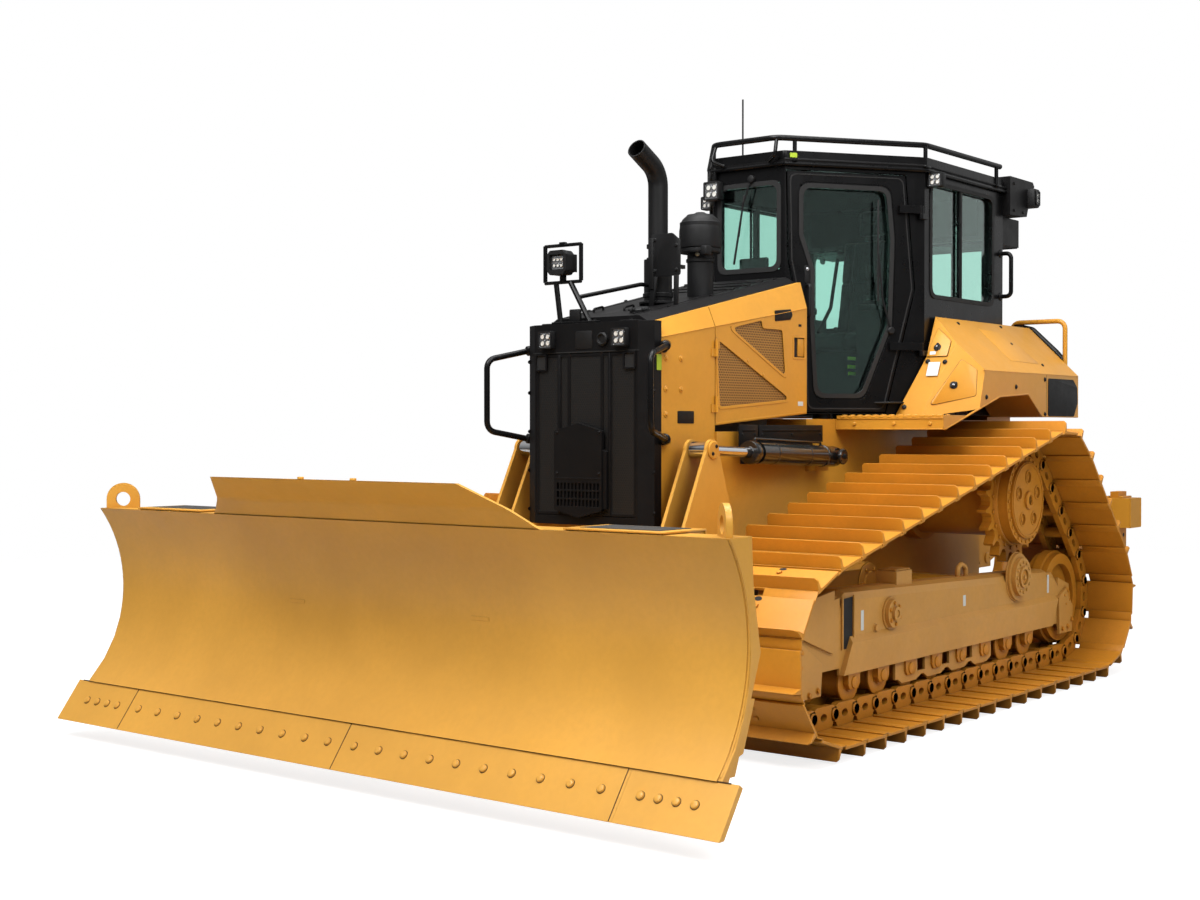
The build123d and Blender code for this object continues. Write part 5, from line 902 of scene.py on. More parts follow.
def frame_details():
    """Caps, bolts, blank stickers and welds on the outer side of the track frame."""
    s = Shape("frame_yellow")
    s.add(box((0.985, 1.06, 0.42), (1.115, 1.118, 0.7), 0.006))
    for k in range(6):
        a = math.pi / 3 * k + 0.4
        bolt(s, (0.609 + 0.054 * math.cos(a), 1.18, 0.575 + 0.054 * math.sin(a)), LEFT, 0.0095,
             "track_yellow")
    s.add(ring(0.036, 0.02, 0.006, 24), at=facing((0.609, 1.19, 0.575), LEFT))
    s.add(ring(0.084, 0.072, 0.008, 32), at=facing((0.609, FRAME_FACE, 0.575), LEFT))
    bolt(s, (0.767, FRAME_FACE, 0.515), LEFT, 0.018)
    bolt_ring(s, -0.944, 1.196, 0.65, 0.088, 12, 0.0095)
    s.add(ring(0.062, 0.046, 0.012, 28), at=facing((-0.944, 1.196, 0.65), LEFT))
    s.add(disc(0.04, 0.004, 24, 0.002), "track_yellow", facing((-0.944, 1.196, 0.65), LEFT))
    bolt(s, (-0.944, 1.2, 0.65), LEFT, 0.014)
    weld(s, [(x, FRAME_FACE + 0.002, z) for x, z in circle(-0.944, 0.65, 0.142, 40) + [(-0.802, 0.65)]],
         0.005)
    for x, z, w, h in ((0.899, 0.565, 0.028, 0.1), (-0.255, 0.567, 0.032, 0.06),
                       (-1.413, 0.573, 0.026, 0.11)):
        plate(s, rounded(flat_side(rect(x - w / 2, z - h / 2, x + w / 2, z + h / 2)), 0.004),
              side_at(FRAME_FACE), 0.0012, "label_white")
    for x, z in ((1.44, 0.262), (1.36, 0.275), (1.509, 0.47), (1.52, 0.4)):
        bolt(s, (x, 1.166, z), LEFT, 0.013, "track_yellow")
    for x, z in ((-1.6, 0.285), (-1.68, 0.292), (-1.745, 0.33)):
        bolt(s, (x, 1.166, z), LEFT, 0.013, "track_yellow")
    weld(s, [(1.06, 1.146, 0.505), (-1.5, 1.146, 0.505)], 0.004)
    for x0, x1 in ((1.1, 1.112), (0.985, 0.997)):
        plate(s, flat_side(rect(x0, 0.44, x1, 0.7)), side_at(FRAME_FACE), 0.01, bevel=0.002)
    plate(s, flat_side([(0.999, 0.44), (1.098, 0.44), (1.098, 0.685), (0.999, 0.69)]), side_at(FRAME_FACE),
          0.001, "rubber")
    for x in (0.32, 0.45):
        for y in (1.01, 1.1):
            bolt(s, (x, y, 0.775), UP, 0.012)
    plate(s, rounded(rect(-0.05, -0.075, 0.05, 0.075), 0.012), axes((0.385, TRACK_Y, 0.775), LEFT, BACK),
          0.01, bevel=0.002)
    for x in (FRONT_IDLER_X, REAR_IDLER_X):
        place = facing((x, FRAME_FACE, IDLER_Z), LEFT)
        s.add(turned([(0.062, 0.0), (0.062, 0.01), (0.054, 0.014), (0.022, 0.014), (0.02, 0.008)], 28),
              "track_yellow", place)
        bolt_ring(s, x, 1.164, IDLER_Z, 0.042, 4, 0.008, "track_yellow", washer=False, start=0.4)
    hook = tube([(-0.36, 1.06, 0.66), (-0.36, 1.06, 0.735), (-0.4, 1.06, 0.755), (-0.46, 1.06, 0.735),
                 (-0.46, 1.06, 0.665)], 0.014, 0.03, 10)
    s.add(hook)
    return s


# Blade details

BLADE_FOOT = Vector((3.25, 0.0, 0.262))
BLADE_TOE = Vector((3.38, 0.0, 0.085))
EDGE_RUN = (BLADE_TOE - BLADE_FOOT).normalized()


def circle_through(a, b, c):
    """Centre and radius of the circle through three points."""
    d = 2 * (a[0] * (b[1] - c[1]) + b[0] * (c[1] - a[1]) + c[0] * (a[1] - b[1]))
    sa, sb, sc = a[0] ** 2 + a[1] ** 2, b[0] ** 2 + b[1] ** 2, c[0] ** 2 + c[1] ** 2
    x = (sa * (b[1] - c[1]) + sb * (c[1] - a[1]) + sc * (a[1] - b[1])) / d
    z = (sa * (c[0] - b[0]) + sb * (a[0] - c[0]) + sc * (b[0] - a[0])) / d
    return x, z, math.hypot(a[0] - x, a[1] - z)


ARC_X, ARC_Z, ARC_R = circle_through((3.25, 0.262), (3.05, 0.69), (3.184, 1.12))


def blade_x(z, out=0.0):
    """X of the blade's hollow front at a height."""
    return ARC_X - math.sqrt(ARC_R ** 2 - (z - ARC_Z) ** 2) + out


def curved_strip(y0, y1, z0, z1, thickness, steps=10):
    """A thin plate that lies on the blade's hollow front."""
    points, faces = [], []
    for k in range(steps + 1):
        z = z0 + (z1 - z0) * k / steps
        for y in (y0, y1):
            points += [(blade_x(z), y, z), (blade_x(z, thickness), y, z)]
    for k in range(steps):
        a, b = 4 * k, 4 * (k + 1)
        faces += [(a + 1, a + 3, b + 3, b + 1), (a, b, b + 2, a + 2), (a, a + 1, b + 1, b),
                  (a + 2, b + 2, b + 3, a + 3)]
    faces += [(0, 2, 3, 1), (4 * steps, 4 * steps + 1, 4 * steps + 3, 4 * steps + 2)]
    return points, faces


SEAM_Y = 1.475


def blade_skin():
    """The moldboard's smooth front, over the solid's flat strips."""
    s = Shape("blade_yellow")
    bands = ((0.264, 1.119, 1.866, 1.866, 26), (1.119, 1.1405, 0.985, 0.958, 1),
             (1.1405, 1.299, 0.958, 0.744, 6))
    for z0, z1, low_half, high_half, rows in bands:
        points, faces = [], []
        proud = 0.01 if z0 < 1.0 else 0.0016
        for k in range(rows + 1):
            t = k / rows
            z, half = z0 + (z1 - z0) * t, low_half + (high_half - low_half) * t
            for out in (proud, -0.004):
                points += [(blade_x(z, out), half, z), (blade_x(z, out), -half, z)]
        for k in range(rows):
            a, b = 4 * k, 4 * k + 4
            faces += [(a, b, b + 1, a + 1), (a + 2, a + 3, b + 3, b + 2), (a, a + 2, b + 2, b),
                      (a + 1, b + 1, b + 3, a + 3)]
        faces += [(0, 1, 3, 2), (4 * rows, 4 * rows + 2, 4 * rows + 3, 4 * rows + 1)]
        s.add((points, faces))
    return s


def blade_details():
    """Edge bolts and joints, side rims, and the steps on the blade's shoulders."""
    s = Shape("blade_yellow")
    out = Vector((EDGE_RUN.z * -1, 0, EDGE_RUN.x))
    row = BLADE_FOOT + EDGE_RUN * 0.1
    starts = [y0 + 0.075 + 0.146 * k for y0 in (-SEAM_Y, 0.0) for k in range(10)]
    starts += [side * (SEAM_Y + 0.095 + 0.08 * k) for side in (1, -1) for k in range(4)]
    for y in starts:
        bolt(s, (row.x, y, row.z), out, 0.0165, "edge_yellow", washer=False, head=ROUND_HEAD)
        s.add(ring(0.0195, 0.0165, 0.0012, 20), "seam", facing((row.x, y, row.z), out))
    for y in (-SEAM_Y, 0.0, SEAM_Y):
        a, b = BLADE_FOOT + EDGE_RUN * 0.004 + out * 0.0006, BLADE_TOE - EDGE_RUN * 0.004 + out * 0.0004
        s.add(tube([(a.x, y, a.z), (b.x, y, b.z)], 0.0022, sides=6), "seam")
    foot = BLADE_FOOT + out * 0.0012
    s.add(tube([(foot.x, -1.925, foot.z), (foot.x, 1.925, foot.z)], 0.0026, sides=6), "seam")
    for side in (1, -1):
        s.add(curved_strip(side * 1.868 - 0.008, side * 1.868 + 0.008, 0.275, 1.118, 0.004, 20))
        low, high = sorted((side * 1.1, side * 1.58))
        s.add(box((2.9, low, 1.1235), (blade_x(1.12) - 0.004, high, 1.1315), 0.002))
        s.add(box((2.93, low + 0.05, 1.1312), (blade_x(1.12) - 0.05, high - 0.05, 1.1335)), "grip_patch")
        s.add(box((2.9, low, 1.088), (2.908, high, 1.1275), 0.002))
        for y in (low + 0.012, high - 0.012):
            s.add(side_prism([(2.904, 1.126), (2.904, 1.085), (blade_x(1.0) - 0.01, 1.0),
                              (blade_x(1.12) - 0.01, 1.126)], y - 0.005, y + 0.005, 0.001))
    for y in (-0.16, 0.16):
        s.add(disc(0.014, 0.01, 16, 0.002), at=facing((blade_x(1.3) - 0.012, y, 1.3), UP))
    return s


def blade_rear():
    """Pins, pin keepers and welds on the blade's back."""
    s = Shape("blade_yellow")
    for side in (1, -1):
        for z, direction in ((0.978, 1), (0.722, -1)):
            base = (2.95, side * 0.56, z)
            s.add(turned([(0.04, 0.0), (0.04, 0.01), (0.034, 0.014), (0.022, 0.014)], 24), "track_yellow",
                  facing(base, (0, 0, direction)))
            bolt(s, (2.95 - 0.026, side * 0.56, z + 0.012 * direction), (0, 0, direction), 0.007,
                 "track_yellow")
    for y in (-1.5, -1.05, -0.7, -0.3, 0.3, 0.7, 1.05, 1.5):
        for dy in (-0.012, 0.012):
            weld(s, [(blade_x(z) - 0.022, y + dy, z) for z in (0.53, 0.63, 0.73, 0.83, 0.92)], 0.005)
    weld(s, [(blade_x(0.93) - 0.022, -1.84, 0.928), (blade_x(0.93) - 0.022, 1.84, 0.928)], 0.005)
    weld(s, [(blade_x(0.522) - 0.022, -1.86, 0.524), (blade_x(0.522) - 0.022, 1.86, 0.524)], 0.005)
    return s


# Lift towers and cylinders

def tower_details():
    """Heads, pins and keepers of the lift towers on the blade frame."""
    s = Shape()
    x, z = 1.435, 1.41
    for y, direction in ((0.62, 1), (0.48, -1)):
        s.add(turned([(0.046, 0.0), (0.046, 0.006), (0.04, 0.01), (0.024, 0.01)], 28),
              at=facing((x, y, z), (0, direction, 0)))
    for dx, dz in ((-0.016, 0.018), (0.014, -0.018)):
        bolt(s, (x + dx, 0.63, z + dz), LEFT, 0.0075, "black_plastic")
    for y in (0.48, 0.498, 0.602, 0.62):
        weld(s, [(1.13, y, 0.727), (1.84, y, 0.727)], 0.006)
    plate(s, rounded(flat_side([(1.66, 0.73), (1.8, 0.73), (1.6, 0.96), (1.52, 0.96)]), 0.02), side_at(0.5),
          0.1, bevel=0.004)
    s.add(tube([(1.8, 0.655, 0.76), (1.8, 0.655, 0.84), (1.76, 0.655, 0.86), (1.72, 0.655, 0.84),
                (1.72, 0.655, 0.76)], 0.012, 0.03, 10))
    return s


def arm_details():
    """Trunnion covers, ball cap bolts and neck welds of the blade frame."""
    s = Shape()
    s.add(turned([(0.118, 0.0), (0.118, 0.004), (0.11, 0.008), (0.07, 0.008), (0.066, 0.016),
                  (0.05, 0.018)], 36), at=facing((-0.15, 0.6145, 0.64), LEFT))
    for k in range(6):
        a = math.pi / 3 * k
        bolt(s, (-0.15 + 0.088 * math.cos(a), 0.6225, 0.64 + 0.088 * math.sin(a)), LEFT, 0.011)
    for z in (0.556, 0.724):
        weld(s, [(2.205, 0.61, z), (1.955, 0.61, z)], 0.006)
    return s


def cylinder_trim(a, b, outer, rod, share, front=True):
    """Gland ring, end cap and oil pipe with its clamps for one barrel."""
    s = Shape("barrel_black")
    a, b = Vector(a), Vector(b)
    run = (b - a).normalized()
    length = (b - a).length
    end = a + run * (length * share)
    gland = [(outer + 0.004, -0.045), (outer + 0.006, -0.04), (outer + 0.006, -0.006), (outer + 0.003, 0.0)]
    s.add(sleeve(gland, outer - 0.002, 28), at=facing(end, run))
    if front:
        s.add(sleeve([(outer + 0.003, 0.0005), (outer + 0.003, 0.002), (rod + 0.006, 0.0025),
                      (rod + 0.003, 0.006)], rod + 0.002, 28), at=facing(end, run))
    back = a + run * (outer * 1.5)
    cap = [(outer + 0.003, 0.0), (outer + 0.005, 0.004), (outer + 0.005, 0.022), (outer + 0.002, 0.026)]
    s.add(sleeve(cap, outer - 0.002, 28), at=facing(back, run))
    side = run.cross(Vector(UP)).normalized() if abs(run.z) < 0.9 else Vector(AHEAD)
    lift = side.cross(run).normalized()
    if lift.z < 0:
        lift = -lift
    pipe_a = back + run * 0.03 + lift * outer
    pipe_b = end - run * 0.055 + lift * outer
    s.add(tube([pipe_a, pipe_a + lift * 0.018, pipe_b + lift * 0.018, pipe_b], 0.0065, 0.014, 10))
    for share_at in (0.25, 0.75):
        middle = pipe_a.lerp(pipe_b, share_at)
        s.add(sleeve([(outer + 0.002, -0.009), (outer + 0.003, -0.007), (outer + 0.003, 0.007),
                      (outer + 0.002, 0.009)], outer - 0.002, 24), at=facing(middle - lift * outer, run))
    return s


def lift_jacket():
    """The lift cylinder's black barrel and its round rear end."""
    s = Shape("barrel_black")
    a, b = Vector((0.17, 0.55, 1.362)), Vector((1.435, 0.55, 1.41))
    run = (b - a).normalized()
    points, faces = turned([(0.04, -0.052), (0.055, -0.04), (0.057, -0.02), (0.057, 0.6 * (b - a).length)],
                           36)
    s.add((points, faces[:-1]), at=facing(a, run))
    s.add(turned([(0.044, 0.0), (0.044, 0.012), (0.038, 0.018), (0.02, 0.018)], 24),
          at=facing(a + Vector((0, 0.07, 0)), LEFT))
    bolt(s, a + Vector((0, 0.088, 0)), LEFT, 0.012, "black_panel")
    return s


def side_covers():
    """Black box beside the lift cylinder, with its joint, step and bolts."""
    s = Shape("black_panel")
    for x0, x1 in ((0.13, 0.79), (0.8, 0.98)):
        s.add(box((x0, 0.4705, 1.385), (x1, 0.478, 1.535), 0.003))
        s.add(box((x0 + 0.03, 0.477, 1.5), (x1 - 0.03, 0.481, 1.512), 0.002))
    for x in (0.16, 0.46, 0.76, 0.83, 0.95):
        bolt(s, (x, 0.478, 1.485), LEFT, 0.007, "black_plastic", washer=False, head=ROUND_HEAD)
    return s


def rod_trim(b, a, outer, rod):
    """Collar between a rod and its eye."""
    s = Shape("barrel_black")
    b, a = Vector(b), Vector(a)
    run = (a - b).normalized()
    s.add(turned([(outer * 0.75, 0.0), (outer * 0.7, 0.012), (rod + 0.004, 0.02), (rod + 0.001, 0.022)],
                 24), at=facing(b + run * outer * 0.8, run))
    return s


# Nose and hood details

def lamp_face(s, place, half_w, half_h, dots, ring_depth=0.008):
    """A lamp's bezel, bright field, row of reflectors and lens on the plane at place."""
    outline = rounded(rect(-half_w, -half_h, half_w, half_h), 0.01)
    field = rounded(rect(-half_w * 0.82, -half_h * 0.82, half_w * 0.82, half_h * 0.82), 0.006)
    plate(s, outline, place, ring_depth, "black_plastic", holes=[field])
    plate(s, field, place, 0.0016, "lamp_silver")
    for i in range(dots[0]):
        for j in range(dots[1]):
            u = (i - (dots[0] - 1) / 2) * 1.5 * half_w / dots[0]
            v = (j - (dots[1] - 1) / 2) * 1.5 * half_h / dots[1]
            r = 0.6 * min(half_w / dots[0], half_h / dots[1])
            s.add(turned([(r, 0.0), (r * 0.75, 0.003), (r * 0.3, 0.0015)], 16), "lamp_glow",
                  place @ Matrix.Translation((u, v, 0.0016)))
            s.add(ring(r * 1.12, r * 0.98, 0.0035, 16), "black_plastic",
                  place @ Matrix.Translation((u, v, 0.0014)))


def nose_details():
    """Head lamps, round badge with its bolts, band and joint on the nose."""
    s = Shape("black_plastic")
    for y in (-0.235, 0.235):
        s.add(box((1.658, y - 0.045, 1.92), (1.69, y + 0.045, 2.01), 0.006))
        lamp_face(s, nose_at(1.689) @ Matrix.Translation((y, 1.965, 0)), 0.045, 0.045, (2, 2))
    s.add(turned([(0.034, 0.0), (0.034, 0.012), (0.026, 0.018), (0.02, 0.008)], 24),
          at=facing((1.66, 0.115, 1.96), AHEAD))
    for k in range(7):
        a = 2 * math.pi * k / 7
        bolt(s, (1.66, 0.115 + 0.041 * math.cos(a), 1.96 + 0.041 * math.sin(a)), AHEAD, 0.004,
             "black_panel", washer=False)
    band = rounded(rect(-0.06, 1.915, 0.045, 2.005), 0.012)
    plate(s, band, nose_at(1.66), 0.0025, bevel=0.001)
    s.add(box((1.648, -0.335, 1.8965), (1.6615, 0.335, 1.902)), "rubber")
    for y in (-0.376, 0.376):
        for z in (1.1, 1.3, 1.5, 1.7, 1.86):
            bolt(s, (1.619, y * 1.063, z), (0, 1 if y > 0 else -1, 0), 0.008, "black_panel")
    return s


def grille_details():
    """Meshed screens with their frames, corner pockets, core behind and the lower cover."""
    s = Shape("black_panel")
    low, high, w = 1.08, 1.89, 0.316
    x = 1.6555
    edges = (-w, -0.168, 0.156, w)
    for a, b in zip(edges, edges[1:]):
        border = rect(a, low, b, high)
        hole = rounded(rect(a + 0.012, low + 0.012, b - 0.012, high - 0.012), 0.01)
        plate(s, border, nose_at(x - 0.002), 0.006, holes=[hole])
        plate(s, rect(a + 0.01, low + 0.01, b - 0.01, high - 0.01), nose_at(x - 0.0012), 0.001, "black_mesh")
    for y in (-0.168, 0.156):
        s.add(box((x, y - 0.006, low), (x + 0.01, y + 0.006, high), 0.002))
    for side in (-1, 1):
        y0, y1 = sorted((side * 0.25, side * 0.314))
        pocket = rect(y0, 1.815, y1, 1.888)
        plate(s, pocket, nose_at(x + 0.0045), 0.002, "rubber")
        plate(s, grown(pocket, 0.006), nose_at(x + 0.0045), 0.01, holes=[grown(pocket, -0.002)])
    cover = [(-0.178, 1.105), (-0.025, 1.068), (0.127, 1.105), (0.127, 1.505), (-0.02, 1.543),
             (-0.178, 1.505)]
    outline = rounded(cover, 0.01)
    face = x + 0.012
    slots = []
    for row in range(3):
        for k in range(12):
            y = -0.16 + k * 0.0235
            slots.append(rect(y, 1.125 + row * 0.042, y + 0.015, 1.158 + row * 0.042))
    plate(s, outline, nose_at(face), 0.022, holes=slots)
    plate(s, grown(cover, -0.008), nose_at(face), 0.002, "rubber")
    plate(s, rounded(rect(-0.17, 1.262, 0.12, 1.268), 0.002), nose_at(face + 0.022), 0.002)
    for y, z in ((-0.16, 1.495), (0.11, 1.495), (-0.16, 1.29), (0.11, 1.29)):
        bolt(s, (face + 0.022, y, z), AHEAD, 0.007)
    return s


def nose_loop():
    """Round bar that guards the nose's corner, with its clamped ends."""
    s = Shape("cab_black")
    route = [(1.54, 0.388, 1.452), (1.58, 0.445, 1.462), (1.815, 0.52, 1.505), (1.815, 0.52, 1.868),
             (1.58, 0.445, 1.92), (1.54, 0.388, 1.935)]
    s.add(tube(route, 0.0155, 0.055, 16))
    for z, x, y in ((1.462, 1.59, 0.448), (1.918, 1.59, 0.448)):
        s.add(turned([(0.019, 0.0), (0.025, 0.004), (0.026, 0.05), (0.019, 0.056)], 20),
              at=facing((x - 0.045, y - 0.03, z - 0.004 if z < 1.6 else z + 0.01),
                        (0.83, 0.5, 0.12 if z < 1.6 else -0.18)))
        s.add(disc(0.03, 0.012, 20, 0.003), at=facing((1.545, hood_y(1.545), z), LEFT))
    return s


def hood_fixed_details():
    """Bosses, hinges, seam and the blank plate on the hood's fixed side panel."""
    s = Shape()
    for x, z in ((1.525, 1.863), (1.403, 1.864), (1.525, 1.71), (1.403, 1.71), (1.525, 1.585)):
        at = (x, hood_y(x), z)
        s.add(turned([(0.017, 0.0), (0.015, 0.003), (0.012, 0.004)], 20), at=facing(at, LEFT))
        bolt(s, (x, hood_y(x) + 0.004, z), LEFT, 0.0085, washer=False, head=ROUND_HEAD)
    blank = on_hood(rect(1.431, 1.541, 1.297, 1.603))
    plate(s, rounded(blank, 0.005), hood_at(), 0.002, "black_plastic", 0.0006)
    lime = rect(1.6, 1.802, 1.56, 1.88)
    plate(s, rounded(flat_side(lime), 0.004), side_at(0.4002), 0.0012, "label_lime")
    crease = [(1.558, hood_y(1.558) + 0.0005, 1.9655), (1.122, hood_y(1.122) + 0.0005, 2.0375)]
    s.add(tube(crease, 0.0022, sides=6))
    for z in (1.12, 1.25, 1.38):
        bolt(s, (1.16, hood_y(1.16), z), LEFT, 0.01)
    return s


def hood_door_details():
    """Mesh windows, latch, labels and joints of an engine door."""
    s = Shape()
    lower = [(1.106, 1.981), (1.079, 1.624), (0.46, 1.669), (0.46, 1.693)]
    upper = [(0.986, 2.039), (0.694, 2.095), (0.692, 2.053), (0.502, 2.052), (0.471, 1.796)]
    for points in (lower, upper):
        outline = rounded(on_hood(points), 0.022)
        plate(s, outline, hood_at(-0.0078), 0.003, "yellow_mesh")
        raised = rounded(on_hood(grown(points, 0.011)), 0.028)
        hole = rounded(on_hood(grown(points, -0.004)), 0.02)
        plate(s, raised, hood_at(0.0), 0.0022, holes=[hole])
    for x, z in ((0.828, 1.873), (0.685, 1.802)):
        bolt(s, (x, hood_y(x), z), LEFT, 0.0085, head=ROUND_HEAD)
    latch = rect(0.396, 1.9, 0.284, 2.02)
    plate(s, rounded(on_hood(grown(latch, 0.004)), 0.006), hood_at(0.0), 0.0024,
          holes=[on_hood(grown(latch, -0.006))])
    plate(s, on_hood(rect(0.388, 1.908, 0.352, 2.012)), hood_at(-0.007), 0.001, "rubber")
    plate(s, rounded(on_hood(rect(0.35, 1.912, 0.29, 2.008)), 0.004), hood_at(-0.007), 0.006, bevel=0.001)
    plate(s, rounded(on_hood(rect(0.345, 2.075, 0.318, 2.088)), 0.002), hood_at(), 0.0015, "rubber")
    plate(s, rounded(on_hood(rect(0.35, 1.64, 0.3, 1.664)), 0.002), hood_at(), 0.0012, "label_white")
    blank = rounded(on_hood([(0.575, 2.092), (0.425, 2.108), (0.405, 2.135), (0.425, 2.165),
                             (0.575, 2.15)]), 0.006)
    plate(s, blank, hood_at(), 0.0018, "black_plastic", 0.0006)
    s.add(tube([(1.108, hood_y(1.108) + 0.0005, 2.04), (0.268, hood_y(0.268) + 0.0005, 2.1785)], 0.0022,
               sides=6))
    low = [(1.105, 1.5345), (0.268, 1.5995), (0.268, 1.612), (1.105, 1.547)]
    plate(s, on_hood(low), hood_at(-0.001), 0.0022, bevel=0.0006)
    return s


def hood_top_details():
    """Ribs, lifting eyes, filler cap and bolts on the black engine cover."""
    s = Shape("black_panel")

    def top_z(x):
        """Height of the engine cover at x."""
        return 2.045 + (1.56 - x) / 1.298 * 0.28 + 0.034

    slope = (2.325 - 2.045) / 1.298
    up = Vector((slope, 0, 1)).normalized()
    for x, y in ((1.5, 0.19), (1.5, -0.19), (1.3, 0.26), (1.3, -0.26), (0.95, 0.28), (0.95, -0.28),
                 (0.6, 0.29), (0.6, -0.29), (0.35, 0.3), (0.35, -0.3)):
        bolt(s, (x, y, top_z(x) - 0.001), up, 0.01)
    s.add(turned([(0.05, 0.0), (0.05, 0.016), (0.044, 0.022), (0.02, 0.024)], 24), "black_plastic",
          facing((1.43, 0.17, top_z(1.43) - 0.002), up))
    for k in range(6):
        a = 2 * math.pi * k / 6
        rim = Vector((math.cos(a), math.sin(a), 0)) * 0.048
        s.add(disc(0.01, 0.012, 10, 0.002), "black_plastic",
              facing(Vector((1.43, 0.17, top_z(1.43) + 0.004)) + rim, up))
    for y in (-0.18, 0.02):
        s.add(tube([(1.36, y, top_z(1.36) - 0.006), (1.36, y, top_z(1.36) + 0.018),
                    (1.28, y, top_z(1.28) + 0.018), (1.28, y, top_z(1.28) - 0.006)], 0.006, 0.012, 8))
    for x in (0.7, 0.56, 0.42):
        bar = box((x - 0.012, -0.26, 0.0), (x + 0.012, 0.26, 0.01), 0.003)
        s.add(([(a, b, c + top_z(a) - 0.003) for a, b, c in bar[0]], bar[1]))
    for y in (-0.235, 0.235):
        s.add(tube([(x, y, top_z(x) - 0.001) for x in (0.268, 1.555)], 0.004, sides=6))
    for y in (-0.25, 0.25):
        s.add(box((1.575, y - 0.05, 2.044), (1.64, y + 0.05, 2.052), 0.003))
        bolt(s, (1.607, y, 2.052), UP, 0.01)
    return s


def stack_details():
    """Exhaust clamps, heat shield with its legs, and the rings and cap of the pre-cleaner."""
    s = Shape("exhaust_black")
    x, y = 1.12, 0.06
    for z in (2.4, 2.47):
        s.add(turned([(0.054, -0.012), (0.06, -0.01), (0.06, 0.01), (0.054, 0.012)], 32),
              at=facing((x, y, z), UP))
        s.add(box((x + 0.052, y - 0.008, z - 0.008), (x + 0.078, y + 0.008, z + 0.008), 0.002))
    s.add(turned([(0.0745, 0.0), (0.08, 0.004), (0.08, 0.022), (0.0745, 0.026)], 32),
          at=facing((x, y, 2.2), UP))
    s.add(turned([(0.1, 0.0), (0.1, 0.01), (0.09, 0.014), (0.0745, 0.016)], 32),
          at=facing((x, y, 2.168), UP))
    panel = rounded([(-0.085, 2.3), (0.1, 2.3), (0.1, 2.48), (0.05, 2.52), (-0.085, 2.52)], 0.016)
    place = axes((1.225, 0.18, 0), LEFT, UP)
    plate(s, panel, place, 0.006, bevel=0.001)
    for dy, z in ((-0.06, 2.33), (0.075, 2.33), (-0.06, 2.49), (0.075, 2.455)):
        bolt(s, (1.231, 0.18 + dy, z), AHEAD, 0.008)
    for dy in (-0.07, 0.06):
        s.add(box((1.14, 0.18 + dy - 0.01, 2.34), (1.226, 0.18 + dy + 0.01, 2.36), 0.002))
    leg = [(-0.1, 2.14), (-0.07, 2.14), (-0.045, 2.3), (-0.08, 2.3)]
    plate(s, leg, place, 0.008, bevel=0.001)
    leg = [(0.06, 2.13), (0.085, 2.13), (0.09, 2.3), (0.06, 2.3)]
    plate(s, leg, place, 0.008, bevel=0.001)
    s.add(box((1.215, 0.085, 2.235), (1.24, 0.115, 2.5), 0.003))
    x, y = 0.86, 0.15
    s.add(turned([(0.106, 0.0), (0.109, 0.004), (0.109, 0.018), (0.106, 0.022)], 36), "black_plastic",
          facing((x, y, 2.452), UP))
    s.add(turned([(0.106, 0.0), (0.11, 0.004), (0.11, 0.02), (0.106, 0.024)], 36), "black_plastic",
          facing((x, y, 2.592), UP))
    s.add(turned([(0.112, 0.0), (0.114, 0.01), (0.113, 0.09), (0.108, 0.125), (0.096, 0.152),
                  (0.074, 0.172), (0.04, 0.183), (0.004, 0.186)], 40), "black_plastic",
          facing((x, y, 2.478), UP))
    s.add(box((x + 0.05, y + 0.07, 2.43), (x + 0.105, y + 0.11, 2.48), 0.008), "black_plastic")
    s.add(turned([(0.071, 0.0), (0.076, 0.003), (0.076, 0.018), (0.071, 0.021)], 32), "black_plastic",
          facing((x, y, 2.4), UP))
    s.add(disc(0.012, 0.012, 12, 0.003), "plated_bolt", facing((x + 0.07, y + 0.03, 2.44), (1, 0.4, 0)))
    s.add(turned([(0.03, 0.0), (0.03, 0.01), (0.022, 0.014)], 20), "black_plastic",
          facing((x, y, 2.655), UP))
    return s


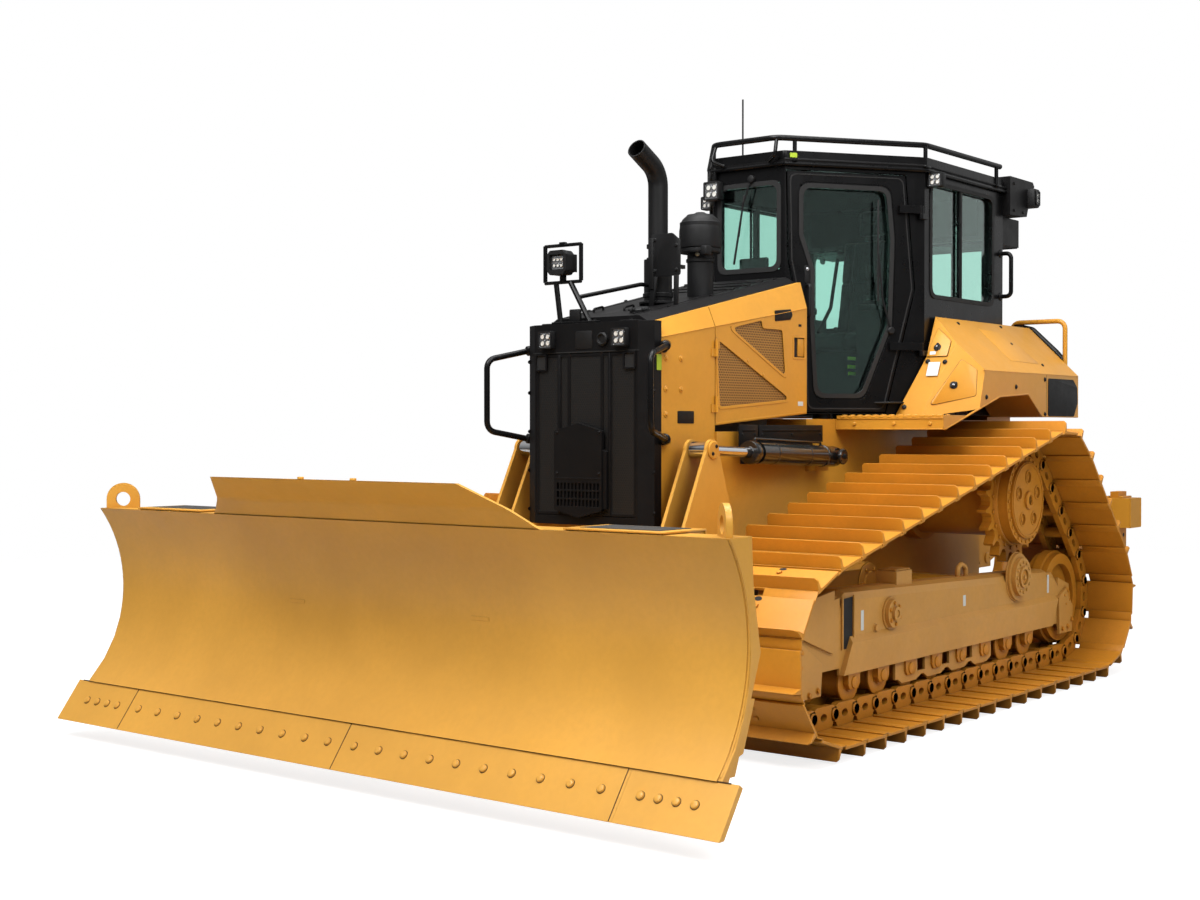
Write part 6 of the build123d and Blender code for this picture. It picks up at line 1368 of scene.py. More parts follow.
def work_lamp():
    """Lamp with its hoop, legs, brace and light field; and the bar back to the stack."""
    s = Shape("cab_black")
    x, y = 1.638, -0.16
    for corner in ((-0.117, 2.262), (0.117, 2.262)):
        s.add(tube([(x, y + corner[0], 2.262), (x, y + corner[0], 2.448)], 0.011, sides=12))
    for z in (2.258, 2.446):
        s.add(tube([(x, y - 0.117, z), (x, y + 0.117, z)], 0.009, sides=12))
    s.add(box((x - 0.012, y - 0.018, 2.446), (x + 0.012, y + 0.018, 2.462), 0.003))
    for a, b in (((y - 0.045, 2.255), (y - 0.015, 2.048)), ((y + 0.05, 2.255), (y + 0.175, 2.048))):
        s.add(tube([(x, a[0], a[1]), (x, b[0], b[1])], 0.014, sides=10))
    s.add(box((x - 0.03, y - 0.06, 2.045), (x + 0.018, y + 0.22, 2.056), 0.003))
    for dy in (-0.04, 0.2):
        bolt(s, (x - 0.006, y + dy, 2.056), UP, 0.009, "black_panel")
    s.add(box((x - 0.03, y + 0.03, 2.056), (x - 0.01, y + 0.1, 2.12), 0.006), "black_plastic")
    octagon = [(-0.062, -0.04), (-0.042, -0.062), (0.042, -0.062), (0.062, -0.04), (0.062, 0.04),
               (0.042, 0.062), (-0.042, 0.062), (-0.062, 0.04)]
    place = nose_at(x + 0.03) @ Matrix.Translation((y, 2.355, 0))
    s.add(box((x - 0.014, y - 0.012, 2.262), (x + 0.014, y + 0.012, 2.3), 0.002))
    plate(s, octagon, place @ Matrix.Translation((0, 0, -0.05)), 0.06, "black_plastic", 0.006)
    plate(s, octagon, place @ Matrix.Translation((0, 0, 0.004)), 0.022, "black_plastic",
          holes=[rounded(rect(-0.045, -0.04, 0.045, 0.04), 0.006)])
    lamp_face(s, place @ Matrix.Translation((0, 0, 0.01)), 0.046, 0.04, (3, 2), 0.004)
    for k in range(6):
        s.add(box((x - 0.052, y - 0.05 + 0.019 * k, 2.31), (x - 0.018, y - 0.045 + 0.019 * k, 2.4), 0.001),
              "black_plastic")
    s.add(tube([(x - 0.01, y + 0.1, 2.18), (1.27, 0.06, 2.262), (1.195, 0.06, 2.262)], 0.011, 0.03, 12))
    return s


# Cab details

DOOR_WINDOW = [(0.095, 2.9), (0.64, 2.896), (0.668, 2.604), (0.652, 2.114), (0.48, 1.7), (0.186, 1.7),
               (0.163, 2.105), (0.163, 2.417), (0.095, 2.613)]
DOOR_OUTLINE = [(0.014, 2.975), (0.746, 2.975), (0.806, 2.319), (0.622, 1.612), (0.125, 1.612),
                (0.111, 2.076), (0.024, 2.469)]


def gasket(shape, outline, place, inner, outer, radius, depth, material="rubber"):
    """A rubber frame over a window's edge, with round inner corners."""
    hole = rounded(grown(outline, -inner), radius, 5)
    shape.add(pierced(rounded(grown(outline, outer), radius * 1.2, 5), [hole], depth), material, place)


def door_details():
    """Window rubbers, rounded skin, handle, latch and wiper of a cab door."""
    s = Shape("black_plastic")
    gasket(s, DOOR_WINDOW, door_at(0.0), 0.016, 0.01, 0.06, 0.006)
    gasket(s, DOOR_WINDOW, door_at(-0.029), 0.014, -0.0005, 0.055, 0.029, "cab_black")
    gasket(s, DOOR_WINDOW, door_at(-0.058), 0.012, 0.006, 0.055, 0.005)
    skin = rounded(grown(DOOR_OUTLINE, -0.004), 0.05)
    s.add(pierced(skin, [rounded(grown(DOOR_WINDOW, 0.02), 0.07)], 0.003), "cab_black", door_at(0.0))
    s.add(pierced(rounded(grown(DOOR_OUTLINE, -0.014), 0.045), [rounded(grown(DOOR_OUTLINE, -0.021), 0.04)],
                  0.0045), "rubber", door_at(0.0008))
    place = door_at(0.0)
    plate(s, rounded(rect(0.118, 2.34, 0.15, 2.44), 0.012), place, 0.01, bevel=0.003)
    s.add(disc(0.0085, 0.006, 16, 0.001), "lamp_silver",
          facing(place @ Vector((0.134, 2.42, 0.01)), DOOR_OUT))
    grip = [place @ Vector(p) for p in ((0.134, 2.15, 0.0), (0.134, 2.15, 0.045), (0.134, 2.33, 0.045),
                                        (0.134, 2.33, 0.0))]
    s.add(tube(grip, 0.009, 0.02, 12))
    rail = [place @ Vector(p) for p in ((0.132, 1.74, -0.052), (0.132, 1.74, -0.085), (0.132, 2.06, -0.085),
                                        (0.132, 2.06, -0.052))]
    s.add(tube(rail, 0.01, 0.024, 12))
    arm = [place @ Vector(p) for p in ((0.655, 2.08, 0.012), (0.6, 2.25, 0.016), (0.572, 2.52, 0.014))]
    s.add(tube(arm, 0.0055, sides=8))
    blade = prism([(-0.006, -0.29), (0.006, -0.29), (0.004, 0.29), (-0.004, 0.29)], 0.01, 0.001)
    s.add(blade, "rubber", place @ Matrix.Translation((0.573, 2.54, 0.0035)))
    s.add(turned([(0.022, 0.0), (0.022, 0.016), (0.016, 0.022)], 20),
          at=facing(place @ Vector((0.655, 2.08, 0.0)), DOOR_OUT))
    return s


def window_details():
    """Rubbers of the fixed windows, roof gutter and rim, lime label and front wiper."""
    s = Shape("cab_black")
    front = rect(-0.203, 2.42, 0.203, 2.915)
    gasket(s, front, nose_at(0.147), 0.016, 0.012, 0.05, 0.005)
    gasket(s, front, nose_at(0.125), 0.014, -0.0005, 0.045, 0.022, "cab_black")
    rear = rect(-0.63, 2.18, 0.63, 2.715)
    gasket(s, rear, rear_at(-1.64), 0.018, 0.012, 0.06, 0.005)
    pane = flat_side(rect(-0.64, 2.29, -1.49, 2.955))
    half = Shape("rubber")
    gasket(half, pane, side_at(CAB_SIDE_Y), 0.012, 0.012, 0.055, 0.006)
    gasket(half, pane, side_at(CAB_SIDE_Y - 0.022), 0.01, -0.0005, 0.05, 0.022, "cab_black")
    half.add(box((-1.045, CAB_SIDE_Y - 0.012, 2.292), (-1.035, CAB_SIDE_Y + 0.004, 2.953), 0.002))
    s = s.joined(half.both_sides())
    plan = [(0.165, 0.245), (-0.5, 0.729), (-0.556, 0.768), (-1.658, 0.768)]
    for side in (1, -1):
        s.add(tube([(x, y * side, 3.012) for x, y in plan], 0.011, 0.05, 10))
        s.add(tube([(x, y * side, 3.036) for x, y in plan], 0.008, 0.05, 8), "black_panel")
    s.add(tube([(0.167, -0.245, 3.012), (0.167, 0.245, 3.012)], 0.011, sides=10))
    label = rect(0.02, 3.046, 0.064, 3.072)
    plate(s, rounded(label, 0.002), door_at(0.0245), 0.0012, "label_lime")
    rim = [(0.166, 0.246), (-0.503, 0.731), (-0.557, 0.767), (-1.622, 0.767)]
    rim += [(x, -y) for x, y in reversed(rim)]
    plate(s, rounded(rim, 0.03), Matrix.Translation((0, 0, 3.038)), 0.048, bevel=0.01)
    wiper = nose_at(0.147)
    arm = [wiper @ Vector(p) for p in ((0.02, 2.945, 0.012), (-0.03, 2.8, 0.02), (-0.06, 2.62, 0.016))]
    s.add(tube(arm, 0.005, sides=8), "black_plastic")
    s.add(prism([(-0.005, -0.2), (0.005, -0.2), (0.004, 0.2), (-0.004, 0.2)], 0.01, 0.001), "rubber",
          wiper @ Matrix.Translation((-0.062, 2.66, 0.004)) @ Matrix.Rotation(-0.18, 4, "Z"))
    s.add(disc(0.022, 0.02, 20, 0.004), "black_plastic", facing((0.147, 0.02, 2.945), AHEAD))
    return s


def roof_lamps():
    """Lamps under the roof's rear corners and the one at its far front corner."""
    s = Shape("black_plastic")
    for side in (1, -1):
        x, y = -0.625, 0.798 * side
        s.add(box((x - 0.03, y - 0.044, 2.918), (x + 0.03, y + 0.044, 3.004), 0.01))
        lamp_face(s, axes((x + 0.029, y, 2.961), LEFT, UP), 0.043, 0.042, (2, 2))
        s.add(box((x - 0.02, y - 0.04 * side - 0.012, 3.0), (x + 0.012, y - 0.04 * side + 0.012, 3.03),
                  0.003), "cab_black")
        for k in range(5):
            s.add(box((x - 0.042, y - 0.036 + 0.016 * k, 2.93), (x - 0.028, y - 0.031 + 0.016 * k, 2.992),
                      0.001))
    y = -0.225
    s.add(box((0.15, y - 0.055, 2.838), (0.2, y + 0.055, 2.95), 0.014))
    lamp_face(s, axes((0.199, y, 2.894), LEFT, UP), 0.053, 0.054, (2, 2))
    s.add(tube([(0.165, y, 2.945), (0.165, y, 3.02), (0.15, y, 3.03)], 0.012, 0.02, 10), "cab_black")
    return s


def guard_rail():
    """Round rail round the roof, replacing the many-sided one."""
    s = Shape("cab_black")
    z = 3.158
    half = [(0.19, 0.21), (-0.56, 0.755), (-1.55, 0.77)]
    route = [(x, -y, z) for x, y in reversed(half)] + [(x, y, z) for x, y in half]
    s.add(tube(route, 0.0165, 0.09, 16))
    for side in (1, -1):
        for x, y in ((-0.56, 0.755), (-1.5, 0.769), (0.1, 0.275)):
            low = 3.03
            s.add(tube([(x, y * side, z), (x, y * side, low)], 0.0125, sides=12))
            s.add(box((x - 0.03, y * side - 0.022, low - 0.004), (x + 0.03, y * side + 0.022, low + 0.008),
                      0.002))
        loop = [(0.18, 0.205 * side, z), (0.215, 0.215 * side, 3.06), (0.18, 0.15 * side, 3.03)]
        s.add(tube(loop, 0.011, 0.03, 10))
    return s


def cab_inside():
    """Armrests with levers, screen, pedals, floor mat, linings, bright straps and seat tubes."""
    s = Shape("rubber")
    for side in (1, -1):
        y = 0.33 * side
        low, high = sorted((y - 0.055, y + 0.055))
        s.add(box((-1.1, low, 2.245), (-0.7, high, 2.3), 0.018), "black_plastic")
        s.add(turned([(0.045, 0.0), (0.04, 0.03), (0.016, 0.055), (0.013, 0.13), (0.024, 0.14),
                      (0.028, 0.19), (0.018, 0.215)], 20), at=Matrix.Translation((-0.68, y, 2.285)))
        s.add(box((-0.76, low + 0.01, 2.222), (-0.6, high - 0.01, 2.262), 0.012), "black_plastic")
    s.add(box((-0.33, -0.36, 2.4), (-0.3, -0.16, 2.55), 0.01), "black_plastic")
    s.add(box((-0.3335, -0.345, 2.415), (-0.329, -0.175, 2.535), 0.001), "lamp_lens")
    s.add(tube([(-0.315, -0.26, 2.4), (-0.33, -0.3, 2.2), (-0.5, -0.4, 2.15)], 0.014, 0.04, 10),
          "black_plastic")
    s.add(box((-0.11, -0.2, 1.665), (-0.02, 0.2, 1.69), 0.008))
    for y in (-0.11, 0.11):
        s.add(box((-0.13, y - 0.045, 1.7), (-0.105, y + 0.045, 1.83), 0.008))
    s.add(box((-1.56, -0.69, 1.661), (-0.3, 0.69, 1.67), 0.003))
    half = [(0.076, 0.2), (-0.5, 0.64), (-0.56, 0.684), (-1.573, 0.684)]
    plate(s, half + [(x, -y) for x, y in reversed(half)], Matrix.Translation((0, 0, 2.982)), 0.022,
          "lining", 0.004)
    s.add(box((-1.576, -0.6, 2.745), (-1.566, 0.6, 2.975), 0.003), "lining")
    for y, z in ((0.28, 1.925), (0.28, 1.875), (0.285, 1.835)):
        s.add(box((-0.62, y - 0.002, z), (-0.5, y + 0.003, z + 0.02), 0.001), "hi_vis")
    for side in (1, -1):
        s.add(tube([(-1.28, 0.235 * side, 2.62), (-1.2, 0.24 * side, 2.3), (-1.05, 0.245 * side, 2.13)],
                   0.012, 0.05, 8))
    return s


# Fender details

FENDER_FRONT = (Vector((-0.39, 0.0, 1.6)), Vector((0.9029, 0.0, 0.4299)))


def front_panel_at():
    """On the fender's front face: local X across, local Y up the slope."""
    return axes(FENDER_FRONT[0], LEFT, (-0.4299, 0, 0.9029))


def up_slope(z):
    """A height on the machine as a distance up the fender's front face."""
    return (z - 1.6) / 0.9029


CORNER_A = Vector((-0.39, 0.816, 1.6))
CORNER_B = Vector((-0.596, 1.1, 1.767))
CORNER_C = Vector((-0.585, 0.938, 2.008))


def corner_panel_at():
    """On the slanted corner face of the fender."""
    n = (CORNER_B - CORNER_A).cross(CORNER_C - CORNER_A).normalized()
    x = (CORNER_B - CORNER_A).normalized()
    return axes(CORNER_A, x, n.cross(x))


def in_plane(place, points):
    """Points of the machine's layout in the two axes of a plane."""
    inverse = place.inverted()
    return [tuple((inverse @ Vector(p))[:2]) for p in points]


def raised_panel(shape, outline, place, radius):
    """A separate sheet on a face: a dark joint round a slightly raised panel."""
    plate(shape, rounded(grown(outline, 0.0016), radius), place, 0.0008, "seam")
    plate(shape, rounded(outline, radius), place, 0.0026, "machine_yellow", 0.0008)


def turn_latch(shape, at, normal, spin):
    """A round latch with a grip across it, turned by spin."""
    place = facing(at, normal, spin)
    shape.add(turned([(0.022, 0.0), (0.022, 0.003), (0.016, 0.005)], 20), "black_plastic", place)
    shape.add(box((-0.024, -0.007, 0.004), (0.024, 0.007, 0.014), 0.003), "black_plastic", place)
    shape.add(disc(0.006, 0.003, 10), "lamp_silver", place @ Matrix.Translation((0, 0, 0.013)))


def fender_details():
    """Hatches, latches, bolts, labels, joints and the step's studs on the fender."""
    s = Shape()
    front = front_panel_at()
    normal = FENDER_FRONT[1]

    def on_front(y, z, out=0.0):
        """A point on the fender's front face."""
        return front @ Vector((y, up_slope(z), out))

    hatch = [(0.77, up_slope(1.933)), (0.775, up_slope(1.952)), (0.806, up_slope(2.1)),
             (0.905, up_slope(2.02)), (0.9, up_slope(1.933))]
    raised_panel(s, hatch, front, 0.008)
    turn_latch(s, on_front(0.829, 1.985, 0.0026), normal, 1.5)
    for y, z in ((0.785, 1.905), (0.894, 1.9), (0.7, 1.64)):
        bolt(s, on_front(y, z), normal, 0.011, "black_plastic", head=ROUND_HEAD)
    for y0, y1, z0, z1 in ((0.788, 0.826, 1.942, 1.962), (0.795, 0.868, 1.818, 1.898)):
        label = rect(y0, up_slope(z0), y1, up_slope(z1))
        plate(s, rounded(label, 0.003), front @ Matrix.Translation((0, 0, 0.0028)), 0.001, "label_white")
    place = corner_panel_at()
    corner_normal = (CORNER_B - CORNER_A).cross(CORNER_C - CORNER_A).normalized()
    panel = in_plane(place, [(-0.423, 0.849, 1.647), (-0.565, 1.071, 1.701), (-0.6, 1.062, 1.853),
                             (-0.576, 0.977, 1.914)])
    raised_panel(s, panel, place, 0.016)
    turn_latch(s, place @ Vector((*in_plane(place, [(-0.517, 0.956, 1.763)])[0], 0.0026)), corner_normal, 0.6)
    for x, z in ((-0.641, 1.696), (-1.05, 1.763), (-1.476, 1.817), (-1.478, 1.605)):
        bolt(s, (x, FENDER_SIDE, z), LEFT, 0.011, "black_plastic", head=ROUND_HEAD)
    slope_x, slope_y = Vector(BACK), Vector((0, -0.33, 0.32)).normalized()
    slope = axes((0, 0.77, 2.17), slope_x, slope_y)
    slope_normal = slope_x.cross(slope_y)
    service = in_plane(slope, [(-1.124, 0.821, 2.121), (-1.138, 1.026, 1.922), (-1.547, 1.034, 1.914),
                               (-1.475, 0.834, 2.107)])
    raised_panel(s, service, slope, 0.012)
    for at in ((-1.524, 0.79, 2.151), (-1.415, 0.908, 2.036), (-1.58, 1.04, 1.908), (-0.9, 0.8, 2.141)):
        bolt(s, slope @ Vector((*in_plane(slope, [at])[0], 0.0)), slope_normal, 0.01, "black_plastic",
             head=ROUND_HEAD)
    blank = [(1.525, 1.59), (1.93, 1.59), (1.995, 1.68), (1.985, 1.78), (1.92, 1.825), (1.525, 1.825)]
    plate(s, rounded(blank, 0.016), side_at(FENDER_SIDE), 0.003, "black_plastic", 0.001)
    joint = flat_side(rect(-1.4995, 1.6, -1.5015, 1.845))
    plate(s, joint, side_at(FENDER_SIDE), 0.0006, "rubber")
    s.add(tube([(-0.6, 1.0985, 1.849), (-2.005, 1.0985, 1.849)], 0.003, sides=8))
    for k in range(13):
        y = 0.47 + 0.05 * k
        s.add(turned([(0.015, 0.0), (0.012, 0.005), (0.007, 0.005)], 14), at=facing((-0.13, y, 1.59), UP))
        s.add(turned([(0.015, 0.0), (0.012, 0.005), (0.007, 0.005)], 14), at=facing((-0.21, y, 1.59), UP))
        s.add(box((-0.0955, y - 0.012, 1.578), (-0.093, y + 0.012, 1.588), 0.001))
    s.add(box((-0.096, 0.44, 1.5105), (-0.0915, 1.098, 1.5165), 0.001))
    s.add(box((-0.096, 0.44, 1.57), (-0.0905, 1.098, 1.576), 0.001))
    for y in (0.55, 0.8, 1.02):
        bolt(s, (-0.095, y, 1.543), AHEAD, 0.01)
    edge = [(-0.115, 1.512), (-0.826, 1.702), (-1.225, 1.724), (-1.435, 1.592), (-2.005, 1.592)]
    s.add(tube([(x, 1.0975, z) for x, z in edge], 0.006, sides=8))
    return s


def rear_rails():
    """Round rails at the tail and the cab's grab handles."""
    s = Shape("cab_black")
    x = -2.04
    s.add(tube([(x, 0.64, 2.05), (x, 0.64, 2.21), (x, 1.0, 2.21), (x, 1.0, 1.8)], 0.0155, 0.05, 14),
          "machine_yellow")
    for y, z in ((0.64, 2.07), (1.0, 1.82)):
        s.add(box((x, y - 0.02, z - 0.02), (-2.0103, y + 0.02, z + 0.02), 0.003), "machine_yellow")
        bolt(s, (x - 0.014, y, z), BACK, 0.008, "black_plastic")
    s.add(tube([(x, 0.66, 2.19), (x, 0.78, 2.16), (x, 0.94, 2.01), (x, 0.985, 1.96)], 0.019, 0.05, 14))
    x = -1.61
    s.add(tube([(x, 0.75, 2.35), (x, 0.82, 2.35), (x, 0.82, 2.62), (x, 0.75, 2.62)], 0.0135, 0.035, 14))
    for z in (2.35, 2.62):
        s.add(disc(0.026, 0.006, 18, 0.002), at=facing((x, 0.75, z), LEFT))
    return s


def cooler_details():
    """Lamp, fan grilles, bolts and eyes of the cooling unit behind the cab."""
    s = Shape("black_panel")
    for side in (1, -1):
        y = 0.7995 * side
        low, high = sorted((0.755 * side, 0.85 * side))
        s.add(box((-1.99, low, 2.94), (-1.905, high, 3.06), 0.012), "black_plastic")
        lamp_face(s, facing((-1.95, 0.849 * side, 3.0), (-0.15, side, 0.0)), 0.042, 0.046, (2, 2))
        for x, z in ((-1.7, 2.9), (-1.7, 3.07), (-1.84, 2.9)):
            bolt(s, (x, y, z), (0, side, 0), 0.009)
        s.add(tube([(-1.7, 0.6 * side, 2.7), (-1.7, 0.6 * side, 2.655), (-1.735, 0.6 * side, 2.655),
                    (-1.735, 0.6 * side, 2.7)], 0.01, 0.012, 10))
    for y in (-0.34, 0.34):
        place = facing((-2.0, y, 2.783), BACK)
        for r in (0.03, 0.048, 0.066, 0.078):
            s.add(ring(r, r - 0.004, 0.006, 28), "black_plastic", place)
        s.add(disc(0.02, 0.008, 20, 0.002), "black_plastic", place)
        for k in range(4):
            s.add(box((-0.08, -0.002, 0.001), (0.08, 0.002, 0.005)), "black_plastic",
                  place @ Matrix.Rotation(math.pi * k / 4, 4, "Z"))
    s.add(box((-2.0005, -0.69, 2.69), (-1.9975, 0.69, 2.697)))
    for y in (-0.6, -0.2, 0.2, 0.6):
        s.add(tube([(-1.7, y, 3.112), (-1.95, y, 3.112)], 0.004, sides=6))
    return s


# Rear body and ripper details

def tail_details():
    """Raised panels, bolts, filler cap and round lamps on the tail."""
    s = Shape("black_plastic")
    x = -2.0005
    for y0, y1, z0, z1 in ((-0.4, 0.4, 1.56, 1.84), (-0.4, 0.4, 1.87, 2.13)):
        panel = rect(-y1, z0, -y0, z1)
        raised_panel(s, panel, rear_at(x + 0.0005), 0.02)
    for y in (-0.37, 0.37):
        for z in (1.59, 1.81, 1.9, 2.1):
            bolt(s, (x - 0.002, y, z), BACK, 0.01, "machine_yellow")
    s.add(turned([(0.06, 0.0), (0.06, 0.02), (0.052, 0.03), (0.026, 0.034)], 28),
          at=facing((-1.83, 0.2, 2.17), UP))
    s.add(box((-1.85, 0.15, 2.2), (-1.81, 0.25, 2.216), 0.005))
    for side in (1, -1):
        place = facing((-2.0105, 0.9 * side, 1.72), BACK)
        s.add(turned([(0.055, 0.0), (0.055, 0.016), (0.048, 0.02)], 28), at=place)
        s.add(turned([(0.046, 0.0), (0.044, 0.004), (0.02, 0.008)], 28), "lamp_lens",
              place @ Matrix.Translation((0, 0, 0.018)))
        for y, z in ((0.52, 1.62), (0.52, 2.08), (1.04, 1.62)):
            bolt(s, (-2.01, y * side, z), BACK, 0.01, "machine_yellow")
    return s


RIPPER_ANGLE = math.radians(17.0)
RIPPER_BACK = (-2.27 - 0.96 * math.cos(RIPPER_ANGLE), 0.64 + 0.96 * math.sin(RIPPER_ANGLE))


def pin_head(shape, at, normal, radius=0.036):
    """The end of a ripper pin with its keeper bolt."""
    place = facing(at, normal)
    shape.add(turned([(radius, 0.0), (radius, 0.007), (radius - 0.006, 0.011), (radius * 0.45, 0.011)], 24),
              "machine_yellow", place)
    bolt(shape, place @ Vector((radius * 0.55, 0, 0.011)), normal, 0.006, "machine_yellow", washer=False)


def bracket_details():
    """Pins, bolts and welds of the ripper's brackets on the tail."""
    s = Shape()
    for side in (1, -1):
        for z in (0.64, 1.03):
            pin_head(s, (-2.27, 0.361 * side, z), (0, side, 0))
        pin_head(s, (-2.33, 0.19 * side, 1.4), (0, side, 0), 0.034)
        for z in (0.62, 0.85, 1.08, 1.31, 1.42):
            bolt(s, (-2.06, 0.388 * side, z), BACK, 0.014)
        weld(s, [(-2.061, 0.236 * side, 0.585), (-2.061, 0.236 * side, 1.118)], 0.006)
    return s


def beam_details():
    """Pins, shank covers, clamps and end welds of the ripper beam."""
    s = Shape()
    x, z = RIPPER_BACK
    for side in (1, -1):
        for pin_z in (z, z + 0.39):
            pin_head(s, (x, 0.361 * side, pin_z), (0, side, 0))
    back = x - 0.06 - 0.02
    for y in (-0.86, 0.0, 0.86):
        for dz in (-0.045, 0.045):
            s.add(disc(0.026, 0.004, 20, 0.001), at=facing((back - 0.206, y, z + dz), BACK))
        for dy in (-0.05, 0.05):
            s.add(box((back - 0.2, y + dy - 0.012, z + 0.1045), (back - 0.01, y + dy + 0.012, z + 0.118),
                      0.003))
    for side in (1, -1):
        end = 0.985 * side
        weld(s, [(back - 0.204, end, z - 0.1), (back - 0.204, end, z + 0.1)], 0.005)
        weld(s, [(back, end, z - 0.1), (back, end, z + 0.1)], 0.005)
    return s


def shank_tips():
    """Wear caps on the three ripper shanks, with their pins."""
    s = Shape("shank_steel")
    x, z = RIPPER_BACK
    mid = x - 0.06 - 0.02 - 0.105
    for y in (-0.86, 0.0, 0.86):
        cap = [(mid + 0.012, 0.432), (mid + 0.184, 0.352), (mid + 0.176, 0.364), (mid + 0.136, 0.455),
               (mid + 0.088, 0.54), (mid + 0.012, 0.505)]
        s.add(side_prism(cap, y - 0.038, y + 0.038, 0.006))
        s.add(tube([(mid + 0.06, y - 0.044, 0.47), (mid + 0.06, y + 0.044, 0.47)], 0.011, sides=12))
        for dz in (0.1, 0.0, -0.1, -0.16):
            s.add(tube([(mid - 0.02, y - 0.0318, z + dz), (mid - 0.02, y + 0.0318, z + dz)], 0.014,
                       sides=16), "rubber")
    return s


# Seat

CELL = 0.01


def rounded_block(outline, across, radius):
    """A block outlined in X and Z, as wide as across, with round edges."""
    return side_prism(outline, across[0], across[1], radius)


def puffed(name, form, cap, channels):
    """Blows a form up as stuffed cloth, holds it near its start and presses its seams in."""
    mesh = bpy.data.meshes.new(name)
    mesh.from_pydata([(x + SHIFT, y, z) for x, y, z in form[0]], [], form[1])
    piece = bpy.data.objects.new(name, mesh)
    scene = bpy.context.scene
    scene.collection.objects.link(piece)
    remesh = piece.modifiers.new("cells", "REMESH")
    remesh.mode = "VOXEL"
    remesh.voxel_size = CELL
    settle(piece)
    start = [v.co.copy() for v in piece.data.vertices]
    cloth = piece.modifiers.new("cloth", "CLOTH")
    cloth.settings.use_pressure = True
    cloth.settings.uniform_pressure_force = 4.0
    cloth.settings.effector_weights.gravity = 0.0
    for frame_number in range(1, 21):
        scene.frame_set(frame_number)
    settle(piece)
    scene.frame_set(1)
    for v, home in zip(piece.data.vertices, start):
        move = v.co - home
        if move.length > cap:
            v.co = home + move.normalized() * cap
    fine = piece.modifiers.new("fine", "SUBSURF")
    fine.levels = fine.render_levels = 1
    settle(piece)
    for v in piece.data.vertices:
        for axis, at, width, depth in channels:
            near = abs(v.co[axis] - (at + SHIFT if axis == 0 else at)) / width
            if near < 1.0:
                v.co -= v.normal * depth * (1.0 - near) ** 2 * (1.0 + 2.0 * near)
    piece.data.polygons.foreach_set("use_smooth", [True] * len(piece.data.polygons))
    piece.data.materials.append(MATERIALS["seat_fabric"])
    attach(piece, "chassis")
    return piece


def settle(piece):
    """The piece's mesh becomes what its modifiers make of it."""
    bpy.context.view_layer.update()
    made = piece.evaluated_get(bpy.context.evaluated_depsgraph_get())
    mesh = bpy.data.meshes.new_from_object(made)
    piece.modifiers.clear()
    piece.data = mesh


SEAT_LOW = [(-1.17, 2.002), (-0.716, 2.002), (-0.712, 2.085), (-0.76, 2.1), (-1.17, 2.096)]
SEAT_BACK = [(-1.186, 2.126), (-1.094, 2.126), (-1.194, 2.722), (-1.284, 2.722)]
SEAT_HEAD = [(-1.226, 2.752), (-1.284, 2.752), (-1.288, 2.908), (-1.234, 2.908)]


def make_seat():
    """Cushion, back and head of the seat as stuffed cloth."""
    base = puffed("seat_cushion_soft", rounded_block(SEAT_LOW, (-0.236, 0.236), 0.022), 0.01,
                  [(1, 0.125, 0.014, 0.009), (1, -0.125, 0.014, 0.009), (0, -0.9, 0.014, 0.007)])
    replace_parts(base, "seat_cushion")
    back = puffed("seat_back_soft", rounded_block(SEAT_BACK, (-0.15, 0.232), 0.024), 0.01,
                  [(1, 0.145, 0.014, 0.009), (1, -0.062, 0.014, 0.009), (2, 2.45, 0.014, 0.007)])
    puffed("seat_head_soft", rounded_block(SEAT_HEAD, (-0.055, 0.128), 0.018), 0.008,
           [(2, 2.83, 0.012, 0.006)])
    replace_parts(back, "seat_back")


def seat_details():
    """Headrest posts, the block under the cushion and the recliner joints."""
    s = Shape("black_plastic")
    for y in (-0.005, 0.078):
        s.add(tube([(-1.245, y, 2.69), (-1.262, y, 2.775)], 0.007, sides=12), "rod_chrome")
    for y in (-0.162, 0.239):
        s.add(disc(0.04, 0.01, 24, 0.003), at=facing((-1.135, y - 0.005, 2.13), LEFT))
    s.add(box((-1.18, -0.19, 1.965), (-0.79, 0.19, 2.0), 0.01))
    return s


# Everything in its place

LIFT_ENDS = ((0.17, 0.55, 1.362), (1.435, 0.55, 1.41))
ANGLE_ENDS = ((1.945, 0.56, 0.85), (2.95, 0.56, 0.85))
TILT_ENDS = ((2.905, 0.0, 1.01), (2.905, -0.64, 1.01))
RIPPER_ENDS = ((-2.33, 0.13, 1.4), (-3.128, 0.13, 0.981))


def shown(form, name, body, slot, mirror=False):
    """Makes a piece of a form, with its mirror image if it has one."""
    whole = form.both_sides() if mirror else form
    return whole.make(name, body, slot)


def on_side(form, side):
    """The form on the left of the machine, or its mirror image on the right."""
    return form if side > 0 else form.mirrored()


make_seat()
shown(seat_details(), "seat_fittings", "chassis", "black_plastic")
shown(hub_details(), "hub_details", "chassis", "track_yellow", True)
shown(roller_details(), "roller_details", "chassis", "track_yellow", True)
shown(frame_details(), "frame_details", "chassis", "machine_yellow", True)
shown(blade_skin(), "blade_skin", "blade", "machine_yellow")
shown(blade_details(), "blade_front_details", "blade", "machine_yellow")
shown(blade_rear(), "blade_rear_details", "blade", "machine_yellow")
shown(tower_details(), "tower_details", "c_frame", "machine_yellow", True)
shown(arm_details(), "arm_details", "c_frame", "machine_yellow", True)
shown(nose_details(), "nose_details", "chassis", "black_plastic")
shown(grille_details(), "grille_details", "chassis", "black_panel")
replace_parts(shown(nose_loop(), "nose_loops_round", "chassis", "cab_black", True), "nose_loops")
shown(hood_fixed_details(), "hood_panel_details", "chassis", "machine_yellow", True)
shown(hood_top_details(), "hood_top_details", "chassis", "black_panel")
shown(stack_details(), "stack_details", "chassis", "exhaust_black")
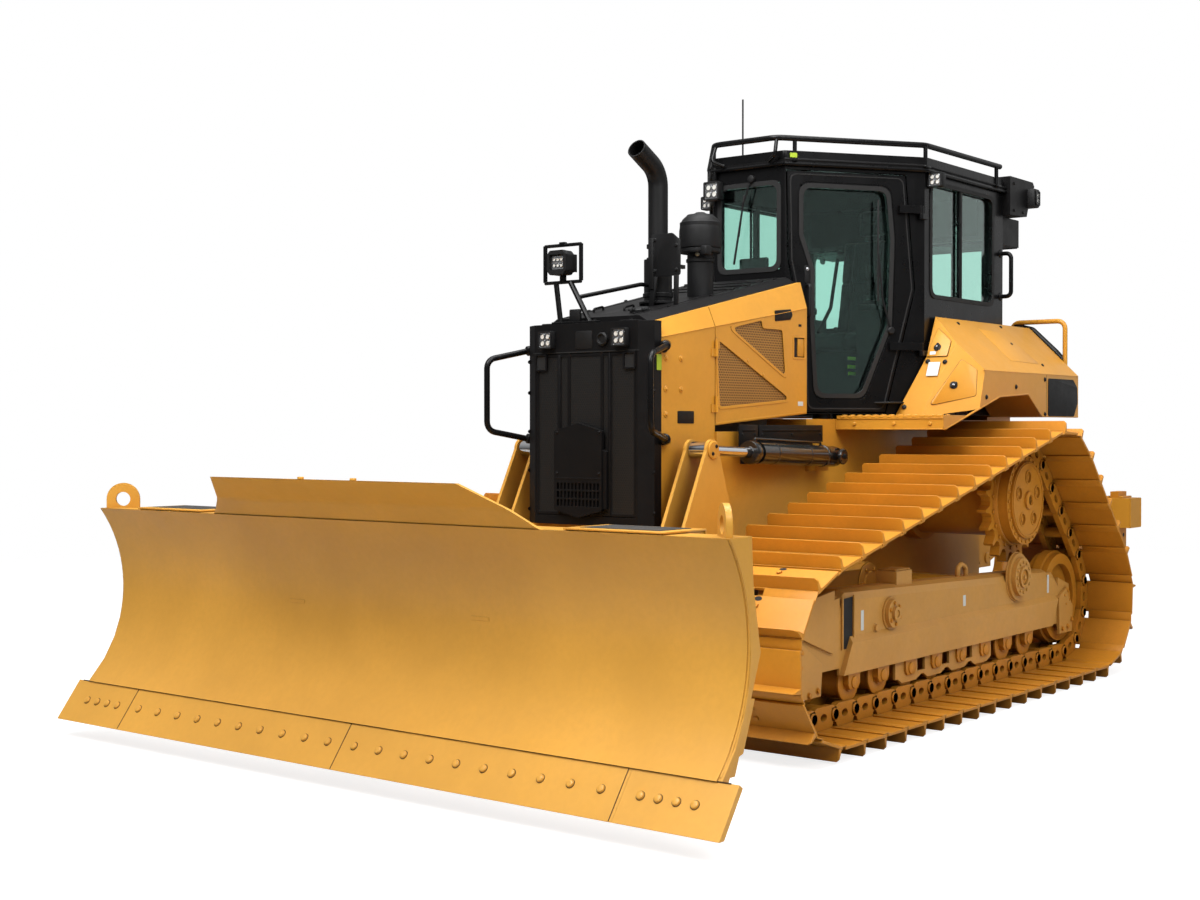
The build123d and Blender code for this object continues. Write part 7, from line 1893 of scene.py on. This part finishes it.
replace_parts(shown(work_lamp().joined(roof_lamps()), "lamps_round", "chassis", "black_plastic"), "lamps")
shown(window_details(), "window_details", "chassis", "cab_black")
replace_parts(shown(guard_rail(), "roof_rail_round", "chassis", "cab_black"), "roof_rail")
shown(cab_inside(), "cab_fittings", "chassis", "black_plastic")
shown(fender_details(), "fender_details", "chassis", "machine_yellow", True)
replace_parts(shown(rear_rails(), "rails_round", "chassis", "cab_black", True), "handrails")
shown(cooler_details(), "cooler_details", "chassis", "black_panel")
shown(tail_details(), "tail_details", "chassis", "machine_yellow")
shown(bracket_details(), "ripper_bracket_details", "chassis", "machine_yellow")
shown(beam_details(), "ripper_beam_details", "ripper_beam", "machine_yellow")
shown(shank_tips(), "ripper_tips", "ripper_beam", "shank_steel")
shown(lift_jacket().joined(cylinder_trim(*LIFT_ENDS, 0.0555, 0.027, 0.66)), "lift_barrel_trim",
      "lift_barrels", "barrel_black", True)
shown(rod_trim(LIFT_ENDS[1], LIFT_ENDS[0], 0.05, 0.027), "lift_rod_trim", "lift_rods", "rod_chrome", True)
shown(cylinder_trim(*TILT_ENDS, 0.045, 0.024, 0.55, front=False), "tilt_barrel_trim", "tilt_barrel",
      "barrel_black")
shown(cylinder_trim(*RIPPER_ENDS, 0.058, 0.03, 0.8), "ripper_barrel_trim", "ripper_barrels", "barrel_black",
      True)
shown(rod_trim(RIPPER_ENDS[1], RIPPER_ENDS[0], 0.058, 0.03), "ripper_rod_trim", "ripper_rods", "rod_chrome",
      True)
shown(side_covers(), "side_covers", "chassis", "black_panel", True)
for name, side in SIDES:
    barrel = cylinder_trim(*ANGLE_ENDS, 0.052, 0.028, 0.62)
    rod = rod_trim(ANGLE_ENDS[1], ANGLE_ENDS[0], 0.052, 0.028)
    on_side(barrel, side).make("angle_barrel_trim_" + name, "angle_barrel_" + name, "barrel_black")
    on_side(rod, side).make("angle_rod_trim_" + name, "angle_rod_" + name, "rod_chrome")
    on_side(door_details(), side).make("cab_door_details_" + name, "cab_door_" + name, "cab_black")
    on_side(hood_door_details(), side).make("engine_door_details_" + name, "engine_door_" + name,
                                            "machine_yellow")


# Camera, floor and light

def make_camera():
    """The photograph's camera, with its focal length in the photo's pixels."""
    data = bpy.data.cameras.new("camera")
    camera = bpy.data.objects.new("camera", data)
    bpy.context.scene.collection.objects.link(camera)
    focal_pixels, width_pixels = 1620.0, 1200.0
    sensor_width = 36.0
    data.sensor_width = sensor_width
    data.lens = sensor_width * focal_pixels / width_pixels
    data.clip_end = 200.0
    camera.location = (8.0535, 5.062, 1.508)
    yaw, pitch = math.radians(218.0), math.radians(-0.707)
    look = Vector((math.cos(yaw) * math.cos(pitch), math.sin(yaw) * math.cos(pitch), math.sin(pitch)))
    camera.rotation_mode = "QUATERNION"
    camera.rotation_quaternion = look.to_track_quat("-Z", "Y")
    bpy.context.scene.camera = camera


def make_floor():
    """A round white floor that fades out to clear before its edge."""
    mesh = bpy.data.meshes.new("floor")
    rings, sides, radius = 24, 64, 14.0
    points = [(0.0, 0.0, 0.0)]
    for i in range(1, rings + 1):
        r = radius * i / rings
        points += [(r * math.cos(2 * math.pi * k / sides), r * math.sin(2 * math.pi * k / sides), 0.0)
                   for k in range(sides)]
    faces = [(0, 1 + k, 1 + (k + 1) % sides) for k in range(sides)]
    for i in range(rings - 1):
        a, b = 1 + i * sides, 1 + (i + 1) * sides
        faces += [(a + k, b + k, b + (k + 1) % sides, a + (k + 1) % sides) for k in range(sides)]
    mesh.from_pydata([(x, y, z - 0.001) for x, y, z in points], [], faces)
    floor = bpy.data.objects.new("floor", mesh)
    bpy.context.scene.collection.objects.link(floor)
    material, tree, shader = new_material("floor_white")
    set_inputs(shader, {"Base Color": (0.42, 0.42, 0.42, 1), "Roughness": 0.9, "Specular IOR Level": 0.0,
                        "Emission Color": (1, 1, 1, 1)})
    path = tree.nodes.new("ShaderNodeLightPath")
    glow = ramp(tree, math_node(tree, "MAXIMUM", path.outputs["Is Camera Ray"],
                                path.outputs["Is Transmission Ray"]), 0.0, 1.0, 0.03, 0.8)
    tree.links.new(glow, shader.inputs["Emission Strength"])
    coords = add_node(tree, "ShaderNodeTexCoord")
    length = tree.nodes.new("ShaderNodeVectorMath")
    length.operation = "LENGTH"
    tree.links.new(coords.outputs["Object"], length.inputs[0])
    fade = ramp(tree, length.outputs["Value"], 5.5, 12.5)
    clear = tree.nodes.new("ShaderNodeBsdfTransparent")
    mix = tree.nodes.new("ShaderNodeMixShader")
    out = next(n for n in tree.nodes if n.type == "OUTPUT_MATERIAL")
    tree.links.new(fade, mix.inputs[0])
    tree.links.new(shader.outputs[0], mix.inputs[1])
    tree.links.new(clear.outputs[0], mix.inputs[2])
    tree.links.new(mix.outputs[0], out.inputs["Surface"])
    mesh.materials.append(material)


def make_world():
    """White behind the machine, and a soft dome of light from above."""
    world = bpy.data.worlds.new("studio")
    bpy.context.scene.world = world
    world.use_nodes = True
    tree = world.node_tree
    tree.nodes.clear()
    out = tree.nodes.new("ShaderNodeOutputWorld")
    white = tree.nodes.new("ShaderNodeBackground")
    set_inputs(white, {0: (1, 1, 1, 1)})
    dome = tree.nodes.new("ShaderNodeBackground")
    coords = tree.nodes.new("ShaderNodeTexCoord")
    split = tree.nodes.new("ShaderNodeSeparateXYZ")
    tree.links.new(coords.outputs["Generated"], split.inputs[0])
    shade = ramp(tree, split.outputs["Z"], -0.15, 0.9, 0.06, 0.62)
    tree.links.new(shade, dome.inputs["Strength"])
    path = tree.nodes.new("ShaderNodeLightPath")
    seen = math_node(tree, "MAXIMUM", path.outputs["Is Camera Ray"], path.outputs["Is Transmission Ray"])
    mix = tree.nodes.new("ShaderNodeMixShader")
    tree.links.new(seen, mix.inputs[0])
    tree.links.new(dome.outputs[0], mix.inputs[1])
    tree.links.new(white.outputs[0], mix.inputs[2])
    tree.links.new(mix.outputs[0], out.inputs[0])


LIGHTS = [
    ("overhead", (1.5, 1.0, 8.5), 7.0, 570.0),
    ("ahead", (7.5, 0.5, 8.5), 5.0, 640.0),
    ("key", (4.4, 8.6, 7.4), 5.0, 350.0),
    ("rear", (-8.5, 4.5, 4.3), 8.0, 70.0),
]


def make_lights():
    """Round lamps that look at the middle of the machine."""
    for name, at, size, power in LIGHTS:
        data = bpy.data.lights.new(name, "AREA")
        data.shape = "DISK"
        data.size = size
        data.energy = power
        lamp = bpy.data.objects.new(name, data)
        lamp.location = at
        lamp.rotation_mode = "QUATERNION"
        lamp.rotation_quaternion = (Vector((0.3, 0, 1.0)) - Vector(at)).to_track_quat("-Z", "Y")
        bpy.context.scene.collection.objects.link(lamp)


make_camera()
make_floor()
make_world()
make_lights()
bpy.context.scene.view_settings.view_transform = "Standard"
